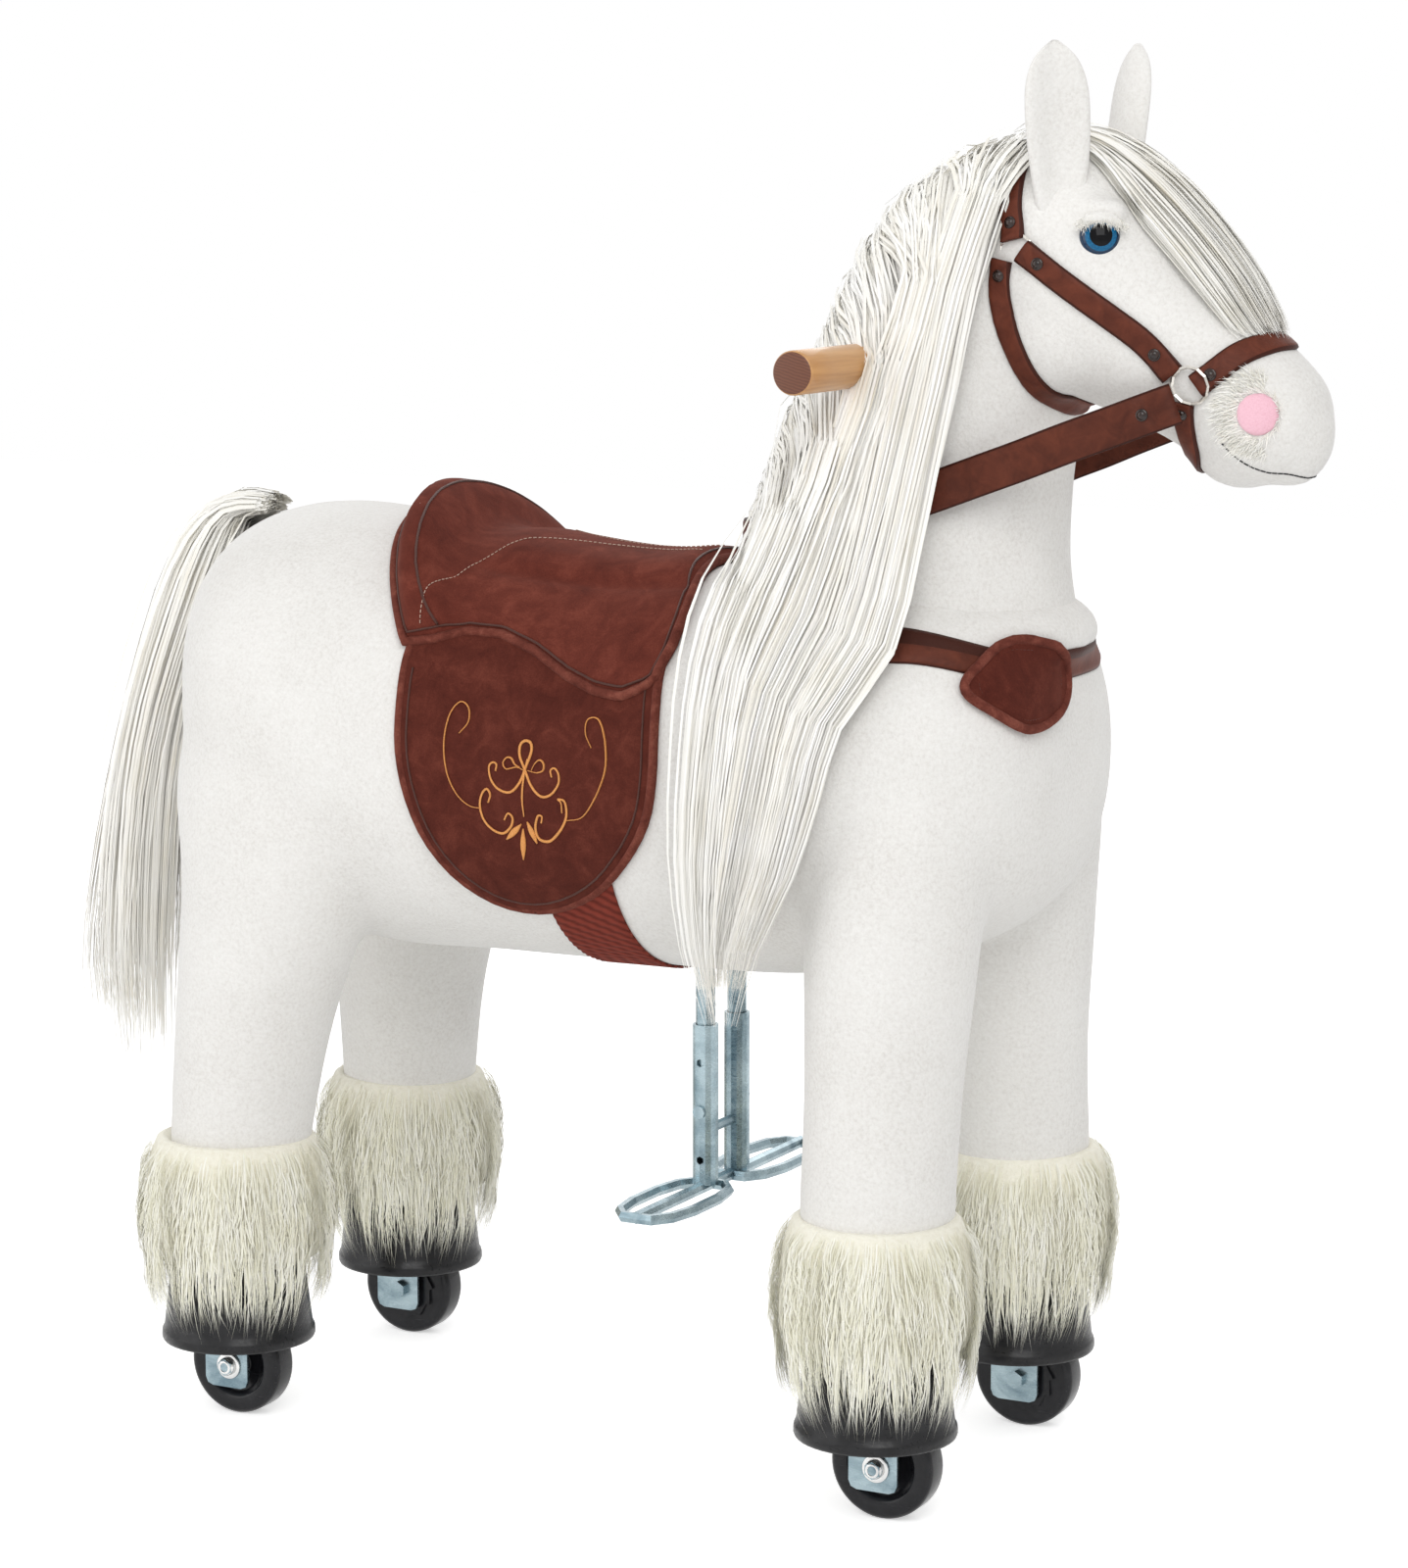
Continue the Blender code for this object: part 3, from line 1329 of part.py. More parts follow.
SADDLE_BACK = -0.166
SADDLE_FRONT_TOP = 0.056
SADDLE_FRONT_SIDE = 0.088
SADDLE_BACK_LAG = 0.030
SADDLE_THICKNESS = 0.010
DRAPE_AXIS_Z = 0.478
DRAPE_REACH = 0.20
SKIRT_EDGE = [
    # x, degrees round the body at the skirt's lower edge
    (-0.166, 50),
    (-0.126, 53),
    (-0.081, 48),
    (-0.055, 48),
    (-0.026, 52),
    (0.005, 58),
    (0.040, 62.5),
    (0.066, 60.5),
    (0.088, 61),
]
CANTLE_RADIUS = 0.020
CANTLE_DROP_DEG = 50
CANTLE_SET_IN = 0.014
CANTLE_TAPER = 0.62


def between(table, x):
    """The value at x on straight lines through the table's pairs."""
    for (low_x, low), (high_x, high) in zip(table, table[1:]):
        if x <= high_x:
            share = max((x - low_x) / (high_x - low_x), 0.0)
            return low + (high - low) * share
    return table[-1][1]


def round_body(x, degrees_down):
    """A point out from the body's side, this far round from straight up."""
    angle = radians(degrees_down)
    return (x, DRAPE_REACH * sin(angle), DRAPE_AXIS_Z + DRAPE_REACH * cos(angle))


def make_cantle(skin):
    """Padded roll across the back of the saddle, fullest in its middle."""
    rings = []
    count = 7
    for index in range(count):
        across = -1 + 2 * index / (count - 1)
        lag = SADDLE_BACK_LAG * sin(abs(across) * pi / 3)
        x = SADDLE_BACK + CANTLE_SET_IN + lag
        middle = Vector(round_body(x, across * CANTLE_DROP_DEG))
        found, near, normal, _ = skin.closest_point_on_mesh(middle)
        full = CANTLE_RADIUS * (1 - CANTLE_TAPER * across ** 4)
        upward = Vector((0, normal.y, normal.z)).normalized()
        rings.append(oval(near + upward * full, (1, 0, 0), upward, full, full, 6))
    return loft(rings, "cantle", 1)


def make_saddle(skin):
    """Seat and skirts draped over the back, with the padded roll of the cantle behind."""
    grid = []
    rows = 7
    columns = 15
    for row in range(rows):
        share = row / (rows - 1)
        line = []
        for column in range(columns):
            across = -1 + 2 * column / (columns - 1)
            side = sin(abs(across) * pi / 3)
            back = SADDLE_BACK + SADDLE_BACK_LAG * side
            front = SADDLE_FRONT_TOP + (SADDLE_FRONT_SIDE - SADDLE_FRONT_TOP) * side
            x = back + (front - back) * share
            line.append(round_body(x, across * between(SKIRT_EDGE, x)))
        grid.append(line)
    item = draped(grid, skin, DRAPE_LIFT, SADDLE_THICKNESS, "saddle")
    item = fuse(item, make_cantle(skin))
    for side in (1, -1):
        grid = flap_grid(side, POCKET_EASE)
        high = FLAP_THICKNESS + POCKET_EASE
        pocket = draped(grid, skin, DRAPE_LIFT, high, "pocket", sink=2 * DRAPE_SINK)
        item = cut(item, pocket)
    return seated(item, True)


FLAP_BACK = -0.120
FLAP_FRONT = 0.078
FLAP_TUCK_DEG = 5
FLAP_SHOULDER_DEG = 84
FLAP_LOW_DEG = 126
FLAP_THICKNESS = 0.005
POCKET_EASE = 0.0020
POCKET_RISE = 4


def flap_grid(side, grow=0.0):
    """Rows of points for a U-shaped flap, its top tucked under the skirt."""
    grid = []
    rows = 6
    columns = 9
    middle = (FLAP_BACK + FLAP_FRONT) / 2
    half = (FLAP_FRONT - FLAP_BACK) / 2 + 2 * grow
    for row in range(rows):
        share = row / (rows - 1)
        line = []
        for column in range(columns):
            across = -cos(pi * column / (columns - 1))
            x = middle + half * across
            round_off = max(1 - abs(across) ** 2.4, 0.0) ** (1 / 2.4)
            top = between(SKIRT_EDGE, x) - FLAP_TUCK_DEG - POCKET_RISE * degrees(grow / DRAPE_REACH)
            low = FLAP_SHOULDER_DEG + (FLAP_LOW_DEG - FLAP_SHOULDER_DEG) * round_off
            line.append(round_body(x, side * (top + (low - top) * share)))
        grid.append(line)
    return grid


def make_flap(skin):
    """Flap on the left side, from under the skirt down the flank."""
    return seated(draped(flap_grid(1), skin, DRAPE_LIFT, FLAP_THICKNESS, "flap"), True)


GIRTH_BACK = -0.014
GIRTH_FRONT = 0.040
GIRTH_HALF_SPAN_DEG = 51
GIRTH_THICKNESS = 0.0025


def make_girth(skin):
    """Webbing that runs under the belly between the lower ends of the flaps."""
    grid = []
    for x in (GIRTH_BACK, (GIRTH_BACK + GIRTH_FRONT) / 2, GIRTH_FRONT):
        line = []
        for index in range(13):
            share = -1 + 2 * index / 12
            line.append(round_body(x, 180 + share * GIRTH_HALF_SPAN_DEG))
        grid.append(line)
    return seated(draped(grid, skin, DRAPE_LIFT, GIRTH_THICKNESS, "girth"), True)


BADGE_HALF_WIDTH = 0.0385
BADGE_HALF_HEIGHT = 0.0280
BADGE_THICKNESS = 0.0060
BADGE_CENTRE = (0.322, -0.066, 0.561)
BADGE_TURN_DEG = -36
CHEST_STRAP_Z = 0.571
CHEST_STRAP_RISE = 0.014
CHEST_STRAP_HALF_SPAN_DEG = 56
CHEST_STRAP_AXIS_X = 0.12
CHEST_STRAP_REACH = 0.225
CHEST_STRAP_SIDE_REACH = 0.150
CHEST_STRAP_WIDTH = 0.022
CHEST_STRAP_THICKNESS = 0.0025


def make_chest_strap(skin):
    """Strap round the chest with the bare oval badge on its right half."""
    grid = []
    for step in (-0.5, 0.5):
        line = []
        for index in range(13):
            share = -1 + 2 * index / 12
            angle = radians(CHEST_STRAP_HALF_SPAN_DEG * share)
            z = CHEST_STRAP_Z + CHEST_STRAP_RISE * share * share + step * CHEST_STRAP_WIDTH
            x = CHEST_STRAP_AXIS_X + CHEST_STRAP_REACH * cos(angle)
            line.append((x, CHEST_STRAP_SIDE_REACH * sin(angle), z))
        grid.append(line)
    strap = draped(grid, skin, DRAPE_LIFT, CHEST_STRAP_THICKNESS, "strap")
    turn = radians(BADGE_TURN_DEG)
    across = Vector((-sin(turn), cos(turn), 0))
    stand_off = Vector((cos(turn), sin(turn), 0)) * BADGE_HALF_HEIGHT
    grid = []
    for ring in range(4):
        reach = 0.25 + 0.75 * ring / 3
        line = []
        for index in range(14):
            angle = 2 * pi * index / 14
            point = Vector(BADGE_CENTRE) + stand_off
            point += across * (BADGE_HALF_WIDTH * reach * cos(angle))
            point.z += BADGE_HALF_HEIGHT * reach * sin(angle)
            line.append(point)
        grid.append(line)
    badge = draped(grid, skin, DRAPE_LIFT, BADGE_THICKNESS, "badge", True, 2 * DRAPE_SINK)
    return seated(fuse(strap, badge), True)


# Bridle

STRAP_WIDTH = 0.020
STRAP_THICKNESS = 0.0022
RING_RADIUS = 0.0125
RING_WIRE = 0.0012
UPPER_RING = (0.303, 0.848)
LOWER_RING = (0.424, 0.758)


def on_skin(skin, point, lift):
    found, near, normal, _ = skin.closest_point_on_mesh(Vector(point))
    return near + normal * lift, normal


def strap_grid(skin, points, width):
    """Rows that span a strap's width, square to its run and level with the skin."""
    grid = []
    for index, point in enumerate(points):
        before = Vector(points[max(index - 1, 0)])
        after = Vector(points[min(index + 1, len(points) - 1)])
        near, normal = on_skin(skin, point, 0.0)
        across = normal.cross((after - before).normalized()).normalized() * (width / 2)
        grid.append([near - across, near + across])
    return grid


def strap_between(skin, points, width, name):
    """A strap along points, laid on skin; each row spans the strap's width."""
    grid = strap_grid(skin, points, width)
    return seated(draped(grid, skin, DRAPE_LIFT, STRAP_THICKNESS, name), False)


def ring_place(skin, place, side):
    """Where a ring lies on the cheek, and the way it faces."""
    return on_skin(skin, (place[0], side * 0.09, place[1]), RING_WIRE + 0.0010)


def make_ring(skin, place, side):
    centre, normal = ring_place(skin, place, side)
    bpy.ops.mesh.primitive_torus_add(
        major_segments=12, minor_segments=4, major_radius=RING_RADIUS, minor_radius=RING_WIRE
    )
    item = bpy.context.active_object
    turn = Vector((0, 0, 1)).rotation_difference(normal).to_matrix().to_4x4()
    item.data.transform(Matrix.Translation(centre) @ turn)
    return item


def strap_run(skin, start, end, side, bow_y, count):
    """Points over the cheek from one ring to the other, clear of both rings."""
    first = Vector((start[0], side * 0.09, start[1]))
    last = Vector((end[0], side * 0.09, end[1]))
    points = []
    for index in range(count):
        share = index / (count - 1)
        points.append(first.lerp(last, share) + Vector((0, side * bow_y * sin(pi * share), 0)))
    return points


def make_cheek_strap(skin, side):
    way = (Vector(LOWER_RING) - Vector(UPPER_RING)).normalized()
    reach = RING_RADIUS + RING_WIRE + 0.0030
    start = Vector(UPPER_RING) + way * reach
    end = Vector(LOWER_RING) - way * reach
    return strap_between(skin, strap_run(skin, start, end, side, 0.0, 8), STRAP_WIDTH, "cheek")


def over_strap(skin, place, way, reach, shy_deg, name):
    """A strap from one ring to its partner, over the head toward way."""
    points = []
    count = 13
    for index in range(count):
        share = -1 + 2 * index / (count - 1)
        angle = radians((90 - shy_deg) * share)
        rise = reach * cos(angle)
        points.append((place[0] + way[0] * rise, 0.085 * sin(angle), place[1] + way[1] * rise))
    return strap_between(skin, points, STRAP_WIDTH, name)


BRIDLE_STRAPS = [
    # name, ring it starts from, way it goes in XZ, reach, degrees kept clear of the ring
    ("noseband", LOWER_RING, (0.807, 0.590), 0.075, 17),
    ("chin_strap", LOWER_RING, (-0.250, -0.968), 0.068, 17),
    ("crown_strap", UPPER_RING, (-0.260, 0.966), 0.085, 14),
    ("throat_strap", UPPER_RING, (0.120, -0.993), 0.125, 15),
]

REIN_FREE = [
    # x, y, z of the free stretch, from the ring to where it meets the neck
    (0.409, 0.062, 0.748),
    (0.345, 0.0715, 0.722),
    (0.285, 0.0795, 0.700),
    (0.238, 0.0835, 0.686),
    (0.212, 0.0835, 0.680),
]
REIN_NECK_START = (0.240, 0.0830, 0.687)
REIN_NECK_BACK = (0.095, 0.0, 0.650)
REIN_LIFT = 0.0020


def make_rein(skin):
    """Rein from one lower ring round the back of the neck to the other."""
    start = Vector(REIN_NECK_START)
    back = Vector(REIN_NECK_BACK)
    steps = 7
    half = []
    for index in range(steps + 1):
        angle = index / steps * pi / 2
        x = start.x - (start.x - back.x) * sin(angle)
        half.append(Vector((x, start.y * cos(angle), start.z + (back.z - start.z) * index / steps)))
    path = half + [Vector((point.x, -point.y, point.z)) for point in reversed(half[:-1])]
    grid = strap_grid(skin, path, STRAP_WIDTH)
    item = draped(grid, skin, REIN_LIFT, STRAP_THICKNESS, "rein")
    for side in (1, -1):
        outline = [(x, z + STRAP_WIDTH / 2) for x, y, z in REIN_FREE]
        outline += [(x, z - STRAP_WIDTH / 2) for x, y, z in reversed(REIN_FREE)]
        free = upright_plate(outline, 0, STRAP_THICKNESS, "free")
        first = REIN_FREE[0]
        last = REIN_FREE[-2]
        for vertex in free.data.vertices:
            share = min((first[0] - vertex.co.x) / (first[0] - last[0]), 1.0)
            vertex.co.y += side * (first[1] + (last[1] - first[1]) * share)
        item = fuse(item, free)
    return seated(item, False)


PARTS_NAME = "ride_on_pony"


def main():
    clear_scene()
    parts = make_collection(PARTS_NAME)
    cutters = make_collection("cutters")
    body = frame_empty("body", (0, 0, 0), parts)
    head = frame_empty("head", (STEER_X, 0, HANDLE_Z), parts)
    rear = frame_empty("rear_legs", (REAR_PIVOT_X, 0, PIVOT_Z), parts)
    front = frame_empty("front_legs", (FRONT_PIVOT_X, 0, PIVOT_Z), parts)
    yoke_z = PIVOT_Z - LUG_DROP - TOGGLE_DROP
    pedals = frame_empty("pedals", (POST_X, 0, yoke_z), parts)
    toggle = frame_empty("toggle", (TOGGLE_X, 0, yoke_z), parts)

    def place(item, name, slot, look, holder):
        return finish(item, name, slot, look, holder.location, holder, parts)

    body_target = keep_as_guide(body_skin(), "body_guide", cutters)
    head_target = keep_as_guide(head_skin(0.0), "head_guide", cutters)

    place(make_main_frame(), "main_frame", "frame_steel", DARK_STEEL, body)
    board = make_seat_board()
    board.data.transform(Matrix.Translation((0, 0, SEAT_BOARD_Z + SEAT_BOARD_THICKNESS / 2)))
    place(board, "seat_board", "plywood", PLYWOOD, body)
    place(make_body(), "body_plush", "white_plush", WHITE_PLUSH, body)
    place(make_saddle(body_target), "saddle_seat", "saddle_suede", BROWN_SUEDE, body)
    flap = make_flap(body_target)
    place(mirrored(flap, "flap"), "saddle_flap_right", "saddle_suede", BROWN_SUEDE, body)
    place(flap, "saddle_flap_left", "saddle_suede", BROWN_SUEDE, body)
    place(make_girth(body_target), "girth_strap", "girth_webbing", BROWN_STRAP, body)
    place(make_tail(), "tail", "tail_hair", HAIR, body)
    place(make_chest_strap(body_target), "chest_strap", "strap_brown", BROWN_STRAP, body)

    place(make_column(), "steering_column", "zinc_steel", ZINC, head)
    place(make_handle(), "handle", "beech", BEECH, head)
    place(make_neck(), "neck_plush", "white_plush", WHITE_PLUSH, head)
    eyes = [Vector((EYE_X, side * EYE_Y, EYE_Z)) for side in (1, -1)]
    place(make_head(eyes), "head_plush", "white_plush", WHITE_PLUSH, head)
    for label, centre in zip(("left", "right"), eyes):
        place(ball(centre, EYE_RADIUS, "eye"), "eye_" + label, "eye_blue", EYE_GLOSS, head)
    ear = make_ear()
    place(mirrored(ear, "ear"), "ear_right", "white_plush", WHITE_PLUSH, head)
    place(ear, "ear_left", "white_plush", WHITE_PLUSH, head)
    place(make_mane(), "mane", "mane_hair", HAIR, head)
    place(make_forelock(), "forelock", "mane_hair", HAIR, head)
    place(make_rein(head_target), "rein", "strap_brown", BROWN_STRAP, head)
    for name, place_at, way, reach, shy in BRIDLE_STRAPS:
        strap = over_strap(head_target, place_at, way, reach, shy, name)
        place(strap, name, "strap_brown", BROWN_STRAP, head)
    for label, side in (("left", 1), ("right", -1)):
        place(make_cheek_strap(head_target, side), "cheek_strap_" + label, "strap_brown", BROWN_STRAP, head)
        for level, spot in (("upper", UPPER_RING), ("lower", LOWER_RING)):
            ring = make_ring(head_target, spot, side)
            place(ring, "ring_" + level + "_" + label, "ring_steel", RING_STEEL, head)

    for label, side in (("left", 1), ("right", -1)):
        for end, axle, kingpin, pivot, way, stations, holder in (
            ("front", FRONT_AXLE_X, FRONT_KINGPIN_X, FRONT_PIVOT_X, 1, FRONT_LEG_STATIONS, front),
            ("rear", REAR_AXLE_X, REAR_KINGPIN_X, REAR_PIVOT_X, -1, REAR_LEG_STATIONS, rear),
        ):
            tag = "_" + end + "_" + label
            leg = make_leg(stations, pivot, kingpin, way)
            if side < 0:
                leg = swapped_side(leg)
            place(leg, "leg_plush" + tag, "white_plush", WHITE_PLUSH, holder)
            place(make_cuff(kingpin, side), "cuff" + tag, "cream_fur", CREAM_FUR, holder)
            place(make_hoof(kingpin, side), "hoof" + tag, "black_hide", BLACK_HIDE, holder)
            kingpin_empty = frame_empty("kingpin" + tag, (kingpin, side * TRACK_HALF, 0.13), parts)
            place(make_fork(axle, kingpin, side), "fork" + tag, "zinc_steel", ZINC, kingpin_empty)
            hub = frame_empty("axle" + tag, (axle, side * TRACK_HALF, AXLE_Z), parts)
            place(make_wheel(axle, side), "wheel" + tag, "wheel_black", BLACK_RUBBER, hub)
            pin = frame_empty(
                "pawl_pin" + tag,
                (axle + PAWL_PIVOT_X, side * TRACK_HALF, AXLE_Z + PAWL_PIVOT_Z),
                parts,
            )
            place(make_pawl(axle, side), "pawl" + tag, "zinc_steel", ZINC, pin)

    place(make_leg_frame(REAR_PIVOT_X, REAR_KINGPIN_X, 1), "rear_leg_frame", "frame_steel", DARK_STEEL, rear)
    place(make_leg_frame(FRONT_PIVOT_X, FRONT_KINGPIN_X, -1), "front_leg_frame", "frame_steel", DARK_STEEL, front)
    place(make_link(REAR_PIVOT_X, 1), "rear_link", "zinc_steel", ZINC, toggle)
    place(make_link(FRONT_PIVOT_X, -1), "front_link", "zinc_steel", ZINC, toggle)
    place(make_carriage(), "pedal_carriage", "zinc_steel", ZINC, pedals)
    place(make_footrest(), "footrest", "zinc_steel", ZINC, pedals)


def frame_empty(name, location, parts):
    made = bpy.data.objects.new(name, None)
    made.location = location
    parts.objects.link(made)
    return made


def keep_as_guide(item, name, cutters):
    """Keeps a skin as a hidden guide that draped pieces lie on."""
    item.name = name
    for group in list(item.users_collection):
        group.objects.unlink(item)
    cutters.objects.link(item)
    item.hide_render = True
    item.display_type = "WIRE"
    bpy.context.view_layer.update()
    return item


main()
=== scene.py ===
import json
import math
import random

import bmesh
import bpy
import numpy as np
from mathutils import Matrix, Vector, noise
from mathutils.bvhtree import BVHTree
from mathutils.interpolate import poly_3d_calc

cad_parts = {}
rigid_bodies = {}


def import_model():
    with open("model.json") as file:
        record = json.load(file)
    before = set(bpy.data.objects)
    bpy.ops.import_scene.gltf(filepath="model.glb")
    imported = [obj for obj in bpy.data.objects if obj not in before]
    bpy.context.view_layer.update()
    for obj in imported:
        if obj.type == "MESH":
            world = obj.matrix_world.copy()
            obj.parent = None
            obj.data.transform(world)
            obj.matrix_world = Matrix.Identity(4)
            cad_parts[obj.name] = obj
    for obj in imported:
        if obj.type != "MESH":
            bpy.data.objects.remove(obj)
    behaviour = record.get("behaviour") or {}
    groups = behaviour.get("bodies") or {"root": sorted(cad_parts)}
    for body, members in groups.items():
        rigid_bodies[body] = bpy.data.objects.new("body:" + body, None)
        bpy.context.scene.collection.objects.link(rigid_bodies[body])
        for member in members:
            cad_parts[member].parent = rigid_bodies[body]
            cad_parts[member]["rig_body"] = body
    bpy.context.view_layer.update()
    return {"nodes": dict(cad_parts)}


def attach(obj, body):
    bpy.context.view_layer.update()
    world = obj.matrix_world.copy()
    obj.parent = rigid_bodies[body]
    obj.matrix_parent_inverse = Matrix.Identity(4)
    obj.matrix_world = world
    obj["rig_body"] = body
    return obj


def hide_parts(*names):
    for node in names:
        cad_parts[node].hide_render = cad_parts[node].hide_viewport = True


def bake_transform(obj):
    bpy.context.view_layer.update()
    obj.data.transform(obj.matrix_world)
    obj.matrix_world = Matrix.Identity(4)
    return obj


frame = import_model()
hands = (("left", 1), ("right", -1))
print("frame loaded")


# Camera, floor and lamps

view = {"azimuth": 27.7187, "elevation": 8.7775, "place": (1.4337, -2.6505, 0.9304), "lens": 98.84}
light = {
    "world": 0.60, "floor": (0.93, 0.93, 0.93), "floorGlow": 0.50, "floorHalf": 7, "aim": (0, 0, 0.5),
    # name, place, size, power
    "lamps": [("key", (1.6, -2.4, 2.6), 2.2, 50), ("fill", (-2.2, -2.0, 1.4), 2.5, 22),
              ("back", (-0.5, 2.4, 2.2), 2.5, 24)],
}


def addCamera():
    a, e = math.radians(view["azimuth"]), math.radians(view["elevation"])
    back = Vector((math.sin(a) * math.cos(e), -math.cos(a) * math.cos(e), math.sin(e)))
    data = bpy.data.cameras.new("camera")
    data.sensor_width = 36
    data.lens = view["lens"]
    camera = bpy.data.objects.new("camera", data)
    bpy.context.scene.collection.objects.link(camera)
    camera.location = view["place"]
    camera.rotation_mode = "QUATERNION"
    camera.rotation_quaternion = (-back).to_track_quat("-Z", "Y")
    bpy.context.scene.camera = camera


def addLamp(name, place, aim, size, power):
    data = bpy.data.lights.new(name, "AREA")
    data.shape = "SQUARE"
    data.size = size
    data.energy = power
    lamp = bpy.data.objects.new(name, data)
    bpy.context.scene.collection.objects.link(lamp)
    lamp.location = place
    lamp.rotation_mode = "QUATERNION"
    lamp.rotation_quaternion = (Vector(aim) - Vector(place)).to_track_quat("-Z", "Y")


# Shader helpers

def addNode(tree, kind, inputs=None, **settings):
    node = tree.nodes.new("ShaderNode" + kind)
    for key, value in settings.items():
        setattr(node, key, value)
    for key, value in (inputs or {}).items():
        socket = node.inputs[key]
        if isinstance(value, bpy.types.NodeSocket):
            tree.links.new(value, socket)
        else:
            socket.default_value = value
    return node


def addRamp(tree, factor, stops):
    node = addNode(tree, "ValToRGB", {"Fac": factor})
    ramp = node.color_ramp
    while len(ramp.elements) < len(stops):
        ramp.elements.new(0.5)
    for element, (place, colour) in zip(ramp.elements, stops):
        element.position = place
        element.color = (*colour, 1) if len(colour) == 3 else colour
    return node.outputs["Color"]


def grey(value):
    return (value, value, value)


def addMath(tree, operation, *values, **settings):
    return addNode(tree, "Math", dict(enumerate(values)), operation=operation, **settings).outputs[0]


def addNoise(tree, place, scale, detail=2.0, roughness=0.5, distortion=0.0):
    inputs = {"Vector": place, "Scale": scale, "Detail": detail, "Roughness": roughness, "Distortion": distortion}
    return addNode(tree, "TexNoise", inputs).outputs["Fac"]


def addWave(tree, place, scale, distortion=0.0, detail=2.0, **settings):
    inputs = {"Vector": place, "Scale": scale, "Distortion": distortion, "Detail": detail}
    return addNode(tree, "TexWave", inputs, **settings).outputs["Fac"]


def stretched(tree, place, scale):
    return addNode(tree, "Mapping", {"Vector": place, "Scale": scale}).outputs[0]


def placeOf(tree, kind="Object"):
    return addNode(tree, "TexCoord").outputs[kind]


def mixOver(tree, base, mask, over):
    # The base colour with another laid over it where the mask is.
    mixed = addNode(tree, "Mix", data_type="RGBA")
    tree.links.new(mask, mixed.inputs["Factor"])
    tree.links.new(base, mixed.inputs["A"])
    mixed.inputs["B"].default_value = (*over, 1)
    return mixed.outputs["Result"]


def newGroup(name, inputs, outputs):
    group = bpy.data.node_groups.new(name, "ShaderNodeTree")
    for label, value in inputs.items():
        isColour = isinstance(value, tuple)
        kind = "NodeSocketColor" if isColour else "NodeSocketFloat"
        socket = group.interface.new_socket(label, in_out="INPUT", socket_type=kind)
        socket.default_value = (*value, 1) if isColour else value
    for label, kind in outputs.items():
        group.interface.new_socket(label, in_out="OUTPUT", socket_type="NodeSocket" + kind)
    return group, group.nodes.new("NodeGroupInput").outputs, group.nodes.new("NodeGroupOutput").inputs


def placeGroup(tree, group, **inputs):
    node = tree.nodes.new("ShaderNodeGroup")
    node.node_tree = group
    for key, value in inputs.items():
        if isinstance(value, bpy.types.NodeSocket):
            tree.links.new(value, node.inputs[key])
        else:
            node.inputs[key].default_value = (*value, 1) if isinstance(value, tuple) else value
    return node.outputs


def newMaterial(name, roughness, **sockets):
    material = bpy.data.materials.new(name)
    material.use_nodes = True
    tree = material.node_tree
    shader = next(n for n in tree.nodes if n.type == "BSDF_PRINCIPLED")
    shader.inputs["Roughness"].default_value = roughness
    for key, value in sockets.items():
        shader.inputs[key.replace("_", " ")].default_value = value
    return material, tree, shader


def linkBump(tree, shader, height, strength, distance):
    bump = addNode(tree, "Bump", {"Height": height, "Strength": strength, "Distance": distance})
    tree.links.new(bump.outputs["Normal"], shader.inputs["Normal"])


# Mesh helpers

def addObject(name, mesh):
    made = bpy.data.objects.new(name, mesh)
    bpy.context.scene.collection.objects.link(made)
    return made


def addMesh(name, points, faces, smooth=True):
    mesh = bpy.data.meshes.new(name)
    mesh.from_pydata([tuple(p) for p in points], [], faces)
    mesh.polygons.foreach_set("use_smooth", [smooth] * len(mesh.polygons))
    mesh.update()
    return addObject(name, mesh)


def paint(piece, *materials):
    piece.data.materials.clear()
    for material in materials:
        piece.data.materials.append(material)
    return piece


def curveThrough(rows, steps):
    # Catmull-Rom rows between the given ones.
    rows = np.array(rows, float)
    ends = np.vstack([2 * rows[0] - rows[1], rows, 2 * rows[-1] - rows[-2]])
    made = []
    for i in range(len(rows) - 1):
        a, b, c, d = ends[i:i + 4]
        for k in range(steps):
            t = k / steps
            made.append(0.5 * (2 * b + (c - a) * t + (2 * a - 5 * b + 4 * c - d) * t * t
                               + (3 * b - a - 3 * c + d) * t ** 3))
    made.append(rows[-1])
    return np.array(made)


def ovalRing(centre, across, up, halfAcross, halfUp, count, fullness=1.0):
    ring = []
    for k in range(count):
        angle = 2 * math.pi * k / count
        c, s = math.cos(angle), math.sin(angle)
        c = math.copysign(abs(c) ** fullness, c)
        s = math.copysign(abs(s) ** fullness, s)
        ring.append(Vector(centre) + Vector(across) * (c * halfAcross) + Vector(up) * (s * halfUp))
    return ring


def gridFaces(rows, columns, roundColumns=False, roundRows=False):
    # Quads between rows of points. Where it goes round, the last row or column joins the first.
    faces = []
    for r in range(rows if roundRows else rows - 1):
        for c in range(columns if roundColumns else columns - 1):
            m, n = (r + 1) % rows, (c + 1) % columns
            faces.append((r * columns + c, r * columns + n, m * columns + n, m * columns + c))
    return faces


def loftParts(rings):
    # Points and faces of a closed loft with fanned ends.
    count = len(rings[0])
    points = [p for ring in rings for p in ring]
    faces = gridFaces(len(rings), count, True)
    for ring, base, flip in ((rings[0], 0, True), (rings[-1], (len(rings) - 1) * count, False)):
        points.append(sum(ring, Vector()) / count)
        tip = len(points) - 1
        for k in range(count):
            n = (k + 1) % count
            faces.append((base + n, base + k, tip) if flip else (base + k, base + n, tip))
    return points, faces


def ballParts(centre, radii, rings=14, count=20):
    made = []
    for r in range(1, rings):
        polar = math.pi * r / rings
        z = centre[2] + radii[2] * math.cos(polar)
        flat = math.sin(polar)
        place = (centre[0], centre[1], z)
        made.append(ovalRing(place, (1, 0, 0), (0, 1, 0), radii[0] * flat, radii[1] * flat, count))
    return loftParts(made)


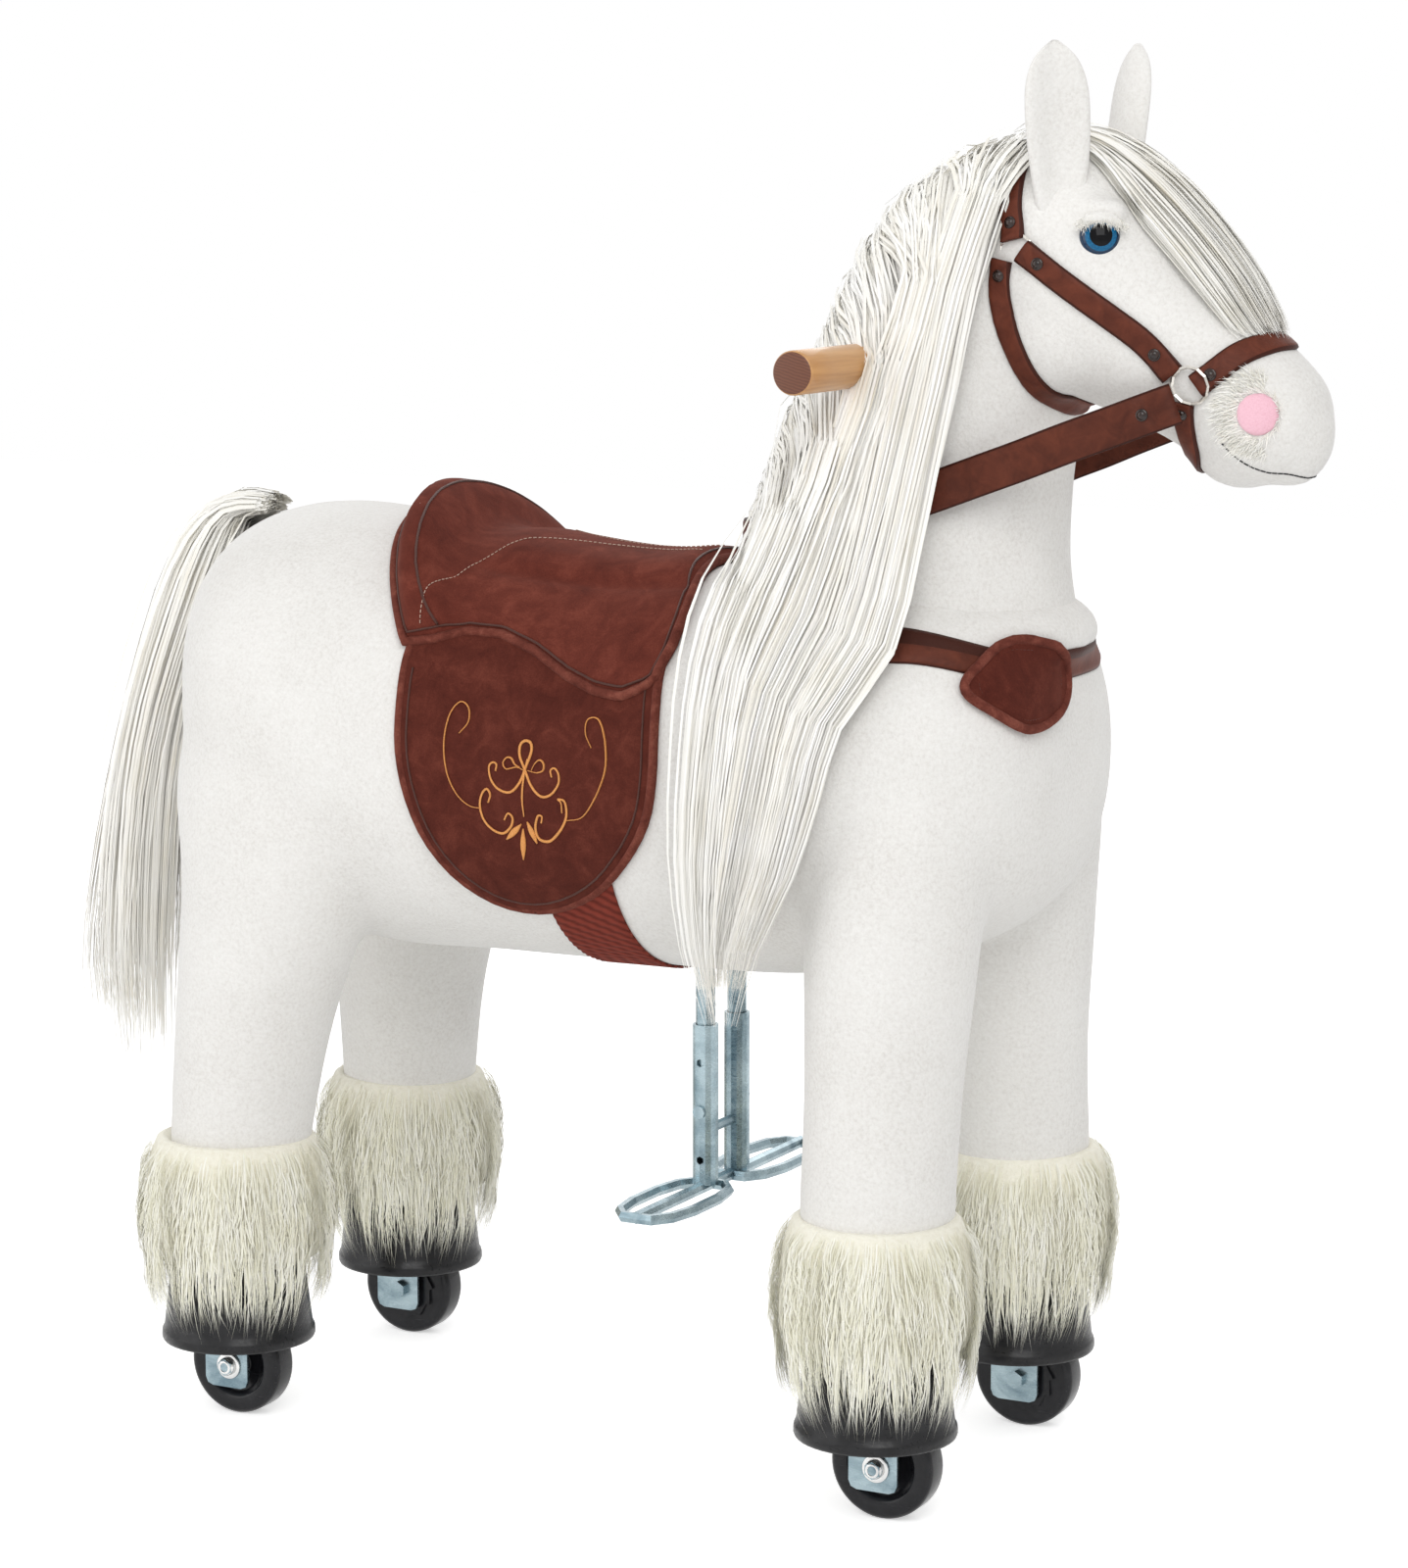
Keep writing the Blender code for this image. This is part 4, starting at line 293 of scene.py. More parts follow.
def joined(partsList):
    points, faces = [], []
    for morePoints, moreFaces in partsList:
        base = len(points)
        points += list(morePoints)
        faces += [tuple(i + base for i in face) for face in moreFaces]
    return points, faces


def addParts(name, *partsList):
    # One mesh of closed forms, its faces outward.
    return fixNormals(addMesh(name, *joined(partsList)))


def settle(piece):
    # Bakes the modifiers into the mesh.
    bpy.context.view_layer.update()
    graph = bpy.context.evaluated_depsgraph_get()
    mesh = bpy.data.meshes.new_from_object(piece.evaluated_get(graph), depsgraph=graph)
    piece.modifiers.clear()
    piece.data = mesh
    return piece


def unionSkin(name, partsList, voxel, passes):
    # One smooth skin round overlapping closed forms.
    piece = addParts(name, *partsList)
    remesh = piece.modifiers.new("remesh", "REMESH")
    remesh.mode = "VOXEL"
    remesh.voxel_size = voxel
    remesh.use_smooth_shade = True
    ease = piece.modifiers.new("ease", "SMOOTH")
    ease.factor = 0.5
    ease.iterations = passes
    return settle(piece)


def fixNormals(piece):
    bm = bmesh.new()
    bm.from_mesh(piece.data)
    bmesh.ops.recalc_face_normals(bm, faces=bm.faces)
    bm.to_mesh(piece.data)
    bm.free()
    return piece


def treeOf(piece):
    mesh = piece.data
    return BVHTree.FromPolygons([v.co.copy() for v in mesh.vertices], [tuple(p.vertices) for p in mesh.polygons])


def gridRim(grid):
    rows, columns = len(grid), len(grid[0])
    rim = [grid[0][c] for c in range(columns)] + [grid[r][-1] for r in range(1, rows)]
    rim += [grid[-1][c] for c in range(columns - 2, -1, -1)] + [grid[r][0] for r in range(rows - 2, 0, -1)]
    return rim


def walked(grid, axis):
    # Distances along the rows or columns of a grid of points, each from 0.
    steps = np.linalg.norm(np.diff(grid, axis=axis), axis=2)
    start = np.zeros_like(np.take(grid[..., 0], [0], axis=axis))
    return np.concatenate([start, np.cumsum(steps, axis=axis)], axis=axis)


def padGrids(rows, columns, place):
    # An outer and an inner grid, where place gives both points of a row and column.
    pairs = [[place(r, c) for c in range(columns)] for r in range(rows)]
    return [[[pair[side] for pair in row] for row in pairs] for side in (0, 1)]


def roundOver(edge):
    # Rises from 0 at an edge to 1, as a quarter circle does.
    return math.sqrt(1 - (1 - min(max(edge, 0.0), 1.0)) ** 2)


def gridShell(name, outer, inner):
    # A closed pad between two grids of points, with a UV map in metres.
    rows, columns = len(outer), len(outer[0])
    points = [p for row in outer for p in row] + [p for row in inner for p in row]
    half = rows * columns
    faces = gridFaces(rows, columns)
    faces += [tuple(reversed([i + half for i in face])) for face in gridFaces(rows, columns)]
    ids = gridRim([[r * columns + c for c in range(columns)] for r in range(rows)])
    for a, b in zip(ids, ids[1:] + ids[:1]):
        faces.append((b, a, a + half, b + half))
    piece = addMesh(name, points, faces)
    grid = np.array([[tuple(p) for p in row] for row in outer], float)
    alongU, alongV = walked(grid, 1), walked(grid, 0)
    layer = piece.data.uv_layers.new(name="UVMap")
    for loop in piece.data.loops:
        r, c = divmod(loop.vertex_index % half, columns)
        layer.data[loop.index].uv = (alongU[r][c], alongV[r][c])
    return fixNormals(piece)


def pathFrames(path, closed):
    # Directions across and up for each point of a path.
    points = [Vector(p) for p in path]
    count = len(points)
    made = []
    up = Vector((0.13, 0.31, 0.94)).normalized()
    for k in range(count):
        before = points[k - 1] if (k or closed) else points[k]
        after = points[(k + 1) % count] if (k < count - 1 or closed) else points[k]
        along = (after - before).normalized()
        across = along.cross(up)
        if across.length < 1e-5:
            across = along.cross(Vector((1, 0, 0)))
        across.normalize()
        up = across.cross(along).normalized()
        made.append((points[k], across, up))
    return made


def tubeParts(path, radius, sides, closed=False, taper=None, flat=1.0):
    rings = []
    made = pathFrames(path, closed)
    turns = [2 * math.pi * i / sides for i in range(sides)]
    for k, (point, across, up) in enumerate(made):
        size = radius if taper is None else radius * taper(k / (len(made) - 1))
        rings.append([point + (across * math.cos(turn) + up * (flat * math.sin(turn))) * size for turn in turns])
    if closed:
        return [p for ring in rings for p in ring], gridFaces(len(rings), sides, True, True)
    return loftParts(rings)


def addTube(name, path, radius, sides, closed=False, taper=None):
    return addParts(name, tubeParts(path, radius, sides, closed, taper))


def turnedParts(profile, centre, axis, sides, closedProfile=False):
    # A profile of (radius, height) turned round an axis through centre.
    axis = Vector(axis).normalized()
    side = axis.orthogonal().normalized()
    other = axis.cross(side)
    points = []
    for radius, height in profile:
        for k in range(sides):
            angle = 2 * math.pi * k / sides
            out = side * math.cos(angle) + other * math.sin(angle)
            points.append(Vector(centre) + axis * height + out * radius)
    faces = gridFaces(len(profile), sides, True, closedProfile)
    if not closedProfile:
        faces.append(tuple(reversed(range(sides))))
        faces.append(tuple((len(profile) - 1) * sides + k for k in range(sides)))
    return points, faces


# Plush skin of trunk and legs

plush = {
    "voxel": 0.0055, "passes": 14, "swell": 0.0015, "bendLength": 0.09,
    "frontSplit": ((0.150, 0.0, 0.345), (0.540, 0.0, -0.842)),
    "rearSplit": ((-0.185, 0.0, 0.345), (-0.660, 0.0, -0.751)),
    # swellings over the leg joints (centre, radii) and the low mound under the neck
    "joints": [((-0.245, 0.070, 0.510), (0.095, 0.078, 0.125)), ((0.225, 0.072, 0.500), (0.078, 0.074, 0.100))],
    "withers": ((0.205, 0, 0.590), (0.128, 0.112, 0.040)),
}

trunkRows = [
    # x, middle z, half height, half width
    (-0.346, 0.532, 0.040, 0.045),
    (-0.335, 0.530, 0.092, 0.094),
    (-0.285, 0.517, 0.134, 0.140),
    (-0.205, 0.497, 0.155, 0.151),
    (-0.100, 0.485, 0.144, 0.146),
    (0.020, 0.480, 0.138, 0.143),
    (0.120, 0.490, 0.146, 0.149),
    (0.205, 0.500, 0.143, 0.151),
    (0.270, 0.506, 0.124, 0.134),
    (0.308, 0.503, 0.090, 0.098),
    (0.322, 0.500, 0.045, 0.050),
]
rearLegRows = [
    # z, middle x, middle y, half length, half width
    (0.560, -0.235, 0.070, 0.080, 0.055),
    (0.470, -0.240, 0.090, 0.094, 0.058),
    (0.390, -0.250, 0.100, 0.074, 0.058),
    (0.290, -0.268, 0.108, 0.057, 0.054),
    (0.205, -0.276, 0.116, 0.050, 0.049),
    (0.150, -0.279, 0.119, 0.048, 0.048),
]
frontLegRows = [
    # as the rear legs'
    (0.560, 0.225, 0.070, 0.060, 0.050),
    (0.480, 0.236, 0.090, 0.064, 0.056),
    (0.385, 0.235, 0.100, 0.058, 0.057),
    (0.285, 0.233, 0.108, 0.052, 0.052),
    (0.205, 0.233, 0.116, 0.051, 0.051),
    (0.150, 0.234, 0.119, 0.049, 0.049),
]


def legRings(rows, side):
    rings = []
    for z, x, y, longHalf, wideHalf in curveThrough(rows, 5):
        halves = (longHalf + plush["swell"], wideHalf + plush["swell"])
        rings.append(ovalRing((x, side * y, z), (1, 0, 0), (0, side, 0), *halves, 28))
    return rings


def trunkSkin():
    rings = []
    for x, z, high, wide in curveThrough(trunkRows, 5):
        halves = (wide + plush["swell"], high + plush["swell"])
        rings.append(ovalRing((x, 0, z), (0, 1, 0), (0, 0, 1), *halves, 40, 0.94))
    partsList = [loftParts(rings)]
    for side in (1, -1):
        partsList.append(loftParts(legRings(rearLegRows, side)))
        partsList.append(loftParts(legRings(frontLegRows, side)))
        for (x, y, z), radii in plush["joints"]:
            partsList.append(ballParts((x, side * y, z), radii))
    partsList.append(ballParts(*plush["withers"]))
    return unionSkin("trunkSkin", partsList, plush["voxel"], plush["passes"])


def sliced(source, name, keep):
    # The part of a skin on the kept side of each plane, shaded as the whole is.
    piece = addObject(name, source.data.copy())
    bm = bmesh.new()
    bm.from_mesh(piece.data)
    for place, normal, outer in keep:
        bmesh.ops.bisect_plane(bm, geom=bm.verts[:] + bm.edges[:] + bm.faces[:], plane_co=place, plane_no=normal,
                               clear_outer=outer, clear_inner=not outer)
    bm.to_mesh(piece.data)
    bm.free()
    tree = treeOf(source)
    mesh = source.data
    normals = []
    for vertex in piece.data.vertices:
        near, _, index, _ = tree.find_nearest(vertex.co)
        corners = mesh.polygons[index].vertices
        shares = poly_3d_calc([mesh.vertices[i].co for i in corners], near)
        normals.append(sum((mesh.vertices[i].normal * s for i, s in zip(corners, shares)), Vector()).normalized())
    piece.data.normals_split_custom_set_from_vertices(normals)
    return piece


# Neck and head skin

neckRows = [
    # x, z, lean in degrees, half depth, half width
    (0.197, 0.600, 90, 0.119, 0.100),
    (0.199, 0.630, 87, 0.113, 0.094),
    (0.208, 0.670, 80, 0.104, 0.087),
    (0.224, 0.730, 74, 0.094, 0.079),
    (0.246, 0.790, 66, 0.086, 0.073),
    (0.268, 0.835, 62, 0.078, 0.068),
    (0.282, 0.860, 60, 0.066, 0.060),
]
headRows = [
    # as the neck's, from the poll to the muzzle
    (0.262, 0.876, -36, 0.040, 0.042),
    (0.276, 0.866, -36, 0.064, 0.057),
    (0.305, 0.846, -36, 0.077, 0.068),
    (0.342, 0.818, -37, 0.074, 0.067),
    (0.382, 0.789, -38, 0.060, 0.056),
    (0.418, 0.763, -37, 0.049, 0.046),
    (0.447, 0.743, -36, 0.046, 0.045),
    (0.468, 0.728, -36, 0.040, 0.042),
    (0.482, 0.718, -36, 0.026, 0.030),
]


headPads = {
    # cheeks, brows and lips as (centre, radii)
    "voxel": 0.0045, "passes": 7,
    "paired": [((0.318, 0.030, 0.802), (0.052, 0.036, 0.052)), ((0.352, 0.050, 0.872), (0.024, 0.012, 0.010)),
               ((0.455, 0.014, 0.737), (0.040, 0.034, 0.040))],
    "middle": [((0.470, 0, 0.730), (0.030, 0.034, 0.036)), ((0.440, 0, 0.718), (0.034, 0.034, 0.026))],
}


def leaningRings(rows):
    rings = []
    for x, z, lean, deep, wide in curveThrough(rows, 5):
        angle = math.radians(lean)
        rise = Vector((-math.sin(angle), 0, math.cos(angle)))
        rings.append(ovalRing((x, 0, z), (0, 1, 0), rise, wide + 0.001, deep + 0.001, 30))
    return rings


def headSkinForm():
    partsList = [loftParts(leaningRings(neckRows)), loftParts(leaningRings(headRows))]
    for side in (1, -1):
        for (x, y, z), radii in headPads["paired"]:
            partsList.append(ballParts((x, side * y, z), radii))
    for centre, radii in headPads["middle"]:
        partsList.append(ballParts(centre, radii))
    return unionSkin("headPlush", partsList, headPads["voxel"], headPads["passes"])


skin = trunkSkin()
skinTree = treeOf(skin)
frontStart, frontWay = (Vector(row) for row in plush["frontSplit"])
rearStart, rearWay = (Vector(row) for row in plush["rearSplit"])
trunk = sliced(skin, "trunkPlush", [(frontStart, frontWay, True), (rearStart, rearWay, True)])
frontQuarters = sliced(skin, "frontLegsPlush", [(frontStart, frontWay, False)])
rearQuarters = sliced(skin, "rearLegsPlush", [(rearStart, rearWay, False)])
bpy.data.objects.remove(skin, do_unlink=True)
head = headSkinForm()
headTree = treeOf(head)
print("plush skins made", len(trunk.data.polygons), len(frontQuarters.data.polygons), len(head.data.polygons))


# Strands: every lock is a bundle of thin tapered ribbons

class Strands:
    def __init__(self, formNormal=None):
        # With a form given, ribbons lie along it and take their shading from it.
        self.formNormal = formNormal
        self.points, self.faces, self.along, self.tone, self.forms = [], [], [], [], []

    def add(self, path, width, tone, turn=0.0):
        # A ribbon along a path, narrowing to its tip; tone is its own shade from 0 to 1.
        base = len(self.points)
        count = len(path)
        for k, point in enumerate(path):
            before, after = path[max(k - 1, 0)], path[min(k + 1, count - 1)]
            along = (after - before).normalized()
            if self.formNormal is None:
                across = along.cross(Vector((math.cos(turn), math.sin(turn), 0.35))).normalized()
            else:
                form = self.formNormal(point)
                across = (along.cross(form).normalized() + form * 0.45 * math.sin(turn * 9)).normalized()
                self.forms += [form, form]
            share = k / (count - 1)
            size = width * (1 - share ** 2.2) * 0.5 + width * 0.04
            self.points += [point - across * size, point + across * size]
            self.along += [share, share]
            self.tone += [tone, tone]
        for k in range(count - 1):
            a = base + 2 * k
            self.faces.append((a, a + 1, a + 3, a + 2))

    def build(self, name):
        faces = self.faces
        if self.forms:
            faces = []
            for face in self.faces:
                a, b, c = (self.points[k] for k in face[:3])
                faces.append(face if (b - a).cross(c - b).dot(self.forms[face[0]]) > 0 else face[::-1])
        piece = addMesh(name, self.points, faces)
        if self.forms:
            pairs = zip(self.forms, piece.data.vertices)
            normals = [(form * 0.75 + vertex.normal * 0.25).normalized() for form, vertex in pairs]
            piece.data.normals_split_custom_set_from_vertices(normals)
        for label, values in (("along", self.along), ("tone", self.tone)):
            layer = piece.data.attributes.new(label, "FLOAT", "POINT")
            layer.data.foreach_set("value", values)
        return piece


def pathOf(rows, steps):
    return [Vector(row) for row in curveThrough(rows, steps)]


# Fetlock fur and boots

fetlock = {
    "top": 0.207, "rootLow": 0.119, "hem": 0.119, "length": 0.043, "width": 0.00072,
    "strands": 4300, "whiskers": 420, "clumps": 160,
    "profile": [(0.0, 0.2005), (0.046, 0.2015), (0.0515, 0.2070), (0.0570, 0.2045), (0.0620, 0.192), (0.0652, 0.170),
                (0.0660, 0.150), (0.0652, 0.134), (0.0620, 0.122), (0.0560, 0.117), (0.0, 0.119)],
    "boot": [(0.0475, 0.130), (0.0488, 0.110), (0.0508, 0.090), (0.0530, 0.072), (0.0539, 0.0645), (0.0549, 0.0636),
             (0.0555, 0.0616), (0.0556, 0.0578), (0.0548, 0.0560), (0.0530, 0.0556), (0.0508, 0.0580),
             (0.0470, 0.085), (0.0440, 0.118), (0.012, 0.122), (0.0114, 0.131)],
}
legPlaces = {
    "front_left": (0.234, 0.119), "front_right": (0.234, -0.119),
    "rear_left": (-0.279, 0.119), "rear_right": (-0.279, -0.119),
}


def profileRadius(z):
    rows = fetlock["profile"][2:9]
    for (r1, z1), (r2, z2) in zip(rows, rows[1:]):
        if z >= z2:
            return r2 + (r1 - r2) * min(max((z - z2) / (z1 - z2), 0), 1)
    return rows[-1][0]


def addFetlock(place, seed):
    # Dense fur from the seam down over the boot, longest and thinnest at its lower edge.
    x, y = legPlaces[place]
    rng = random.Random(seed)
    base = addParts("furBase_" + place, turnedParts(fetlock["profile"], (x, y, 0), (0, 0, 1), 40))
    fur = Strands(lambda p: Vector((p.x - x, p.y - y, 0.008)).normalized())
    clumps = fetlock["clumps"]
    lean = [(rng.uniform(-1, 1), rng.uniform(-1, 1)) for _ in range(clumps)]
    for index in range(fetlock["strands"] + fetlock["whiskers"]):
        clump = rng.randrange(clumps)
        whisker = index >= fetlock["strands"]
        angle = 2 * math.pi * (clump + rng.gauss(0.5, 0.55)) / clumps
        share = 1 - 0.16 * rng.random() if whisker else rng.random() ** 0.8
        z = fetlock["top"] - 0.0015 - share * (fetlock["top"] - 0.0015 - fetlock["rootLow"])
        lowZone = max(share - 0.62, 0) / 0.38
        reach = 1.30 + rng.uniform(-0.12, 0.14) if whisker else 0.62 + 0.42 * lowZone + rng.uniform(-0.12, 0.16)
        length = fetlock["length"] * reach
        swing = 0.10 * lean[clump][0] + rng.gauss(0, 0.05)
        lift = 0.0035 + 0.0035 * rng.random() + 0.002 * lean[clump][1]
        path = []
        for k in range(5):
            t = k / 4
            low = z - length * t * (1 - 0.06 * t)
            bow = lift * math.sin(math.pi * min(t * 0.85 + 0.1, 1))
            hang = max(fetlock["hem"] + 0.003 - low, 0)
            radius = profileRadius(low + hang) - hang * (0.13 - 0.09 * lean[clump][1])
            a = angle + swing * t * t
            path.append(Vector((x + (radius + bow) * math.cos(a), y + (radius + bow) * math.sin(a), low)))
        width = fetlock["width"] * (0.55 if whisker else 0.8 + 0.6 * rng.random())
        fur.add(path, width, rng.random(), angle + math.pi / 2)
    return base, fur.build("furStrands_" + place)


def addBoot(place):
    x, y = legPlaces[place]
    return addParts("boot_" + place, turnedParts(fetlock["boot"], (x, y, 0), (0, 0, 1), 48, True))


furBases, furStrands, boots = [], [], []
for number, place in enumerate(legPlaces):
    legBody = place.split("_")[0] + "_legs"
    base, strands = addFetlock(place, 40 + number)
    boot = addBoot(place)
    furBases.append(base)
    furStrands.append(strands)
    boots.append(boot)
    for piece in (base, strands, boot):
        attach(piece, legBody)
    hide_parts("cuff_" + place)
    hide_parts("hoof_" + place)
print("fetlocks and boots made")


# Mane, forelock and tail

def smoothStep(low, high, x):
    t = min(max((x - low) / (high - low), 0.0), 1.0)
    return t * t * (3 - 2 * t)


mane = {
    "locks": 64, "perLock": 26, "width": 0.0018, "seed": 11,
    "spread": (0.0075, 0.0028, 0.004), "uneven": 0.03, "turn": (-0.4, 0.4),
}
maneEdges = {
    # back edge and front edge of the fall, from the crest down
    "back": [(0.285, -0.030, 0.916), (0.246, -0.058, 0.892), (0.213, -0.088, 0.838), (0.187, -0.104, 0.780),
             (0.170, -0.116, 0.725), (0.156, -0.130, 0.680), (0.142, -0.152, 0.630), (0.134, -0.170, 0.580),
             (0.126, -0.174, 0.520), (0.120, -0.174, 0.450), (0.124, -0.172, 0.388), (0.132, -0.160, 0.335)],
    "front": [(0.300, -0.030, 0.914), (0.281, -0.064, 0.880), (0.270, -0.078, 0.820), (0.263, -0.088, 0.760),
              (0.255, -0.096, 0.705), (0.249, -0.108, 0.650), (0.245, -0.134, 0.590), (0.218, -0.156, 0.540),
              (0.205, -0.162, 0.490), (0.190, -0.166, 0.440), (0.166, -0.168, 0.388), (0.146, -0.158, 0.335)],
}
crestRoots = [(0.300, 0.917), (0.262, 0.906), (0.228, 0.880), (0.196, 0.835), (0.166, 0.780), (0.140, 0.720),
              (0.118, 0.665)]


def crestPoint(share):
    rows = curveThrough(crestRoots, 6)
    place = share * (len(rows) - 1)
    k = min(int(place), len(rows) - 2)
    return rows[k] + (rows[k + 1] - rows[k]) * (place - k)


def maneGuide(share, depth):
    # A lock's path: share runs from the front edge to the back, depth from the neck outward.
    front, back = maneEdges["front"], maneEdges["back"]
    path = [Vector(f).lerp(Vector(b), share) for f, b in zip(front, back)]
    rootX, rootZ = crestPoint(share)
    drop = [p for p in path if p.z < rootZ - 0.022]
    rows = [Vector((rootX, -0.012, rootZ)), Vector((rootX - 0.002, -0.040, rootZ - 0.006))] + drop
    rows = [Vector((p.x, p.y - depth * min(k / 3, 1), p.z)) for k, p in enumerate(rows)]
    return pathOf(rows, 2)


def clearOf(tree, point, lift):
    near, normal, _, _ = tree.find_nearest(point)
    if near is not None and (point - near).dot(normal) < lift:
        return near + normal * lift
    return point


def skinAt(p):
    # The head's skin above the withers, the trunk's below.
    return headTree if p.z > 0.62 else skinTree


def growLock(hair, rng, settings, guide, endAt, lockTone, placed):
    # The strands of one lock: placed moves a point of the guide, by its share of the way and its spread.
    for _ in range(settings["perLock"]):
        spread = Vector([rng.gauss(0, size) for size in settings["spread"]])
        stop = max(int(len(guide) * min(endAt + rng.gauss(0, settings["uneven"]), 1.0)), 8)
        path = [placed(point, k, k / (stop - 1), spread) for k, point in enumerate(guide[:stop])]
        width = settings["width"] * rng.uniform(0.7, 1.25)
        hair.add(path, width, 0.55 * lockTone + 0.45 * rng.random(), rng.uniform(*settings["turn"]))


def maneNormal(p):
    # Strands on the crest face upward, those on the side face outward.
    side = smoothStep(0.015, 0.055, -p.y)
    outward = skinAt(p).find_nearest(p)[1]
    return (outward + Vector((-0.5 * (1 - side), -0.6 * side, 0.15 + 0.6 * (1 - side)))).normalized()


def addMane():
    rng = random.Random(mane["seed"])
    hair = Strands(maneNormal)
    for lock in range(mane["locks"]):
        share = (lock + rng.uniform(0.1, 0.9)) / mane["locks"]
        guide = maneGuide(share, rng.uniform(-0.004, 0.010))
        endAt = rng.uniform(0.86, 1.0)
        if rng.random() < 0.25:
            endAt = rng.uniform(0.66, 0.86)
        wave = rng.uniform(-0.006, 0.006)

        def placed(point, k, t, spread):
            gather = 1 - 0.62 * t ** 1.5
            p = point + Vector((spread.x * gather, spread.y * gather, spread.z * (1 - t)))
            p.x += wave * math.sin(t * 5 + lock) * t
            return clearOf(skinAt(p), p, 0.0030 + 0.003 * abs(spread.y) / 0.003)

        growLock(hair, rng, mane, guide, endAt, rng.random(), placed)
    return hair.build("maneHair")


maneHair = addMane()
# Its lower half lies on the shoulder and stays there when the head turns.
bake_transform(maneHair)
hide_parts("mane")
print("mane made", len(maneHair.data.polygons))

tail = {
    "locks": 60, "perLock": 26, "width": 0.0019, "seed": 23,
    "spread": (0.006, 0.006, 0.003), "uneven": 0.03, "turn": (0, 3.1),
}
tailEdges = {
    "outer": [(-0.318, 0.658), (-0.345, 0.657), (-0.374, 0.637), (-0.404, 0.586), (-0.433, 0.510), (-0.458, 0.434),
              (-0.478, 0.356), (-0.488, 0.290), (-0.480, 0.232)],
    "inner": [(-0.318, 0.646), (-0.336, 0.640), (-0.346, 0.612), (-0.362, 0.560), (-0.382, 0.500), (-0.394, 0.437),
              (-0.400, 0.362), (-0.405, 0.290), (-0.410, 0.190)],
}


def tableAt(table, x):
    xs = [row[0] for row in table]
    return float(np.interp(x, xs, [row[1] for row in table]))


def tailNormal(p):
    outerX, innerX = (tableAt(sorted((z, x) for x, z in tailEdges[edge]), p.z) for edge in ("outer", "inner"))
    rise = smoothStep(0.595, 0.645, p.z)
    return Vector(((p.x - 0.5 * (outerX + innerX)) * (1 - rise), 1.6 * p.y, 0.012 + 0.018 * rise)).normalized()


def addTail():
    rng = random.Random(tail["seed"])
    hair = Strands(tailNormal)
    outer, inner = tailEdges["outer"], tailEdges["inner"]
    for lock in range(tail["locks"]):
        share = (lock + rng.random()) / tail["locks"]
        sideways = rng.uniform(-1, 1)
        roundOff = math.sqrt(max(1 - (2 * share - 1) ** 2, 0.05))
        rows = []
        for k, ((ox, oz), (ix, iz)) in enumerate(zip(outer, inner)):
            t = k / (len(outer) - 1)
            wide = 0.018 + 0.026 * math.sin(math.pi * min(t * 0.9 + 0.05, 1))
            rows.append((ox + (ix - ox) * share, sideways * wide * roundOff, oz + (iz - oz) * share))
        endAt = rng.uniform(0.80, 1.0)
        lockTone = rng.random()
        wave = rng.uniform(-0.007, 0.007)

        def placed(point, k, t, spread):
            gather = (0.35 + 0.65 * min(t * 3, 1)) * (1 - 0.6 * max(t - 0.3, 0))
            p = point + spread * gather
            p.y += wave * math.sin(t * 5 + lock) * t
            return clearOf(skinTree, p, 0.003) if k > 1 else p

        growLock(hair, rng, tail, pathOf(rows, 2), endAt, lockTone, placed)
    return hair.build("tailHair")


tailHair = addTail()
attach(tailHair, "body")
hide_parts("tail")
print("tail made", len(tailHair.data.polygons))


# Saddle: a padded seat with its raised cantle and skirts, two flaps and the girth

saddle = {
    "axisZ": 0.478, "reach": 0.26, "fallback": 0.14, "rows": 44, "columns": 61,
    "frontTop": 0.060, "frontSide": 0.080, "backTop": -0.182, "pad": 0.0085, "seatCrown": 0.006,
    "cantleHeight": 0.024, "cantleBack": 0.010, "cantleLength": 0.056, "piping": 0.0036, "lag": 0.057, "rim": 0.012,
    "edgeLift": 0.0030, "under": 0.0008, "creaseAt": 27, "creaseWide": 2.2, "creaseDeep": 0.0030,
    "flapThickness": 0.0045, "flapEdge": 0.0016, "flapRim": 0.006, "flapUnder": 0.0006, "flapColumns": 25,
}
skirtEdge = [(-0.182, 50), (-0.126, 53.5), (-0.107, 52), (-0.081, 48.2), (-0.055, 48), (-0.026, 52), (0.005, 58.5),
             (0.0285, 62), (0.050, 63.2), (0.067, 60.5), (0.080, 56)]
flapEdge = [(45, -0.1205), (58, -0.1215), (69, -0.1200), (81.5, -0.1180), (94, -0.111), (107, -0.098),
            (118.5, -0.0765), (125.5, -0.048), (125.5, -0.014), (118, 0.0246), (107.5, 0.053), (96, 0.073),
            (84.5, 0.080), (72, 0.0795), (58, 0.0755), (50, 0.0740)]


def seenFrom(middle, way, reach, fallback, lift):
    # The point of the trunk's skin on this side of a middle, lifted off the skin.
    hit, normal, _, _ = skinTree.ray_cast(middle + way * reach, -way)
    if hit is None:
        hit, normal = middle + way * fallback, way
    return hit + normal * lift


def roundBody(x, degrees, lift):
    angle = math.radians(degrees)
    way = Vector((0, math.sin(angle), math.cos(angle)))
    return seenFrom(Vector((x, 0, saddle["axisZ"])), way, saddle["reach"], saddle["fallback"], lift)


def saddleBack(share):
    # Where the saddle's rear edge runs, by share of the way down.
    return saddle["backTop"] + saddle["lag"] * share ** 1.7


def cantleLift(behind, share):
    # Height of the cantle's roll, by distance from the back edge and by share of the way down.
    rise = smoothStep(-0.004, saddle["cantleBack"] + 0.010, behind)
    fall = 1 - smoothStep(saddle["cantleBack"] + 0.020, saddle["cantleLength"] - 0.012 * share, behind)
    return saddle["cantleHeight"] * rise * fall * (1 - share ** 3.0) ** 0.8


def cantleLean(x, back, share):
    return Vector((-0.45 * cantleLift(min(x - back, 1.0), share), 0, 0))


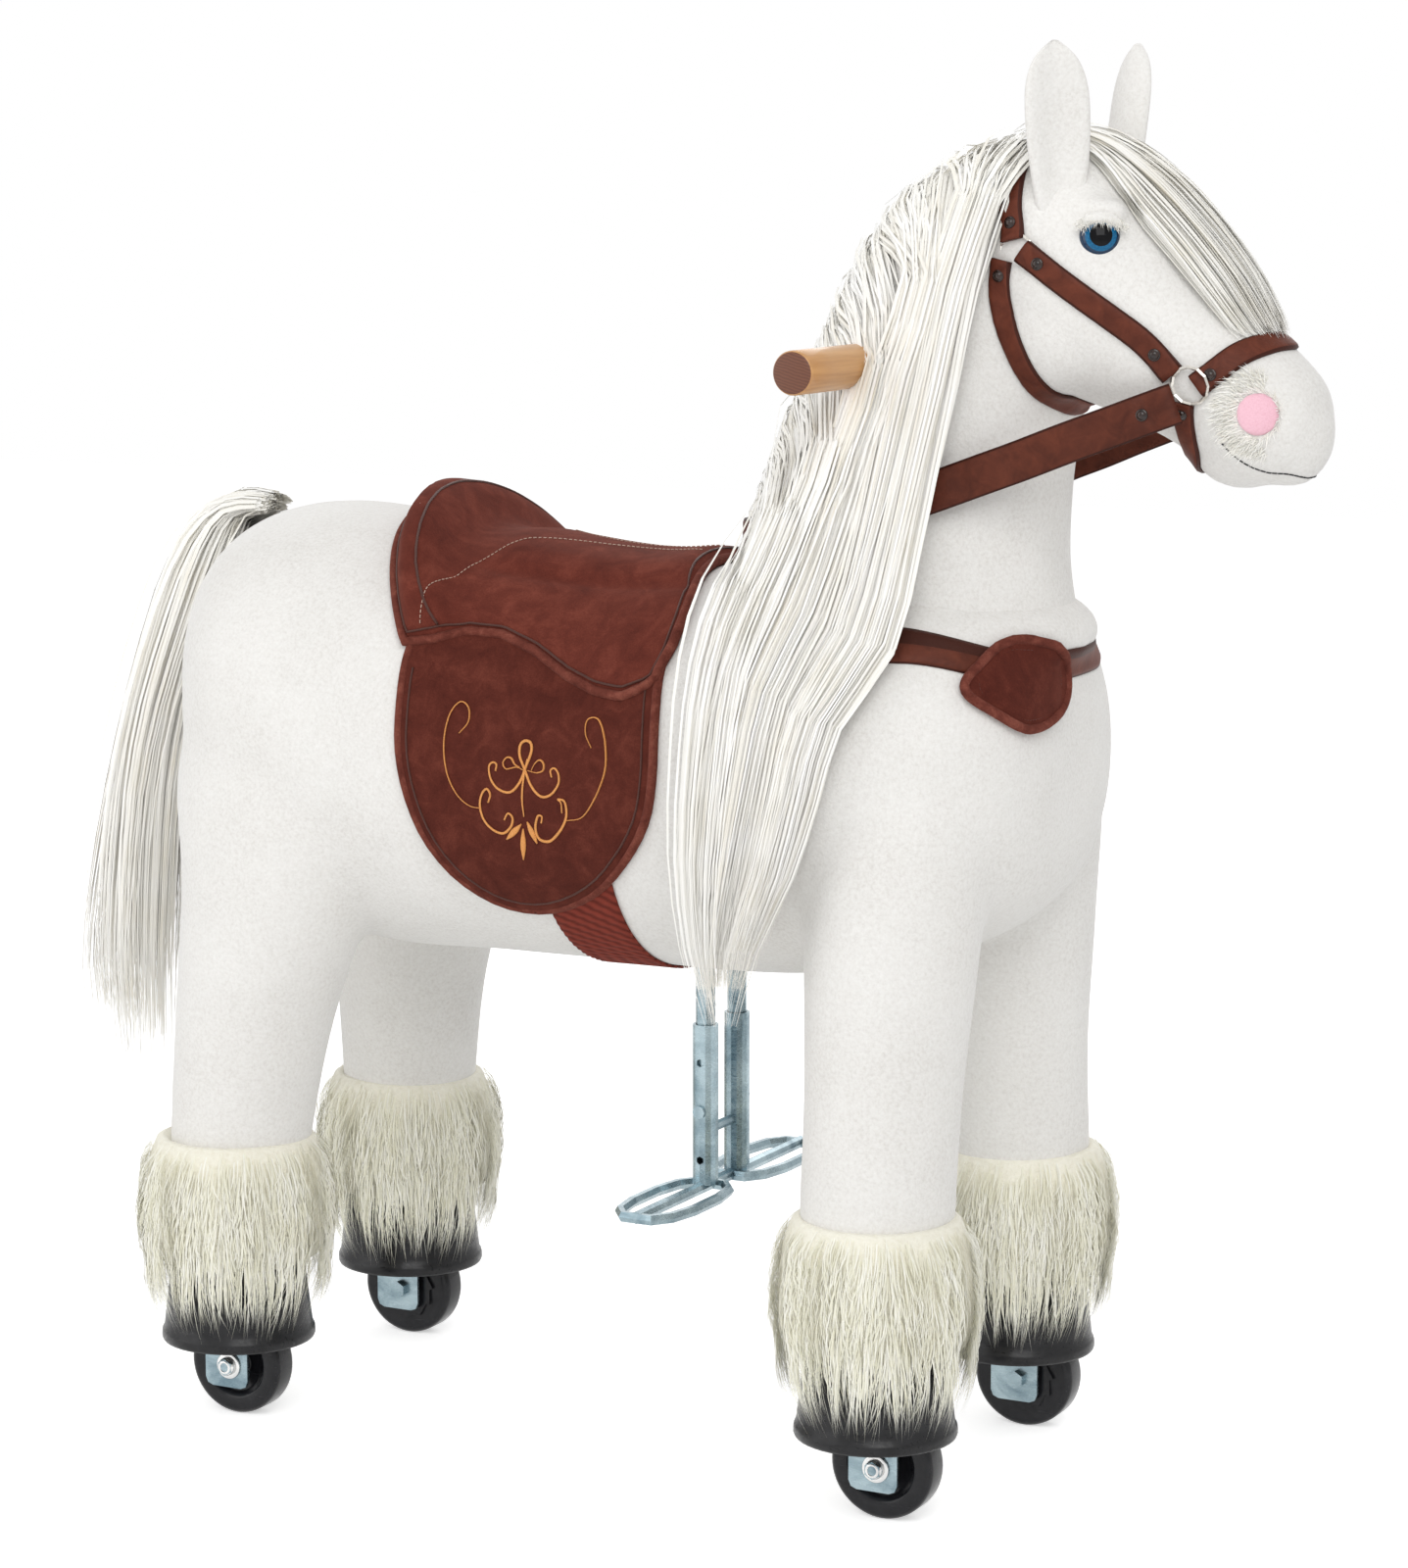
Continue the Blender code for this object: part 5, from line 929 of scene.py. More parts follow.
def saddleLift(x, back, share, degrees):
    edge = min(x - back, 1.0)
    seat = saddle["seatCrown"] * (1 - smoothStep(16, 30, degrees)) * smoothStep(0.060, 0.095, edge)
    crease = -saddle["creaseDeep"] * math.exp(-((degrees - saddle["creaseAt"]) / saddle["creaseWide"]) ** 2)
    crease = crease * smoothStep(0.055, 0.080, edge) * (1 - share ** 6)
    front = 1 - 0.35 * smoothStep(saddle["frontTop"] - 0.020, saddle["frontTop"] + 0.02, x)
    return (saddle["pad"] + seat) * front + crease + cantleLift(edge, share)


def saddleGrids():
    half = saddle["columns"] // 2

    def place(r, c):
        across = (c - half) / half
        share = abs(across)
        back = saddleBack(share)
        front = (saddle["frontTop"] + (saddle["frontSide"] - saddle["frontTop"]) * smoothStep(0, 0.8, share)
                 - 0.006 * smoothStep(0.86, 1.0, share))
        x = back + (front - back) * (r / (saddle["rows"] - 1))
        degrees = share * tableAt(skirtEdge, x)
        rim = min(x - back, front - x) / saddle["rim"]
        low = saddle["edgeLift"]
        lift = low + (saddleLift(x, back, share, degrees) - low) * roundOver(min(rim, (1 - share) * 130 / 10))
        degrees = math.copysign(degrees, across)
        return roundBody(x, degrees, lift) + cantleLean(x, back, share), roundBody(x, degrees, saddle["under"])

    return padGrids(saddle["rows"], saddle["columns"], place)


def raised(path, height):
    # A path moved outward from the trunk's middle line.
    return [p + Vector((0, p.y, p.z - saddle["axisZ"])).normalized() * height for p in path]


seatOuter, seatInner = saddleGrids()
saddleSeat = gridShell("saddleSeat", seatOuter, seatInner)
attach(saddleSeat, "body")
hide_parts("saddle_seat")
seatPiping = addTube("saddlePiping", raised(gridRim(seatOuter), 0.0012), saddle["piping"], 8, True)
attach(seatPiping, "body")


def flapGrids(side):
    edges = curveThrough(flapEdge, 3)
    half, columns = len(edges) // 2, saddle["flapColumns"]
    low = saddle["flapEdge"]

    def place(r, c):
        (rearDegrees, rearX), (frontDegrees, frontX) = edges[r], edges[-1 - r]
        t = 0.5 - 0.5 * math.cos(math.pi * c / (columns - 1))
        x = rearX + (frontX - rearX) * t
        degrees = side * (rearDegrees + (frontDegrees - rearDegrees) * t)
        rim = min(t, 1 - t) * abs(frontX - rearX) / saddle["flapRim"]
        lift = low + (saddle["flapThickness"] - low) * roundOver(min(rim, (half - r) / 3))
        return roundBody(x, degrees, lift), roundBody(x, degrees, saddle["flapUnder"])

    return padGrids(half + 1, columns, place)


flaps, flapPipings = [], []
for label, side in hands:
    outer, inner = flapGrids(side)
    flap = gridShell("saddleFlap_" + label, outer, inner)
    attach(flap, "body")
    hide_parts("saddle_flap_" + label)
    rim = [row[0] for row in outer] + list(outer[-1][1:-1]) + [row[-1] for row in reversed(outer)]
    flapPiping = addTube("flapPiping_" + label, raised(rim, 0.0004), saddle["piping"] * 0.9, 8)
    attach(flapPiping, "body")
    flaps.append(flap)
    flapPipings.append(flapPiping)
print("saddle made")


girth = {
    "back": -0.016, "front": 0.040, "span": 53, "frontSpan": 13, "thickness": 0.0024, "under": 0.0005,
    "ribs": 36, "ribHeight": 0.0006, "ribRows": 6, "columns": 11,
}


def addGirth():
    ribRows, columns = girth["ribRows"], girth["columns"]
    rows = ribRows * girth["ribs"] + 1

    def place(r, c):
        t = c / (columns - 1)
        x = girth["back"] + (girth["front"] - girth["back"]) * t
        degrees = 180 + (girth["span"] + girth["frontSpan"] * t) * (2 * r / (rows - 1) - 1)
        lift = girth["thickness"] - girth["ribHeight"] * (1 + math.cos(2 * math.pi * r / ribRows)) / 2
        return roundBody(x, degrees, lift), roundBody(x, degrees, girth["under"])

    return gridShell("girthWebbing", *padGrids(rows, columns, place))


girthWebbing = addGirth()
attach(girthWebbing, "body")
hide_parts("girth_strap")


# Stitching: short stitches that sit along a line

def stitchParts(path, pitch, length, radius):
    # Small tubes laid end to end along a path of points.
    made = []
    points = [Vector(p) for p in path]
    reach = [0.0]
    for a, b in zip(points, points[1:]):
        reach.append(reach[-1] + (b - a).length)

    def at(distance):
        k = min(max(int(np.searchsorted(reach, distance)) - 1, 0), len(points) - 2)
        span = max(reach[k + 1] - reach[k], 1e-9)
        return points[k].lerp(points[k + 1], min(max((distance - reach[k]) / span, 0), 1))

    place = pitch * 0.3
    while place + length < reach[-1]:
        made.append(tubeParts([at(place), at(place + length / 2), at(place + length)], radius, 5))
        place += pitch
    return made


seatSeam = [(-0.112, 50.0), (-0.111, 43.0), (-0.110, 35.8), (-0.105, 29.0), (-0.098, 23.1), (-0.088, 15.5),
            (-0.077, 10.4), (-0.050, 6.0), (-0.008, 3.6), (0.025, 4.6), (0.052, 6.4)]


def seatSurface(x, degrees, lift):
    # A point on top of the saddle seat.
    share = abs(degrees) / tableAt(skirtEdge, x)
    back = saddleBack(share)
    return roundBody(x, degrees, saddleLift(x, back, share, abs(degrees)) + lift) + cantleLean(x, back, share)


def addSeatStitches():
    partsList = []
    for side in (1, -1):
        line = [seatSurface(x, side * degrees, 0.0003) for x, degrees in curveThrough(seatSeam, 6)]
        partsList += stitchParts(line, 0.0036, 0.0023, 0.00038)
    return addParts("seatStitches", *partsList)


seatStitches = addSeatStitches()
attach(seatStitches, "body")


# Sewn grooves beside the pipings

def addGrooves():
    rim = raised(gridRim([row[1:-1] for row in seatOuter[1:-1]]), 0.0002)
    partsList = [tubeParts(rim, 0.0009, 6, True)]
    roll = []
    for k in range(61):
        across = 0.965 * (k / 30 - 1)
        x = saddleBack(abs(across)) + 0.0285
        roll.append(seatSurface(x, across * tableAt(skirtEdge, x), 0.0003))
    partsList.append(tubeParts(roll, 0.0010, 6))
    inset, middleX, middleDegrees = 0.925, -0.021, 84
    for side in (1, -1):
        line = []
        for degrees, x in curveThrough(flapEdge, 3)[3:-3]:
            turned = side * (middleDegrees + (degrees - middleDegrees) * inset)
            line.append(roundBody(middleX + (x - middleX) * inset, turned, saddle["flapThickness"] + 0.0001))
        partsList.append(tubeParts(line, 0.0008, 6))
    return addParts("saddleGrooves", *partsList)


saddleGrooves = addGrooves()
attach(saddleGrooves, "body")


# Scroll embroidery on the flaps: x in metres, degrees round the body

embroidery = {"thread": 0.00105, "flat": 0.5, "lift": 0.0049, "round": 0.145}
scrolls = [
    [(-0.0707, 75.7), (-0.0645, 72.5), (-0.0658, 68.9), (-0.0728, 67.6), (-0.0792, 70.7), (-0.0818, 76.5),
     (-0.0809, 82.6), (-0.0771, 87.9), (-0.0702, 92.2), (-0.0614, 94.6), (-0.0529, 95.0)],
    [(-0.0470, 93.3), (-0.0452, 91.1), (-0.0480, 89.6), (-0.0520, 91.3), (-0.0536, 94.5), (-0.0509, 98.2),
     (-0.0445, 100.6), (-0.0370, 101.4), (-0.0305, 99.5), (-0.0284, 97.1), (-0.0318, 95.8), (-0.0352, 97.7)],
    [(-0.0411, 84.7), (-0.0405, 82.9), (-0.0438, 82.5), (-0.0463, 83.9), (-0.0446, 87.0), (-0.0390, 89.4),
     (-0.0300, 90.1), (-0.0222, 87.3), (-0.0174, 82.7), (-0.0140, 79.0), (-0.0151, 76.8), (-0.0193, 76.3),
     (-0.0228, 77.5), (-0.0228, 80.2), (-0.0186, 83.6), (-0.0132, 88.0), (-0.0056, 90.6), (0.0022, 89.8),
     (0.0079, 86.9), (0.0077, 84.2), (0.0045, 82.8), (0.0015, 83.5), (0.0026, 85.3)],
    [(-0.0185, 84.1), (-0.0250, 83.3), (-0.0327, 84.0), (-0.0354, 82.5), (-0.0330, 81.0), (-0.0291, 81.0),
     (-0.0264, 82.5), (-0.0225, 83.3)],
    [(-0.0160, 84.0), (-0.0095, 84.4), (-0.0044, 83.7), (-0.0039, 81.9), (-0.0073, 80.9), (-0.0110, 82.1),
     (-0.0134, 83.9)],
    [(-0.0195, 96.4), (-0.0205, 91.3), (-0.0190, 85.4), (-0.0168, 80.9)],
    [(0.0104, 94.6), (0.0098, 91.8), (0.0073, 91.0), (0.0125, 91.3), (0.0140, 94.4), (0.0118, 97.3), (0.0060, 100.3),
     (-0.0012, 102.6), (-0.0088, 102.2), (-0.0111, 99.4), (-0.0087, 96.0), (-0.0055, 96.0), (-0.0063, 97.8)],
    [(0.0325, 76.9), (0.0270, 73.5), (0.0265, 70.1), (0.0317, 69.0), (0.0375, 70.2), (0.0429, 74.9), (0.0449, 81.0),
     (0.0411, 86.4), (0.0332, 92.0), (0.0250, 95.5), (0.0140, 96.5)],
]


leaves = [
    # x, degrees, turn, length and half width of each leaf
    (-0.0283, 100.75, 2.30, 0.0171, 0.0022),
    (-0.0222, 104.1, 3.01, 0.0225, 0.0022),
    (-0.0141, 100.6, -2.75, 0.0159, 0.0022),
]


def threadTaper(t):
    return 0.55 + 0.45 * math.sin(math.pi * min(max(t, 0.06), 0.94))


def addEmbroidery(label, side):
    partsList = []
    lift = embroidery["lift"]
    for line in scrolls:
        path = [roundBody(x, side * degrees, lift) for x, degrees in curveThrough(line, 4)]
        partsList.append(tubeParts(path, embroidery["thread"], 6, False, threadTaper, embroidery["flat"]))
    for x, degrees, turn, length, wide in leaves:
        rings = []
        for k in range(7):
            t = k / 6
            step = (t - 0.5) * length
            half = wide * math.sin(math.pi * min(max(t, 0.04), 0.96)) ** 0.8
            across = []
            for way in range(8):
                a = 2 * math.pi * way / 8
                offset = half * math.cos(a)
                dx = step * math.sin(turn) + offset * math.cos(turn)
                dd = math.degrees((step * math.cos(turn) - offset * math.sin(turn)) / embroidery["round"])
                across.append(roundBody(x + dx, side * (degrees + dd), lift + 0.0007 * math.sin(a)))
            rings.append(across)
        partsList.append(loftParts(rings))
    return addParts("embroidery_" + label, *partsList)


embroideries = []
for label, side in hands:
    threadWork = addEmbroidery(label, side)
    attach(threadWork, "body")
    embroideries.append(threadWork)
print("girth, stitching and embroidery made")


# Chest strap and its bare oval badge

chest = {
    "axisX": 0.12, "reach": 0.4, "fallback": 0.19, "span": 56, "low": 0.571, "rise": 0.019, "riseEnd": 43,
    "width": 0.0220, "thickness": 0.0022, "edgeLift": 0.0010, "edge": 0.13, "under": 0.0004, "rows": 57, "columns": 9,
    "badgeTurn": -18.6, "badgeZ": 0.5625, "badgeWide": 0.0500, "badgeHigh": 0.0290, "badgeLift": 0.0056,
    "badgeRound": 0.203, "badgeUnder": 0.0030, "badgeSteps": 25, "badgeSeam": 0.80, "piping": 0.0034,
}


def chestPoint(degrees, z, lift):
    angle = math.radians(degrees)
    way = Vector((math.cos(angle), math.sin(angle), 0))
    return seenFrom(Vector((chest["axisX"], 0, z)), way, chest["reach"], chest["fallback"], lift)


def addChestStrap():
    rows, columns, low = chest["rows"], chest["columns"], chest["edgeLift"]

    def place(r, c):
        degrees = chest["span"] * (2 * r / (rows - 1) - 1)
        middle = chest["low"] + chest["rise"] * smoothStep(14, chest["riseEnd"], abs(degrees))
        t = c / (columns - 1)
        z = middle + chest["width"] * (t - 0.5)
        lift = low + (chest["thickness"] - low) * roundOver(min(t, 1 - t) / chest["edge"])
        return chestPoint(degrees, z, lift), chestPoint(degrees, z, chest["under"])

    return gridShell("chestStrap", *padGrids(rows, columns, place))


def discOf(s, t):
    # The place in the round that this place of the square fills.
    return s * math.sqrt(1 - t * t / 2), t * math.sqrt(1 - s * s / 2)


def squareOf(u, v):
    # The place in the square that fills this place of the round.
    a = 2 + u * u - v * v
    b = 2 - u * u + v * v
    root = 2 * math.sqrt(2)
    s = 0.5 * (math.sqrt(max(a + root * u, 0)) - math.sqrt(max(a - root * u, 0)))
    t = 0.5 * (math.sqrt(max(b + root * v, 0)) - math.sqrt(max(b - root * v, 0)))
    return s, t


def badgePoint(s, t, lift):
    # A place on the badge: s and t run from -1 to 1 over a square that fills an oval, pointed to its rear.
    u, v = discOf(s, t)
    v *= 1 - 0.42 * smoothStep(0.05, 1.0, -u)
    degrees = chest["badgeTurn"] + math.degrees(u * chest["badgeWide"] / chest["badgeRound"])
    return chestPoint(degrees, chest["badgeZ"] + v * chest["badgeHigh"], lift)


def badgeLine(scale, count, lift):
    # A line round the badge, at a share of the way to its rim.
    line = []
    for k in range(count):
        angle = 2 * math.pi * k / 72
        line.append(badgePoint(*squareOf(scale * math.cos(angle), scale * math.sin(angle)), lift))
    return line


def addBadge():
    steps, seamAt = chest["badgeSteps"], chest["badgeSeam"]

    def place(r, c):
        t, s = 2 * r / (steps - 1) - 1, 2 * c / (steps - 1) - 1
        reach = max(abs(s), abs(t))
        dip = 0.0011 * math.exp(-((reach - seamAt) / 0.06) ** 2)
        lift = chest["badgeLift"] + 0.0012 * (1 - reach ** 2) - dip
        return badgePoint(s, t, lift), badgePoint(s, t, chest["badgeUnder"])

    badge = gridShell("chestBadge", *padGrids(steps, steps, place))
    piping = addTube("badgePiping", badgeLine(1.0, 72, 0.0046), chest["piping"], 8, True)
    inset = badgeLine(seamAt, 73, chest["badgeLift"] - 0.0005)
    seam = addParts("badgeSeam", *stitchParts(inset, 0.0030, 0.0020, 0.00035))
    return badge, piping, seam


chestStrap = addChestStrap()
chestBadge, badgePiping, badgeSeam = addBadge()
for piece in (chestStrap, chestBadge, badgePiping, badgeSeam):
    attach(piece, "body")
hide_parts("chest_strap")
print("chest strap made")


# Bridle: leather straps laid on the head, folded round thin rings

bridle = {
    "width": 0.0165, "thickness": 0.0022, "lift": 0.0010, "edge": 0.125, "foldLift": 0.0022, "columns": 9,
    "rivet": 0.0041, "rivetLift": 0.0005,
}
rivetProfile = [
    # share of the radius, height
    (1, -0.0004), (1, 0.0003), (0.92, 0.0007), (0.80, 0.0006), (0.74, 0.0010), (0.60, 0.0017), (0.40, 0.0022),
    (0.18, 0.0024),
]
strapRuns = {
    "crown": [(0.3035, -0.0690, 0.8530), (0.3010, -0.0670, 0.8640), (0.2980, -0.0615, 0.8750),
              (0.2950, -0.0480, 0.8960), (0.2930, -0.0250, 0.9120), (0.2920, 0.0, 0.9170)],
    "cheek": [(0.3110, -0.0690, 0.8460), (0.3330, -0.0685, 0.8300), (0.3520, -0.0655, 0.8165),
              (0.3700, -0.0605, 0.8035), (0.3900, -0.0550, 0.7880), (0.4080, -0.0490, 0.7680)],
    "throat": [(0.2960, -0.0680, 0.8400), (0.2935, -0.0665, 0.8240), (0.2950, -0.0645, 0.8060),
               (0.3020, -0.0600, 0.7850), (0.3110, -0.0500, 0.7640), (0.3210, -0.0300, 0.7480), (0.3270, 0.0, 0.7420)],
    "nose": [(0.4240, -0.0470, 0.7610), (0.4350, -0.0420, 0.7700), (0.4475, -0.0340, 0.7805),
             (0.4600, -0.0190, 0.7870), (0.4660, 0.0, 0.7890)],
    "chin": [(0.4140, -0.0470, 0.7490), (0.4125, -0.0440, 0.7380), (0.4120, -0.0370, 0.7260),
             (0.4125, -0.0210, 0.7150), (0.4130, 0.0, 0.7110)],
}
strapWidths = {"crown": 0.0165, "cheek": 0.0165, "throat": 0.0145, "nose": 0.0165, "chin": 0.0150}
rivetPlaces = [("crown", 0.20), ("cheek", 0.10), ("cheek", 0.88), ("throat", 0.12), ("nose", 0.20), ("chin", 0.18)]


def strapFrames(points):
    # Places on the head's skin with the ways across and outward.
    made = []
    count = len(points)
    for k, point in enumerate(points):
        near, normal, _, _ = headTree.find_nearest(point)
        before, after = points[max(k - 1, 0)], points[min(k + 1, count - 1)]
        across = (after - before).normalized().cross(normal).normalized()
        made.append((near, across, normal))
    return made


def layStrap(name, points, width):
    # A leather strap on the head's skin, lifted a little where its ends turn back round their rings.
    places = strapFrames(points)
    last, columns = len(places) - 1, bridle["columns"]

    def place(k, c):
        middle, across, normal = places[k]
        swell = bridle["foldLift"] * (1 - min(min(k, last - k) / 3.0, 1.0))
        t = c / (columns - 1)
        offset = across * (width * (t - 0.5))
        base, _, _, _ = headTree.find_nearest(middle + offset)
        ground = middle + offset + normal * max((base - middle).dot(normal), -0.004)
        edge = 0.55 + 0.45 * roundOver(min(t, 1 - t) / bridle["edge"])
        crown = bridle["thickness"] * edge + 0.0003 * math.sin(math.pi * t)
        return ground + normal * (bridle["lift"] + crown + swell), ground + normal * bridle["lift"] * 0.4

    return gridShell(name, *padGrids(last + 1, columns, place))


def mirroredRun(run):
    return run + [(x, -y, z) for x, y, z in reversed(run[:-1])]


def bothSides(run, side):
    return [(x, -side * y, z) for x, y, z in run]


straps, rivets = [], []
for label in ("crown", "throat", "nose", "chin"):
    path = pathOf(mirroredRun(strapRuns[label]), 5)
    strap = layStrap(label + "Strap", path, strapWidths[label])
    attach(strap, "head")
    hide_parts({"crown": "crown_strap", "throat": "throat_strap",
                        "nose": "noseband", "chin": "chin_strap"}[label])
    straps.append(strap)
for label, side in hands:
    path = pathOf(bothSides(strapRuns["cheek"], side), 6)
    strap = layStrap("cheekStrap_" + label, path, strapWidths["cheek"])
    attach(strap, "head")
    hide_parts("cheek_strap_" + label)
    straps.append(strap)


def addRivet(name, place, normal):
    size = bridle["rivet"]
    profile = [(size * share, height) for share, height in rivetProfile]
    return addParts(name, turnedParts(profile, place, normal, 20))


for number, (label, share) in enumerate(rivetPlaces):
    for sideName, side in hands:
        path = pathOf(bothSides(strapRuns[label], side), 8)
        place, _, normal = strapFrames(path)[int(share * (len(path) - 1))]
        lift = bridle["lift"] + bridle["thickness"] + bridle["rivetLift"]
        rivet = addRivet("rivet_%d_%s" % (number, sideName), place + normal * lift, normal)
        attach(rivet, "head")
        rivets.append(rivet)


# Rein: a free stretch from the ring, then round the neck under the mane

rein = {
    "width": 0.0270, "thickness": 0.0024, "edge": 0.09, "freeFrom": 0.23, "clear": 0.0016, "columns": 11,
    "wave": 0.0009, "waveFrom": 0.27, "neckX": 0.215, "rivet": (0.3935, 0.0658, 0.7423),
}
reinRun = [(0.4130, -0.0560, 0.7500), (0.3990, -0.0615, 0.7445), (0.3800, -0.0655, 0.7370),
           (0.3450, -0.0715, 0.7235), (0.3100, -0.0765, 0.7095), (0.2800, -0.0820, 0.6980),
           (0.2500, -0.0880, 0.6865), (0.2200, -0.0930, 0.6765), (0.1850, -0.0915, 0.6660),
           (0.1500, -0.0800, 0.6570), (0.1220, -0.0560, 0.6500), (0.1040, -0.0280, 0.6470), (0.0980, 0.0, 0.6460)]


def addRein():
    path = pathOf(mirroredRun(reinRun), 5)
    last, columns = len(path) - 1, rein["columns"]
    rows = []
    for k, point in enumerate(path):
        before, after = path[max(k - 1, 0)], path[min(k + 1, last)]
        way = (after - before).normalized()
        outward = Vector((point.x - rein["neckX"], point.y * 1.6, 0)).normalized()
        if point.x > rein["freeFrom"]:
            outward = Vector((0.10, math.copysign(1.0, point.y), 0)).normalized()
        across = way.cross(outward).normalized()
        normal = across.cross(way).normalized()
        if normal.dot(outward) < 0:
            normal.negate()
        wave = rein["wave"] * math.sin(k * 0.9) * (1 if point.x > rein["waveFrom"] else 0)
        line = [point + across * (rein["width"] * (c / (columns - 1) - 0.5)) for c in range(columns)]
        push = 0.0
        for probe in line:
            near, out, _, _ = headTree.find_nearest(probe)
            push = max(push, rein["clear"] - (probe - near).dot(out))
        rows.append((line, normal, push + wave))

    def place(r, c):
        line, normal, push = rows[r]
        t = c / (columns - 1)
        base = line[c] + normal * push
        return base + normal * (rein["thickness"] * (0.6 + 0.4 * roundOver(min(t, 1 - t) / rein["edge"]))), base

    return gridShell("rein", *padGrids(last + 1, columns, place))


reinStrap = addRein()
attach(reinStrap, "head")
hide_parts("rein")
straps.append(reinStrap)
for sideName, side in hands:
    x, y, z = rein["rivet"]
    rivet = addRivet("rivetRein_" + sideName, Vector((x, side * y, z)), Vector((0.10, side, 0)).normalized())
    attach(rivet, "head")
    rivets.append(rivet)
print("bridle made")


# Ears, eyes, nostrils and mouth

ear = {
    "base": 0.866, "tip": 0.9805, "x": 0.3265, "y": 0.0480, "flare": 0.0215, "half": 0.0186, "depth": 0.0100,
    "count": 28,
}


def earWidths(t):
    # Half width and half depth of the ear at a share of its height.
    wideFall = math.sqrt(max(1 - max((t - 0.66) / 0.34, 0) ** 2.3, 0.012))
    deepFall = math.sqrt(max(1 - max((t - 0.70) / 0.30, 0) ** 2.2, 0.02))
    wide = ear["half"] * (0.74 + 0.44 * math.sin(math.pi * min(t + 0.06, 1) * 0.74)) * wideFall
    return wide, ear["depth"] * (1.05 - 0.35 * t) * deepFall


def addEar(label, side):
    # A rounded upright ear, its front face dished and its rim rolled.
    rings = []
    face = Vector((0.62, side * 0.78, 0.10)).normalized()
    across = Vector((-side * face.y, side * face.x, 0)).normalized()
    for k in range(15):
        t = k / 14
        z = ear["base"] + (ear["tip"] - ear["base"]) * t
        wide, deep = earWidths(t)
        centre = Vector((ear["x"] + 0.004 * t, side * (ear["y"] + ear["flare"] * t ** 1.15), z))
        ring = []
        for i in range(ear["count"]):
            a = 2 * math.pi * i / ear["count"]
            c, s = math.cos(a), math.sin(a)
            front = max(s, 0.0)
            dish = 0.75 * front * math.exp(-(c / 0.62) ** 2) * math.sin(math.pi * min(t * 1.05, 1.0)) ** 0.6
            ring.append(centre + across * (c * wide) + face * (deep * (s - dish * 1.25) + 0.0035 * c * c))
        rings.append(ring)
    piece = addParts("ear_" + label + "Plush", loftParts(rings))
    smooth = piece.modifiers.new("smooth", "SUBSURF")
    smooth.levels = smooth.render_levels = 1
    return settle(piece)


eye = {
    "x": 0.3590, "y": 0.0555, "z": 0.8555, "radius": 0.0140, "sunk": 0.0048, "sides": 40,
    "lidHairs": 420, "hair": (0.0062, 0.0005),
}
# colour zone (2 pupil, 1 iris, 0 rim) and its degrees from the middle
eyeZones = [(2, (0.2, 2, 6, 12, 18, 25, 32)), (1, (33, 37, 42, 47.5)), (0, (49, 54, 60, 72, 88))]


def addEye(label, side):
    # A domed glass eye: dark rim, blue iris, black pupil, each its own face set.
    near, normal, _, _ = headTree.find_nearest(Vector((eye["x"], side * eye["y"], eye["z"])))
    out = (Vector((0.52, side * 0.84, 0.12)).normalized() + normal * 0.7).normalized()
    centre = near - out * eye["sunk"]
    radius = eye["radius"]
    profile, zones = [], []
    for zone, turns in eyeZones:
        for degrees in turns:
            a = math.radians(degrees)
            profile.append((radius * math.sin(a), radius * (math.cos(a) * 0.86)))
            zones.append(zone)
    piece = addMesh("eye_" + label + "Glass", *turnedParts(profile, centre, out, eye["sides"]))
    bands = (len(profile) - 1) * eye["sides"]
    for number, face in enumerate(piece.data.polygons):
        if number < bands:
            face.material_index = zones[number // eye["sides"] + 1]
        else:
            face.material_index = zones[0] if number == bands else zones[-1]
    return fixNormals(piece), centre, out


def outwardFrame(out):
    # The ways up and across on a face that looks this way.
    up = (Vector((0, 0, 1)) - out * out.z).normalized()
    return up, out.cross(up).normalized()


def lidTaper(t):
    return 0.35 + 0.65 * math.sin(math.pi * min(max(t, 0.02), 0.98)) ** 0.6


def addLid(label, centre, out):
    # A soft roll of plush over the eye's upper third, with a thin dark line under it.
    up, across = outwardFrame(out)
    radius = eye["radius"]

    def arc(wide, high, rise, lift):
        line = []
        for k in range(13):
            a = math.radians(18 + 144 * k / 12)
            line.append(centre + across * (math.cos(a) * radius * wide) + up * (math.sin(a) * radius * high + rise)
                        + out * (lift + 0.0030 * math.sin(a)))
        return line

    lid = addTube("lid_" + label, arc(0.99, 0.76, 0.0012, 0.0058), 0.0042, 12, False, lidTaper)
    return lid, addTube("lidLine_" + label, arc(0.93, 0.66, 0.0004, 0.0072), 0.0007, 6)


def lidRoots(side, centre, out):
    rng = random.Random(70 + side)
    up, across = outwardFrame(out)
    roots = []
    for _ in range(eye["lidHairs"]):
        a = math.radians(rng.uniform(8, 172))
        reach = eye["radius"] * rng.uniform(0.72, 1.25)
        root = (centre + across * (math.cos(a) * reach * 1.02) + up * (math.sin(a) * reach * 0.80 + 0.0015)
                + out * (0.0070 + 0.0022 * math.sin(a)))
        normal = headTree.find_nearest(root)[1]
        roots.append((root, (normal * 0.6 + up * (0.1 - 0.9 * math.sin(a)) * 0.9 + out * 0.5).normalized()))
    return roots


def addFluff(name, roots, length, width, seed, droop, tree=None):
    # Short fine hairs that grow out of the plush at each root: (place, way).
    rng = random.Random(seed)
    hair = Strands()
    for place, way in roots:
        side = Vector((rng.gauss(0, 1), rng.gauss(0, 1), rng.gauss(0, 1))).normalized()
        aim = (way + side * 0.45).normalized()
        size = length * rng.uniform(0.6, 1.25)
        path = []
        for k in range(4):
            t = k / 3
            p = place + aim * size * t + Vector((0, 0, -droop * size * t * t))
            path.append(p if tree is None else clearOf(tree, p, 0.0004))
        hair.add(path, width * rng.uniform(0.7, 1.2), rng.random(), rng.uniform(0, 6.2))
    return hair.build(name)


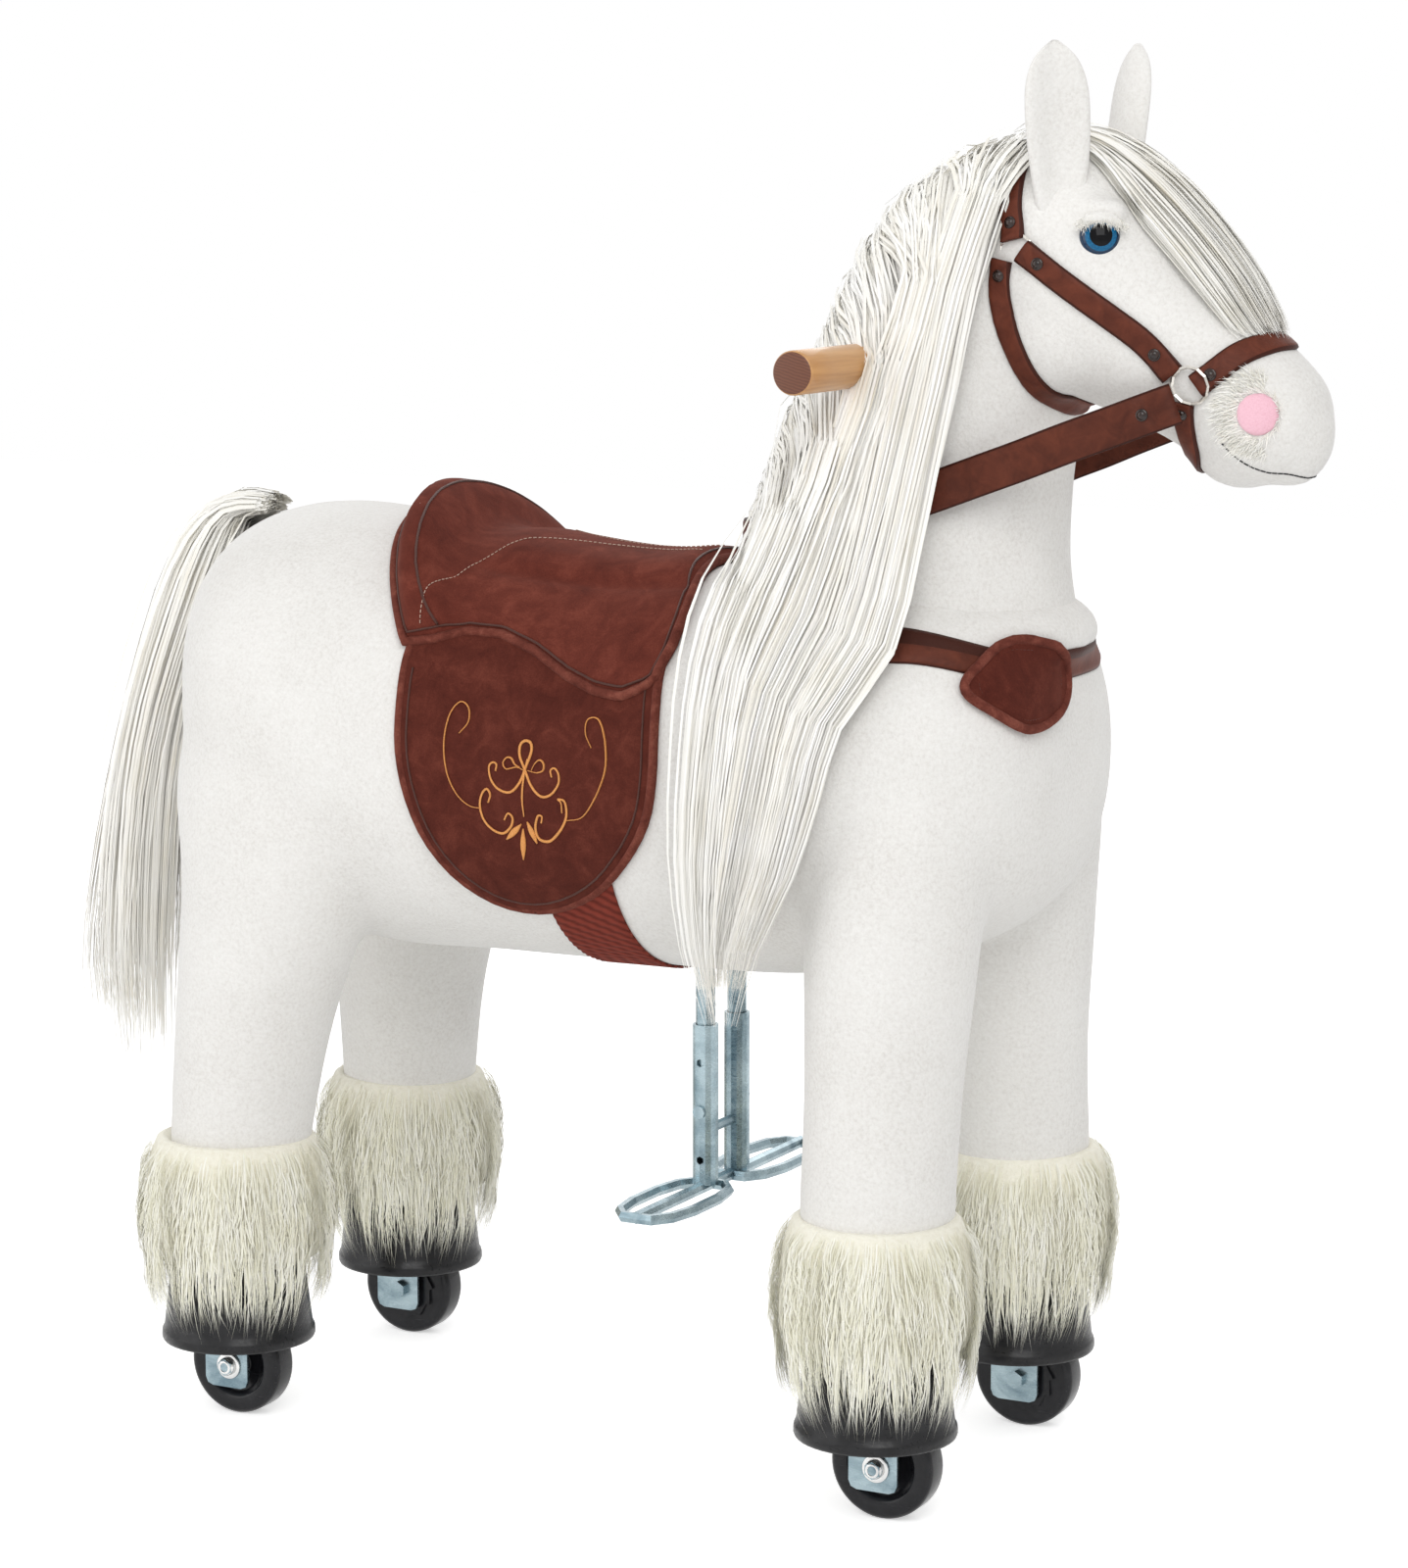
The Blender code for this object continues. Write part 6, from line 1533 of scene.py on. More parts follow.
ears, eyes, lids, lidLines, fluffs = [], [], [], [], []
for label, side in hands:
    piece = addEar(label, side)
    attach(piece, "head")
    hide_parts("ear_" + label)
    ears.append(piece)
    piece, centre, out = addEye(label, side)
    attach(piece, "head")
    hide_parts("eye_" + label)
    eyes.append(piece)
    lid, line = addLid(label, centre, out)
    lids.append(lid)
    lidLines.append(line)
    fluff = addFluff("lidFluff_" + label, lidRoots(side, centre, out), *eye["hair"], 80 + side, 0.25)
    fluffs.append(fluff)
    for extra in (lid, line, fluff):
        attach(extra, "head")

nose = {"patch": 0.0138, "x": 0.4650, "y": 0.0440, "z": 0.7440, "steps": 15, "hairs": 1500, "hair": (0.0088, 0.0007)}


def addNostril(label, side):
    # A round velvety patch, slightly domed, laid on the muzzle.
    near, normal, _, _ = headTree.find_nearest(Vector((nose["x"], side * nose["y"], nose["z"])))
    across = normal.cross(Vector((0, 0, 1))).normalized()
    up = across.cross(normal).normalized()
    steps = nose["steps"]

    def place(r, c):
        u, v = discOf(2 * c / (steps - 1) - 1, 2 * r / (steps - 1) - 1)
        ragged = 1 + 0.045 * noise.noise(Vector((u * 3.1, v * 3.1, side * 2.0)))
        ground, out, _, _ = headTree.find_nearest(near + (across * u + up * v) * nose["patch"] * ragged)
        dome = math.sqrt(max(1 - min(math.hypot(u, v), 1) ** 2.5, 0))
        return ground + out * (0.0010 + 0.0020 * dome), ground + out * 0.0002

    return gridShell("nostril_" + label, *padGrids(steps, steps, place)), near, across, up


def muzzleRoots(side, near, across, up):
    rng = random.Random(90 + side)
    rear = -1 if across.x > 0 else 1
    roots = []
    for _ in range(nose["hairs"]):
        a = rng.uniform(0, 2 * math.pi)
        reach = nose["patch"] * rng.uniform(1.0, 2.15)
        u, v = math.cos(a), math.sin(a)
        if u * rear < -0.25 and reach > nose["patch"] * 1.15:
            continue
        ground, out, _, _ = headTree.find_nearest(near + across * (u * reach) + up * (v * reach * 1.05))
        way = out * 0.55 + (across * u + up * v) * 0.35 + across * rear * 0.45
        roots.append((ground - out * 0.0005, way.normalized()))
    return roots


nostrils = []
for label, side in hands:
    patch, near, across, up = addNostril(label, side)
    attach(patch, "head")
    nostrils.append(patch)
    roots = muzzleRoots(side, near, across, up)
    fluff = addFluff("muzzleFluff_" + label, roots, *nose["hair"], 92 + side, 0.15, headTree)
    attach(fluff, "head")
    fluffs.append(fluff)

mouthLine = [(0.4395, -0.0405, 0.7265), (0.4470, -0.0395, 0.7190), (0.4570, -0.0360, 0.7120),
             (0.4680, -0.0300, 0.7065), (0.4800, -0.0190, 0.7040), (0.4850, 0.0, 0.7035)]


def addMouth():
    path = pathOf(mirroredRun(mouthLine), 8)
    line = []
    for point in path:
        near, out, _, _ = headTree.find_nearest(point)
        line.append(near + out * 0.0002)
    return addParts("mouthStitches", *stitchParts(line, 0.0040, 0.0034, 0.0006))


mouth = addMouth()
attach(mouth, "head")
print("face made")


# Forelock

forelock = {
    "locks": 38, "perLock": 26, "width": 0.0017, "seed": 31,
    "spread": (0.002, 0.0045, 0.0022), "uneven": 0.035, "turn": (1.2, 1.9),
}
forelockRuns = {
    # centre line from the poll over the brow to the noseband, and its half widths
    "centre": [(0.300, 0.922), (0.328, 0.922), (0.358, 0.913), (0.392, 0.893), (0.424, 0.862), (0.448, 0.832),
               (0.463, 0.806), (0.469, 0.791)],
    "low": [(0.300, 0.914), (0.330, 0.912), (0.352, 0.900), (0.374, 0.872), (0.398, 0.845), (0.418, 0.820),
            (0.436, 0.797), (0.449, 0.785)],
    "half": [0.016, 0.024, 0.034, 0.041, 0.041, 0.037, 0.030, 0.023],
}


def addForelock():
    rng = random.Random(forelock["seed"])
    hair = Strands(lambda p: headTree.find_nearest(p)[1])
    for lock in range(forelock["locks"]):
        sideways = (lock + rng.uniform(0.1, 0.9)) / forelock["locks"] * 2 - 1
        depth = rng.random() ** 1.5
        share = min(sideways ** 2 * 0.8 + 0.22 * depth, 1.0)
        rows = []
        for (cx, cz), (lx, lz), half in zip(*(forelockRuns[key] for key in ("centre", "low", "half"))):
            rows.append((cx + (lx - cx) * share, sideways * half, cz + (lz - cz) * share))
        endAt = rng.uniform(0.86, 1.0)
        lockTone = rng.random()
        wave = rng.uniform(-0.004, 0.004)

        def placed(point, k, t, spread):
            p = point + spread * (0.5 + 0.5 * math.sin(math.pi * min(t + 0.15, 1)))
            p.y += wave * t * t
            return clearOf(headTree, p, 0.0022)

        growLock(hair, rng, forelock, pathOf(rows, 3), endAt, lockTone, placed)
    return hair.build("forelockHair")


forelockHair = addForelock()
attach(forelockHair, "head")
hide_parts("forelock")
print("forelock made")


# Handle, wheels and bolts, drawn rounder than the frame's own faces

metal = {
    "wheelRadius": 0.038, "wheelEdge": 0.0052, "wheelHalf": 0.012, "treadHalf": 0.0068, "sides": 72,
    "teeth": 12, "toothRoot": 0.0225, "toothTip": 0.0254, "ratchet": (-0.0112, -0.0144), "ratchetBore": 0.40,
    "forkGap": 0.0033, "forkPlate": 0.0025, "axleZ": 0.03753, "frontX": 0.243, "rearX": -0.276, "track": 0.119,
    # (radius, height) outward along the axle
    "wheelFace": [(0.0046, 0.0150), (0.0098, 0.0150), (0.0106, 0.0142), (0.0112, 0.0082), (0.0122, 0.0074),
                  (0.0200, 0.0074), (0.0222, 0.0082), (0.0246, 0.0112), (0.0262, 0.0118), (0.0300, 0.0120)],
    "wheelBack": [(0.0262, -0.0119), (0.0110, -0.0118), (0.0100, -0.0160), (0.0046, -0.0160)],
    "washer": [(0.0030, 0.0003), (0.0093, 0.0003), (0.0097, 0.0007), (0.0097, 0.0015), (0.0092, 0.0019),
               (0.0030, 0.0019)],
    "screwHead": [(0.0030, 0.0016), (0.0066, 0.0016), (0.0068, 0.0024), (0.0066, 0.0040), (0.0059, 0.0057),
                  (0.0048, 0.0067), (0.0037, 0.0070), (0.0033, 0.0069), (0.0031, 0.0040), (0.0006, 0.0036)],
}
handleBar = {"x": 0.20, "z": 0.770, "radius": 0.0145, "half": 0.182, "bevel": 0.0022, "sides": 48}


def addHandle():
    r, h, bevel = handleBar["radius"], handleBar["half"], handleBar["bevel"]
    profile = [(r * 0.80, -h), (r * 0.93, -h + 0.0006), (r, -h + bevel)]
    profile += [(r, -h + bevel + (2 * h - 2 * bevel) * k / 12) for k in range(1, 12)]
    profile += [(r, h - bevel), (r * 0.93, h - 0.0006), (r * 0.80, h)]
    centre = (handleBar["x"], 0, handleBar["z"])
    return addParts("handleDowel", turnedParts(profile, centre, (0, 1, 0), handleBar["sides"]))


handle = addHandle()
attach(handle, "head")
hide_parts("handle")


def axlePlace(place):
    x = metal["frontX"] if place.startswith("front") else metal["rearX"]
    return x, 1 if place.endswith("left") else -1


def wheelOutline():
    # The tyre's section, from its outer face over the tread to its inner face.
    edge, half, reach = metal["wheelEdge"], metal["treadHalf"], metal["wheelRadius"] - 0.0004
    turns = [math.radians(degrees) for degrees in (18, 36, 54, 72, 90)]
    outline = list(metal["wheelFace"])
    for a in [0.0] + turns:
        outline.append((reach - edge + edge * math.sin(a), half + edge * math.cos(a)))
    outline += [(reach, 0.0), (reach, -half)]
    for a in turns:
        outline.append((reach - edge + edge * math.cos(a), -half - edge * math.sin(a)))
    return outline + metal["wheelBack"]


def addWheel(place):
    # Glossy moulded tyre on its hub, its outer face dished round the bore, with the ratchet ring inside.
    x, side = axlePlace(place)
    centre = (x, side * metal["track"], metal["axleZ"])
    wheelParts = [turnedParts(wheelOutline(), centre, (0, side, 0), metal["sides"], True)]
    teeth = []
    for k in range(metal["teeth"]):
        for radius, step in ((metal["toothRoot"], 0.0), (metal["toothTip"], 0.1)):
            a = 2 * math.pi * (k + step) / metal["teeth"]
            teeth.append((radius * math.cos(a), radius * math.sin(a)))
    points = []
    near, far = metal["ratchet"]
    bore = metal["ratchetBore"]
    for inset, depth in ((1.0, near), (1.0, far), (bore, far), (bore, near)):
        for u, v in teeth:
            points.append((x + u * inset * side, side * (metal["track"] + depth), metal["axleZ"] + v * inset))
    ratchetFaces = gridFaces(4, len(teeth), True, True)
    wheelParts.append((points, ratchetFaces))
    wheel = addParts("wheel_" + place + "Moulded", *wheelParts)
    for polygon in wheel.data.polygons[-len(ratchetFaces):]:
        polygon.use_smooth = False
    return wheel


def addBolt(place):
    # Washer and domed screw head with its hexagon socket, over the axle's outer end.
    x, side = axlePlace(place)
    out = metal["track"] + metal["wheelHalf"] + metal["forkGap"] + metal["forkPlate"]
    centre = (x, side * out, metal["axleZ"])
    washer = turnedParts(metal["washer"], centre, (0, side, 0), 40, True)
    return addParts("axleBolt_" + place, washer, turnedParts(metal["screwHead"], centre, (0, side, 0), 36))


wheels, bolts = [], []
for place in legPlaces:
    wheel, bolt = addWheel(place), addBolt(place)
    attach(wheel, "wheel_" + place)
    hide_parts("wheel_" + place)
    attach(bolt, frame["nodes"]["fork_" + place]["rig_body"])
    wheels.append(wheel)
    bolts.append(bolt)
print("handle, wheels and bolts made")


# Effects that several materials share

def putOut(group, put, **sockets):
    for label, socket in sockets.items():
        group.links.new(socket, put[label])
    return group


def groupNap():
    # Short pile: fine tufts in soft patches.
    group, given, put = newGroup("softNap", {"Scale": 420.0, "Patch": 16.0}, {"Height": "Float", "Tone": "Float"})
    place = placeOf(group)
    fine = addNoise(group, place, given["Scale"], 3.0, 0.62)
    patch = addNoise(group, place, given["Patch"], 4.0, 0.55, 0.35)
    height = addMath(group, "MULTIPLY_ADD", patch, 0.35, addMath(group, "MULTIPLY", fine, 0.75))
    return putOut(group, put, Height=height, Tone=patch)


def groupMottle():
    # Brushed patches of suede, light where the pile stands up, with a few bright specks.
    outputs = {"Tone": "Float", "Speck": "Float", "Height": "Float"}
    group, given, put = newGroup("mottle", {"Scale": 22.0, "Specks": 140.0}, outputs)
    place = placeOf(group)
    wide = addNoise(group, place, given["Scale"], 5.0, 0.66, 0.5)
    fine = addNoise(group, place, 900.0, 2.0, 0.6)
    cells = addNode(group, "TexVoronoi", {"Vector": place, "Scale": given["Specks"]}).outputs
    near = addMath(group, "LESS_THAN", cells["Distance"], 0.045)
    pick = addNode(group, "SeparateColor", {"Color": cells["Color"]}).outputs[0]
    speck = addMath(group, "MULTIPLY", near, addMath(group, "GREATER_THAN", pick, 0.985))
    tone = addMath(group, "MULTIPLY_ADD", fine, 0.35, wide)
    return putOut(group, put, Tone=tone, Speck=speck, Height=fine)


def groupGrain():
    # Pebbled leather grain with creases.
    outputs = {"Height": "Float", "Tone": "Float"}
    group, given, put = newGroup("leatherGrain", {"Scale": 520.0, "Crease": 45.0}, outputs)
    place = placeOf(group)
    cells = addNode(group, "TexVoronoi", {"Vector": place, "Scale": given["Scale"]}, feature="SMOOTH_F1")
    crease = addNoise(group, place, given["Crease"], 5.0, 0.6, 0.8)
    height = addMath(group, "MULTIPLY_ADD", crease, 0.8, cells.outputs["Distance"])
    return putOut(group, put, Height=height, Tone=crease)


def groupEdgeLine():
    # A mask that is 1 along the two long edges of a strap whose map is in metres.
    group, given, put = newGroup("edgeLine", {"Width": 0.0165, "Line": 0.0016}, {"Mask": "Float"})
    across = addNode(group, "SeparateXYZ", {"Vector": placeOf(group, "UV")}).outputs["X"]
    near = addMath(group, "MINIMUM", across, addMath(group, "SUBTRACT", given["Width"], across))
    return putOut(group, put, Mask=addMath(group, "LESS_THAN", near, given["Line"]))


def groupStrand():
    # Tone along a hair and from hair to hair.
    group, given, put = newGroup("strandTone", {"Streaks": 30.0}, {"Along": "Float", "Tone": "Float"})
    alongHair = addNode(group, "Attribute", attribute_name="along").outputs["Fac"]
    own = addNode(group, "Attribute", attribute_name="tone").outputs["Fac"]
    streak = addMath(group, "MULTIPLY", addNoise(group, placeOf(group), given["Streaks"]), 0.5)
    return putOut(group, put, Along=alongHair, Tone=addMath(group, "MULTIPLY_ADD", own, 0.55, streak))


def groupCloud():
    # Cloudy plating with fine rubbed lines.
    outputs = {"Cloud": "Float", "Rub": "Float"}
    group, given, put = newGroup("platedCloud", {"Scale": 30.0, "Stretch": 900.0}, outputs)
    place = placeOf(group)
    cloud = addNoise(group, place, given["Scale"], 4.0, 0.6, 0.6)
    rub = addNoise(group, stretched(group, place, (0.12, 1.0, 1.0)), given["Stretch"])
    return putOut(group, put, Cloud=cloud, Rub=rub)


def groupDust():
    # Settled dust on what faces up.
    group, given, put = newGroup("dust", {"Scale": 60.0, "Amount": 0.25}, {"Mask": "Float"})
    facing = addNode(group, "SeparateXYZ", {"Vector": addNode(group, "NewGeometry").outputs["Normal"]}).outputs["Z"]
    patch = addNoise(group, placeOf(group), given["Scale"], 4.0)
    both = addMath(group, "MULTIPLY", addMath(group, "MAXIMUM", facing, 0.5), patch)
    return putOut(group, put, Mask=addMath(group, "MULTIPLY", both, given["Amount"], use_clamp=True))


nap, mottle, leatherGrain, edgeLine = groupNap(), groupMottle(), groupGrain(), groupEdgeLine()
strandTone, platedCloud, dust = groupStrand(), groupCloud(), groupDust()


def colourOf(shader, tree, socket):
    tree.links.new(socket, shader.inputs["Base Color"])


# Materials

finish = {
    "plushLow": (0.66, 0.635, 0.60), "plushHigh": (0.85, 0.84, 0.815),
    "hairLow": (0.80, 0.745, 0.61), "hairMid": (0.93, 0.91, 0.85), "hairHigh": (0.98, 0.975, 0.955),
    "suedeLow": (0.088, 0.0190, 0.0132), "suedeMid": (0.128, 0.0285, 0.0190), "suedeHigh": (0.190, 0.047, 0.031),
    "strapLow": (0.078, 0.0185, 0.0100), "strapHigh": (0.142, 0.0355, 0.0185),
    "webLow": (0.105, 0.019, 0.013), "webHigh": (0.235, 0.044, 0.029),
    "zincLow": (0.13, 0.20, 0.24), "zincHigh": (0.36, 0.46, 0.50),
    "beechLow": (0.42, 0.19, 0.060), "beechHigh": (0.64, 0.34, 0.125), "beechEnd": (0.16, 0.055, 0.028),
    "plyLow": (0.30, 0.18, 0.09), "plyHigh": (0.62, 0.44, 0.26),
    "irisLow": (0.003, 0.085, 0.20), "irisHigh": (0.008, 0.155, 0.33),
}


def shaded(colour, share):
    return tuple(v * share for v in colour)


def makePlush(name, low, high, scale=420.0, depth=0.0011):
    material, tree, shader = newMaterial(name, 0.92, Sheen_Weight=0.30, Sheen_Roughness=0.45)
    pile = placeGroup(tree, nap, Scale=scale, Patch=15.0)
    middle = tuple((a + 2 * b) / 3 for a, b in zip(low, high))
    colourOf(shader, tree, addRamp(tree, pile["Height"], [(0.25, low), (0.52, middle), (0.75, high)]))
    linkBump(tree, shader, pile["Height"], 0.55, depth)
    return material


def makeHair(name, low, middle, high, roughness, streaks, tipAlpha=None):
    material, tree, shader = newMaterial(name, roughness, Specular_IOR_Level=0.55, Sheen_Weight=0.10)
    tone = placeGroup(tree, strandTone, Streaks=streaks)
    colourOf(shader, tree, addRamp(tree, tone["Tone"], [(0.10, low), (0.42, middle), (0.80, high)]))
    if tipAlpha is not None:
        fade = addRamp(tree, tone["Along"], [(0.0, grey(1.0)), (0.55, grey(1.0)), (1.0, grey(tipAlpha))])
        tree.links.new(fade, shader.inputs["Alpha"])
    return material


def makeSuede(name, low, middle, high, scale=22.0):
    material, tree, shader = newMaterial(name, 0.95, Sheen_Weight=0.07, Sheen_Roughness=0.5,
                                         Specular_IOR_Level=0.10, Sheen_Tint=(0.75, 0.42, 0.33, 1))
    brushed = placeGroup(tree, mottle, Scale=scale, Specks=150.0)
    base = addRamp(tree, brushed["Tone"], [(0.44, low), (0.68, middle), (0.92, high)])
    colourOf(shader, tree, mixOver(tree, base, brushed["Speck"], (0.62, 0.45, 0.38)))
    linkBump(tree, shader, brushed["Height"], 0.35, 0.0006)
    return material


def makeLeather(name, low, high, width):
    material, tree, shader = newMaterial(name, 0.52, Specular_IOR_Level=0.16)
    grain = placeGroup(tree, leatherGrain, Scale=620.0, Crease=70.0)
    base = addRamp(tree, grain["Tone"], [(0.32, low), (0.70, high)])
    mask = placeGroup(tree, edgeLine, Width=width, Line=0.0013)["Mask"]
    colourOf(shader, tree, mixOver(tree, base, mask, shaded(low, 0.62)))
    linkBump(tree, shader, grain["Height"], 0.30, 0.0005)
    return material


def makeThread(name, low, high):
    material, tree, shader = newMaterial(name, 0.50, Specular_IOR_Level=0.30)
    twist = addWave(tree, placeOf(tree), 1500.0, 2.0, 1.0, wave_type="BANDS", bands_direction="DIAGONAL")
    colourOf(shader, tree, addRamp(tree, twist, [(0.1, low), (0.8, high)]))
    linkBump(tree, shader, twist, 0.5, 0.0003)
    return material


def makeWorn(material, tree, shader, low, high, wear):
    # Clouded colour with settled dust, and rubbed lines in the roughness.
    worn = placeGroup(tree, platedCloud, Scale=wear["clouds"], Stretch=wear["lines"])
    base = addRamp(tree, worn["Cloud"], [(wear["from"], low), (wear["to"], high)])
    settled = placeGroup(tree, dust, Scale=wear["dustScale"], Amount=wear["dust"])["Mask"]
    colourOf(shader, tree, mixOver(tree, base, settled, wear["dustColour"]))
    rough = addRamp(tree, worn["Rub"], [(place, grey(value)) for place, value in wear["rough"]])
    tree.links.new(rough, shader.inputs["Roughness"])
    linkBump(tree, shader, worn["Rub"], *wear["bump"])
    return material


def makeZinc(name, low, high, roughness=0.27):
    return makeWorn(*newMaterial(name, roughness, Metallic=0.92), low, high, {
        "clouds": 34.0, "lines": 700.0, "from": 0.30, "to": 0.62,
        "dustScale": 90.0, "dust": 0.16, "dustColour": (0.42, 0.40, 0.37),
        "rough": [(0.3, roughness * 0.75), (0.7, roughness * 1.45)], "bump": (0.06, 0.0004),
    })


def makeMoulded(name, low, high, roughness, lines=300.0):
    # Moulded plastic or rubber with faint scuffs and dust.
    made = newMaterial(name, roughness, Coat_Weight=0.10, Coat_Roughness=0.12, Specular_IOR_Level=0.22)
    return makeWorn(*made, low, high, {
        "clouds": 55.0, "lines": lines, "from": 0.35, "to": 0.75,
        "dustScale": 120.0, "dust": 0.03, "dustColour": (0.30, 0.29, 0.27),
        "rough": [(0.35, roughness * 0.8), (0.7, roughness * 1.4)], "bump": (0.08, 0.0003),
    })


def makeBeech():
    material, tree, shader = newMaterial("beechLacquered", 0.40, Coat_Weight=0.30)
    place = stretched(tree, placeOf(tree), (1.0, 0.05, 1.0))
    rays = addNoise(tree, place, 420.0, 4.0, 0.6)
    tone = addMath(tree, "MULTIPLY_ADD", rays, 0.5, addNoise(tree, place, 70.0, 3.0, 0.5, 0.6))
    colourOf(shader, tree, addRamp(tree, tone, [(0.50, finish["beechLow"]), (0.95, finish["beechHigh"])]))
    linkBump(tree, shader, rays, 0.12, 0.0003)
    return material


def makeEndGrain():
    material, tree, shader = newMaterial("beechEndStained", 0.55)
    rings = addWave(tree, placeOf(tree), 160.0, 3.0, wave_type="RINGS", rings_direction="Y")
    high = finish["beechEnd"]
    colourOf(shader, tree, addRamp(tree, rings, [(0.2, shaded(high, 0.7)), (0.8, high)]))
    linkBump(tree, shader, rings, 0.15, 0.0003)
    return material


def makeWebbing():
    material, tree, shader = newMaterial("webbingWoven", 0.85, Specular_IOR_Level=0.12)
    place = placeOf(tree, "UV")
    weft = addWave(tree, place, 260.0, 0.4, wave_type="BANDS", bands_direction="X")
    warp = addWave(tree, place, 34.0, 0.6, wave_type="BANDS", bands_direction="Y")
    both = addMath(tree, "MULTIPLY_ADD", weft, 0.45, warp)
    colourOf(shader, tree, addRamp(tree, both, [(0.15, finish["webLow"]), (1.0, finish["webHigh"])]))
    linkBump(tree, shader, both, 0.5, 0.0006)
    return material


def makePly():
    material, tree, shader = newMaterial("plyEdges", 0.62)
    place = placeOf(tree)
    layers = addWave(tree, place, 130.0, wave_type="BANDS", bands_direction="Z")
    grain = addNoise(tree, stretched(tree, place, (0.06, 1.0, 1.0)), 260.0, 4.0)
    both = addMath(tree, "MULTIPLY_ADD", grain, 0.7, layers)
    colourOf(shader, tree, addRamp(tree, both, [(0.3, finish["plyLow"]), (1.1, finish["plyHigh"])]))
    linkBump(tree, shader, grain, 0.2, 0.0004)
    return material


def makeIris():
    material, tree, shader = newMaterial("eyeIris", 0.10, Coat_Weight=0.12, Specular_IOR_Level=0.15)
    fibre = addNoise(tree, placeOf(tree), 900.0)
    colourOf(shader, tree, addRamp(tree, fibre, [(0.3, finish["irisLow"]), (0.7, finish["irisHigh"])]))
    return material


def makeGlossy(name, low, high, roughness, shine=0.28):
    material, tree, shader = newMaterial(name, roughness, Coat_Weight=shine, Specular_IOR_Level=shine)
    cloud = addNoise(tree, placeOf(tree), 300.0)
    colourOf(shader, tree, addRamp(tree, cloud, [(0.3, low), (0.7, high)]))
    return material


plushWhite = makePlush("plushWhite", finish["plushLow"], finish["plushHigh"])
plushPink = makePlush("plushPink", (0.74, 0.38, 0.46), (0.90, 0.57, 0.66), 900.0, 0.0006)
hairWhite = makeHair("hairSilky", finish["hairLow"], finish["hairMid"], finish["hairHigh"], 0.36, 34.0)
furWispy = makeHair("furWispy", (0.80, 0.775, 0.61), (0.88, 0.865, 0.72), (0.96, 0.95, 0.87), 0.6, 40.0, 0.25)
fluffWhite = makeHair("fluffWhite", (0.86, 0.83, 0.74), (0.94, 0.925, 0.87), (0.98, 0.975, 0.95), 0.7, 60.0, 0.5)
furBacking = makePlush("furBacking", (0.76, 0.72, 0.58), (0.92, 0.90, 0.79), 300.0, 0.0016)
suede = makeSuede("suedeBrown", finish["suedeLow"], finish["suedeMid"], finish["suedeHigh"], 48.0)
# Painted shade: the flaps and the chest badge take the seat's suede at 0.74 of its tones, darkened for the shade on
# their upright faces.
paintedShadeTones = [shaded(finish[key], 0.74) for key in ("suedeLow", "suedeMid", "suedeHigh")]
suedePaintedShade = makeSuede("suedePaintedShade", *paintedShadeTones, 55.0)
suedePiping = makeSuede("suedePiping", (0.085, 0.021, 0.015), (0.150, 0.040, 0.028), (0.24, 0.075, 0.052), 90.0)
strapLeather = makeLeather("strapBrown", finish["strapLow"], finish["strapHigh"], bridle["width"])
# Painted shade: the rein takes the strap leather at 0.85 of its tones, darkened for the shade it lies in round the
# neck.
reinPaintedShadeTones = [shaded(finish[key], 0.85) for key in ("strapLow", "strapHigh")]
reinLeatherPaintedShade = makeLeather("reinBrownPaintedShade", *reinPaintedShadeTones, rein["width"])
goldThread = makeThread("threadGold", (0.62, 0.20, 0.045), (0.93, 0.46, 0.14))
paleThread = makeThread("threadPale", (0.48, 0.30, 0.22), (0.74, 0.56, 0.46))
brownThread = makeThread("threadBrown", (0.05, 0.016, 0.012), (0.11, 0.04, 0.028))
darkThread = makeThread("threadDark", (0.018, 0.018, 0.020), (0.055, 0.055, 0.058))
webbing = makeWebbing()
zinc = makeZinc("zincBlue", finish["zincLow"], finish["zincHigh"])
boltSteel = makeZinc("boltBright", (0.60, 0.60, 0.60), (0.80, 0.80, 0.79), 0.17)
ringSteel = makeZinc("ringNickel", (0.50, 0.47, 0.42), (0.76, 0.73, 0.68), 0.20)
framePaint = makeMoulded("frameGrey", (0.10, 0.105, 0.11), (0.16, 0.165, 0.17), 0.45)
wheelBlack = makeMoulded("wheelBlack", (0.006, 0.006, 0.008), (0.016, 0.016, 0.019), 0.20)
bootBlack = makeMoulded("bootBlack", (0.006, 0.006, 0.007), (0.018, 0.018, 0.020), 0.34, 500.0)
rivetDark = makeGlossy("rivetDark", (0.010, 0.006, 0.005), (0.035, 0.016, 0.011), 0.16)
eyeDark = makeGlossy("eyeDark", (0.001, 0.001, 0.002), (0.003, 0.003, 0.004), 0.08, 0.10)
eyeRim = makeGlossy("eyeRim", (0.003, 0.020, 0.055), (0.005, 0.035, 0.09), 0.10)
eyeIris = makeIris()
beech, endGrain, ply = makeBeech(), makeEndGrain(), makePly()

paint(handle, beech, endGrain)
for polygon in handle.data.polygons:
    if abs(polygon.center.y) > handleBar["half"] - 0.0004:
        polygon.material_index = 1

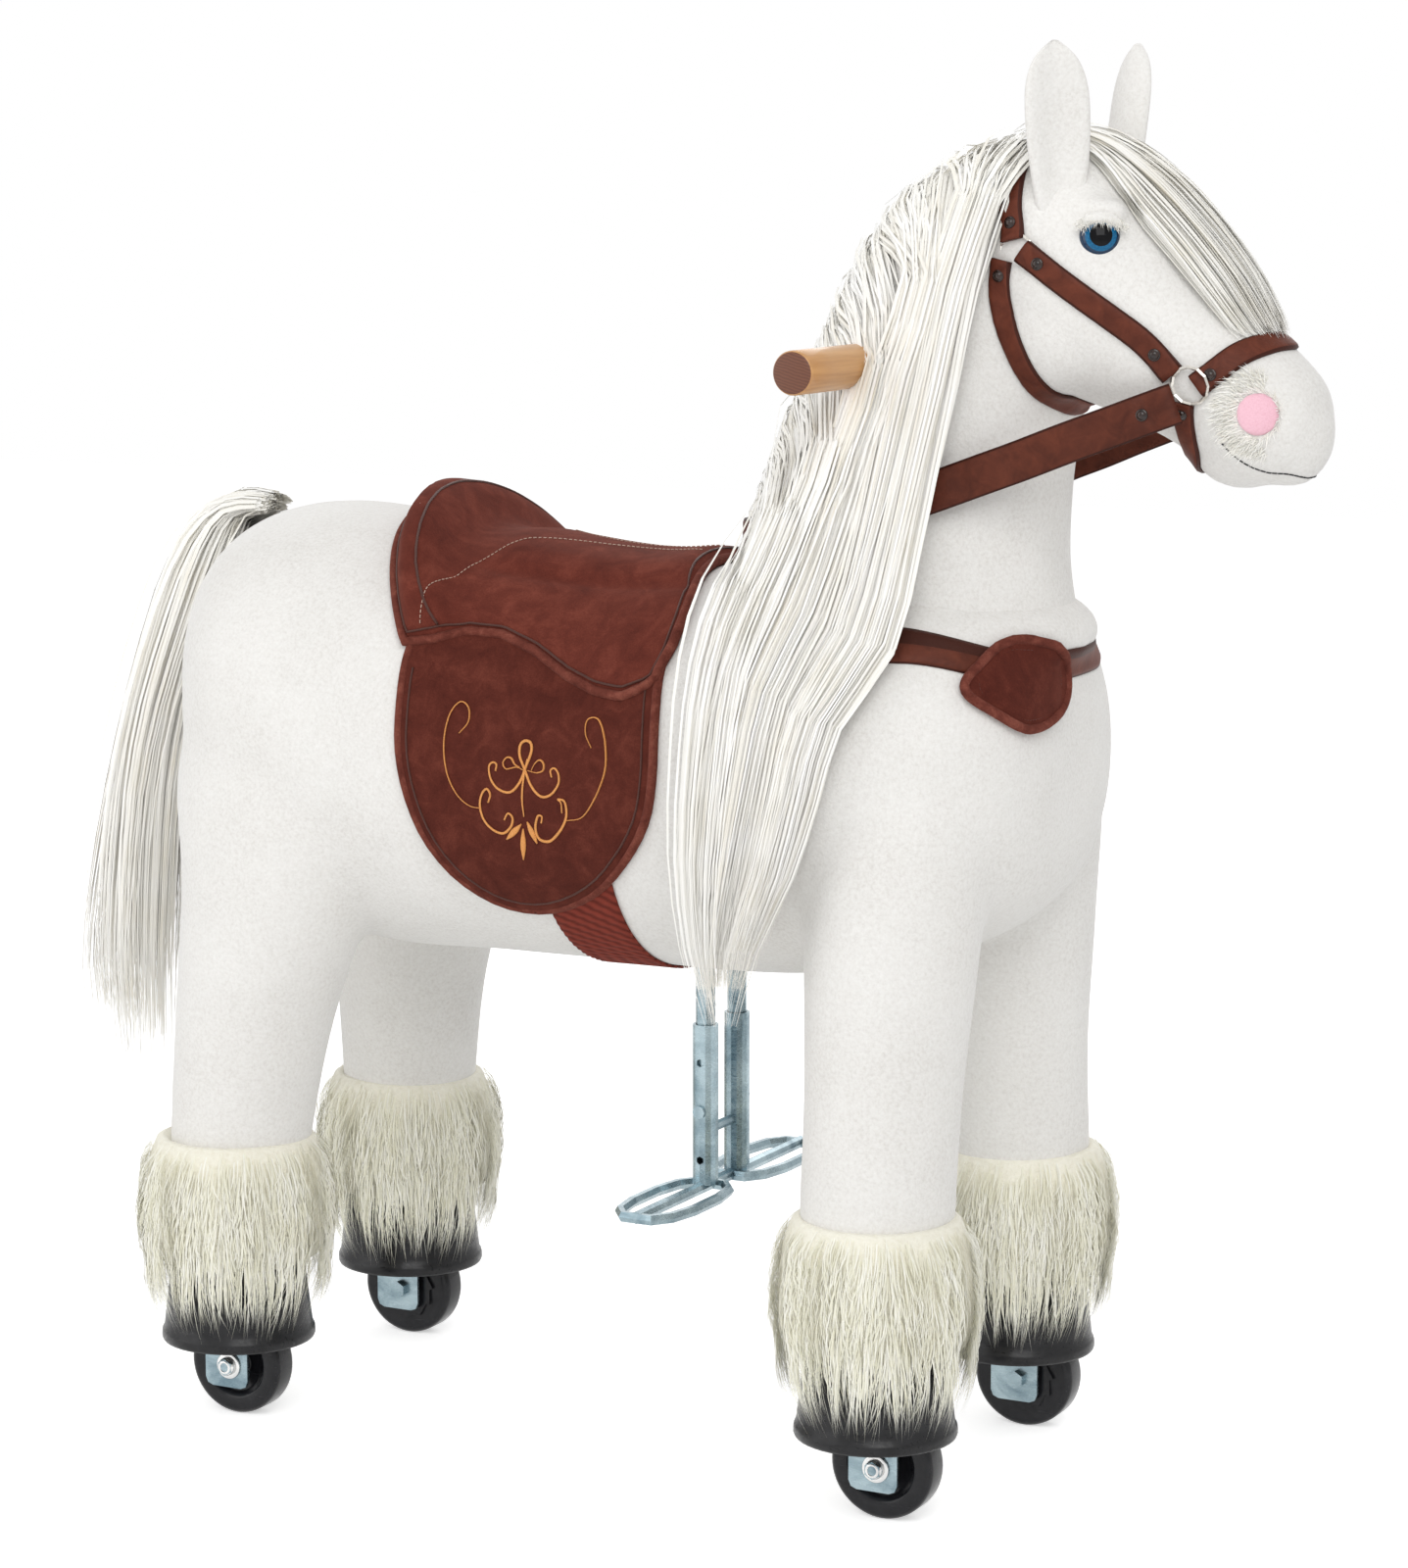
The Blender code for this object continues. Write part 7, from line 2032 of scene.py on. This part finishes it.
dressed = [
    (plushWhite, "white_plush", [trunk, frontQuarters, rearQuarters, head, *ears, *lids]),
    (plushPink, "white_plush", nostrils),
    (fluffWhite, "white_plush", fluffs),
    (hairWhite, "mane_hair", [maneHair, forelockHair]),
    (hairWhite, "tail_hair", [tailHair]),
    (furBacking, "cream_fur", furBases),
    (furWispy, "cream_fur", furStrands),
    (bootBlack, "black_hide", boots),
    (suede, "saddle_suede", [saddleSeat]),
    # flaps and badge in the suede with painted shade
    (suedePaintedShade, "saddle_suede", [*flaps, chestBadge]),
    (suedePiping, "saddle_suede", [seatPiping, *flapPipings, badgePiping]),
    (strapLeather, "strap_brown", [*straps, chestStrap]),
    # rein in the strap leather with painted shade
    (reinLeatherPaintedShade, "strap_brown", [reinStrap]),
    (goldThread, "saddle_suede", embroideries),
    (paleThread, "saddle_suede", [seatStitches]),
    (brownThread, "saddle_suede", [badgeSeam, saddleGrooves]),
    (darkThread, "white_plush", [mouth, *lidLines]),
    (webbing, "girth_webbing", [girthWebbing]),
    (rivetDark, "ring_steel", rivets),
    (wheelBlack, "wheel_black", wheels),
    (boltSteel, "zinc_steel", bolts),
]
for material, slotName, pieces in dressed:
    for piece in pieces:
        paint(piece, material)
for piece in eyes:
    numbers = [polygon.material_index for polygon in piece.data.polygons]
    paint(piece, eyeRim, eyeIris, eyeDark)
    for polygon, number in zip(piece.data.polygons, numbers):
        polygon.material_index = number

carried = {
    "fork_": zinc, "pawl_": zinc, "pedal_carriage": zinc, "footrest": zinc, "ring_": ringSteel,
    "main_frame": framePaint, "front_leg_frame": framePaint, "rear_leg_frame": framePaint, "front_link": framePaint,
    "rear_link": framePaint, "steering_column": framePaint, "seat_board": ply,
}
for name, node in frame["nodes"].items():
    for start, material in carried.items():
        if name.startswith(start) and not node.hide_render:
            paint(node, material)

print("materials given")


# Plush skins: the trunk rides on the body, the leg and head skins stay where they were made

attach(trunk, "body")
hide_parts("body_plush")
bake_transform(frontQuarters)
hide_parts("leg_plush_front_left", "leg_plush_front_right")
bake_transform(rearQuarters)
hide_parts("leg_plush_rear_left", "leg_plush_rear_right")
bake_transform(head)
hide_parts("neck_plush", "head_plush")


# Studio: pale floor, white behind, soft lamps

def makeFloor():
    half = light["floorHalf"]
    corners = [(-half, -half, 0), (half, -half, 0), (half, half, 0), (-half, half, 0)]
    floor = addMesh("floor", corners, [(0, 1, 2, 3)], False)
    material, tree, shader = newMaterial("floorPale", 0.9, Specular_IOR_Level=0.1,
                                         Base_Color=(*light["floor"], 1), Emission_Color=(1, 1, 1, 1))
    rays = addNode(tree, "LightPath").outputs
    seen = addMath(tree, "MAXIMUM", rays["Is Camera Ray"], rays["Is Glossy Ray"])
    tree.links.new(addMath(tree, "MULTIPLY", seen, light["floorGlow"]), shader.inputs["Emission Strength"])
    paint(floor, material)


def makeWorld():
    world = bpy.context.scene.world or bpy.data.worlds.new("world")
    bpy.context.scene.world = world
    world.use_nodes = True
    tree = world.node_tree
    background = next(n for n in tree.nodes if n.type == "BACKGROUND")
    background.inputs["Color"].default_value = (1, 1, 1, 1)
    rays = addNode(tree, "LightPath").outputs
    first = addMath(tree, "MAXIMUM", rays["Is Camera Ray"], rays["Is Glossy Ray"])
    seen = addMath(tree, "MAXIMUM", first, rays["Is Transmission Ray"])
    strength = addMath(tree, "MULTIPLY_ADD", seen, 1.0 - light["world"], light["world"])
    tree.links.new(strength, background.inputs["Strength"])


addCamera()
for name, place, size, power in light["lamps"]:
    addLamp(name, place, light["aim"], size, power)
makeFloor()
makeWorld()
bpy.context.scene.view_settings.view_transform = "Standard"
print("studio set")
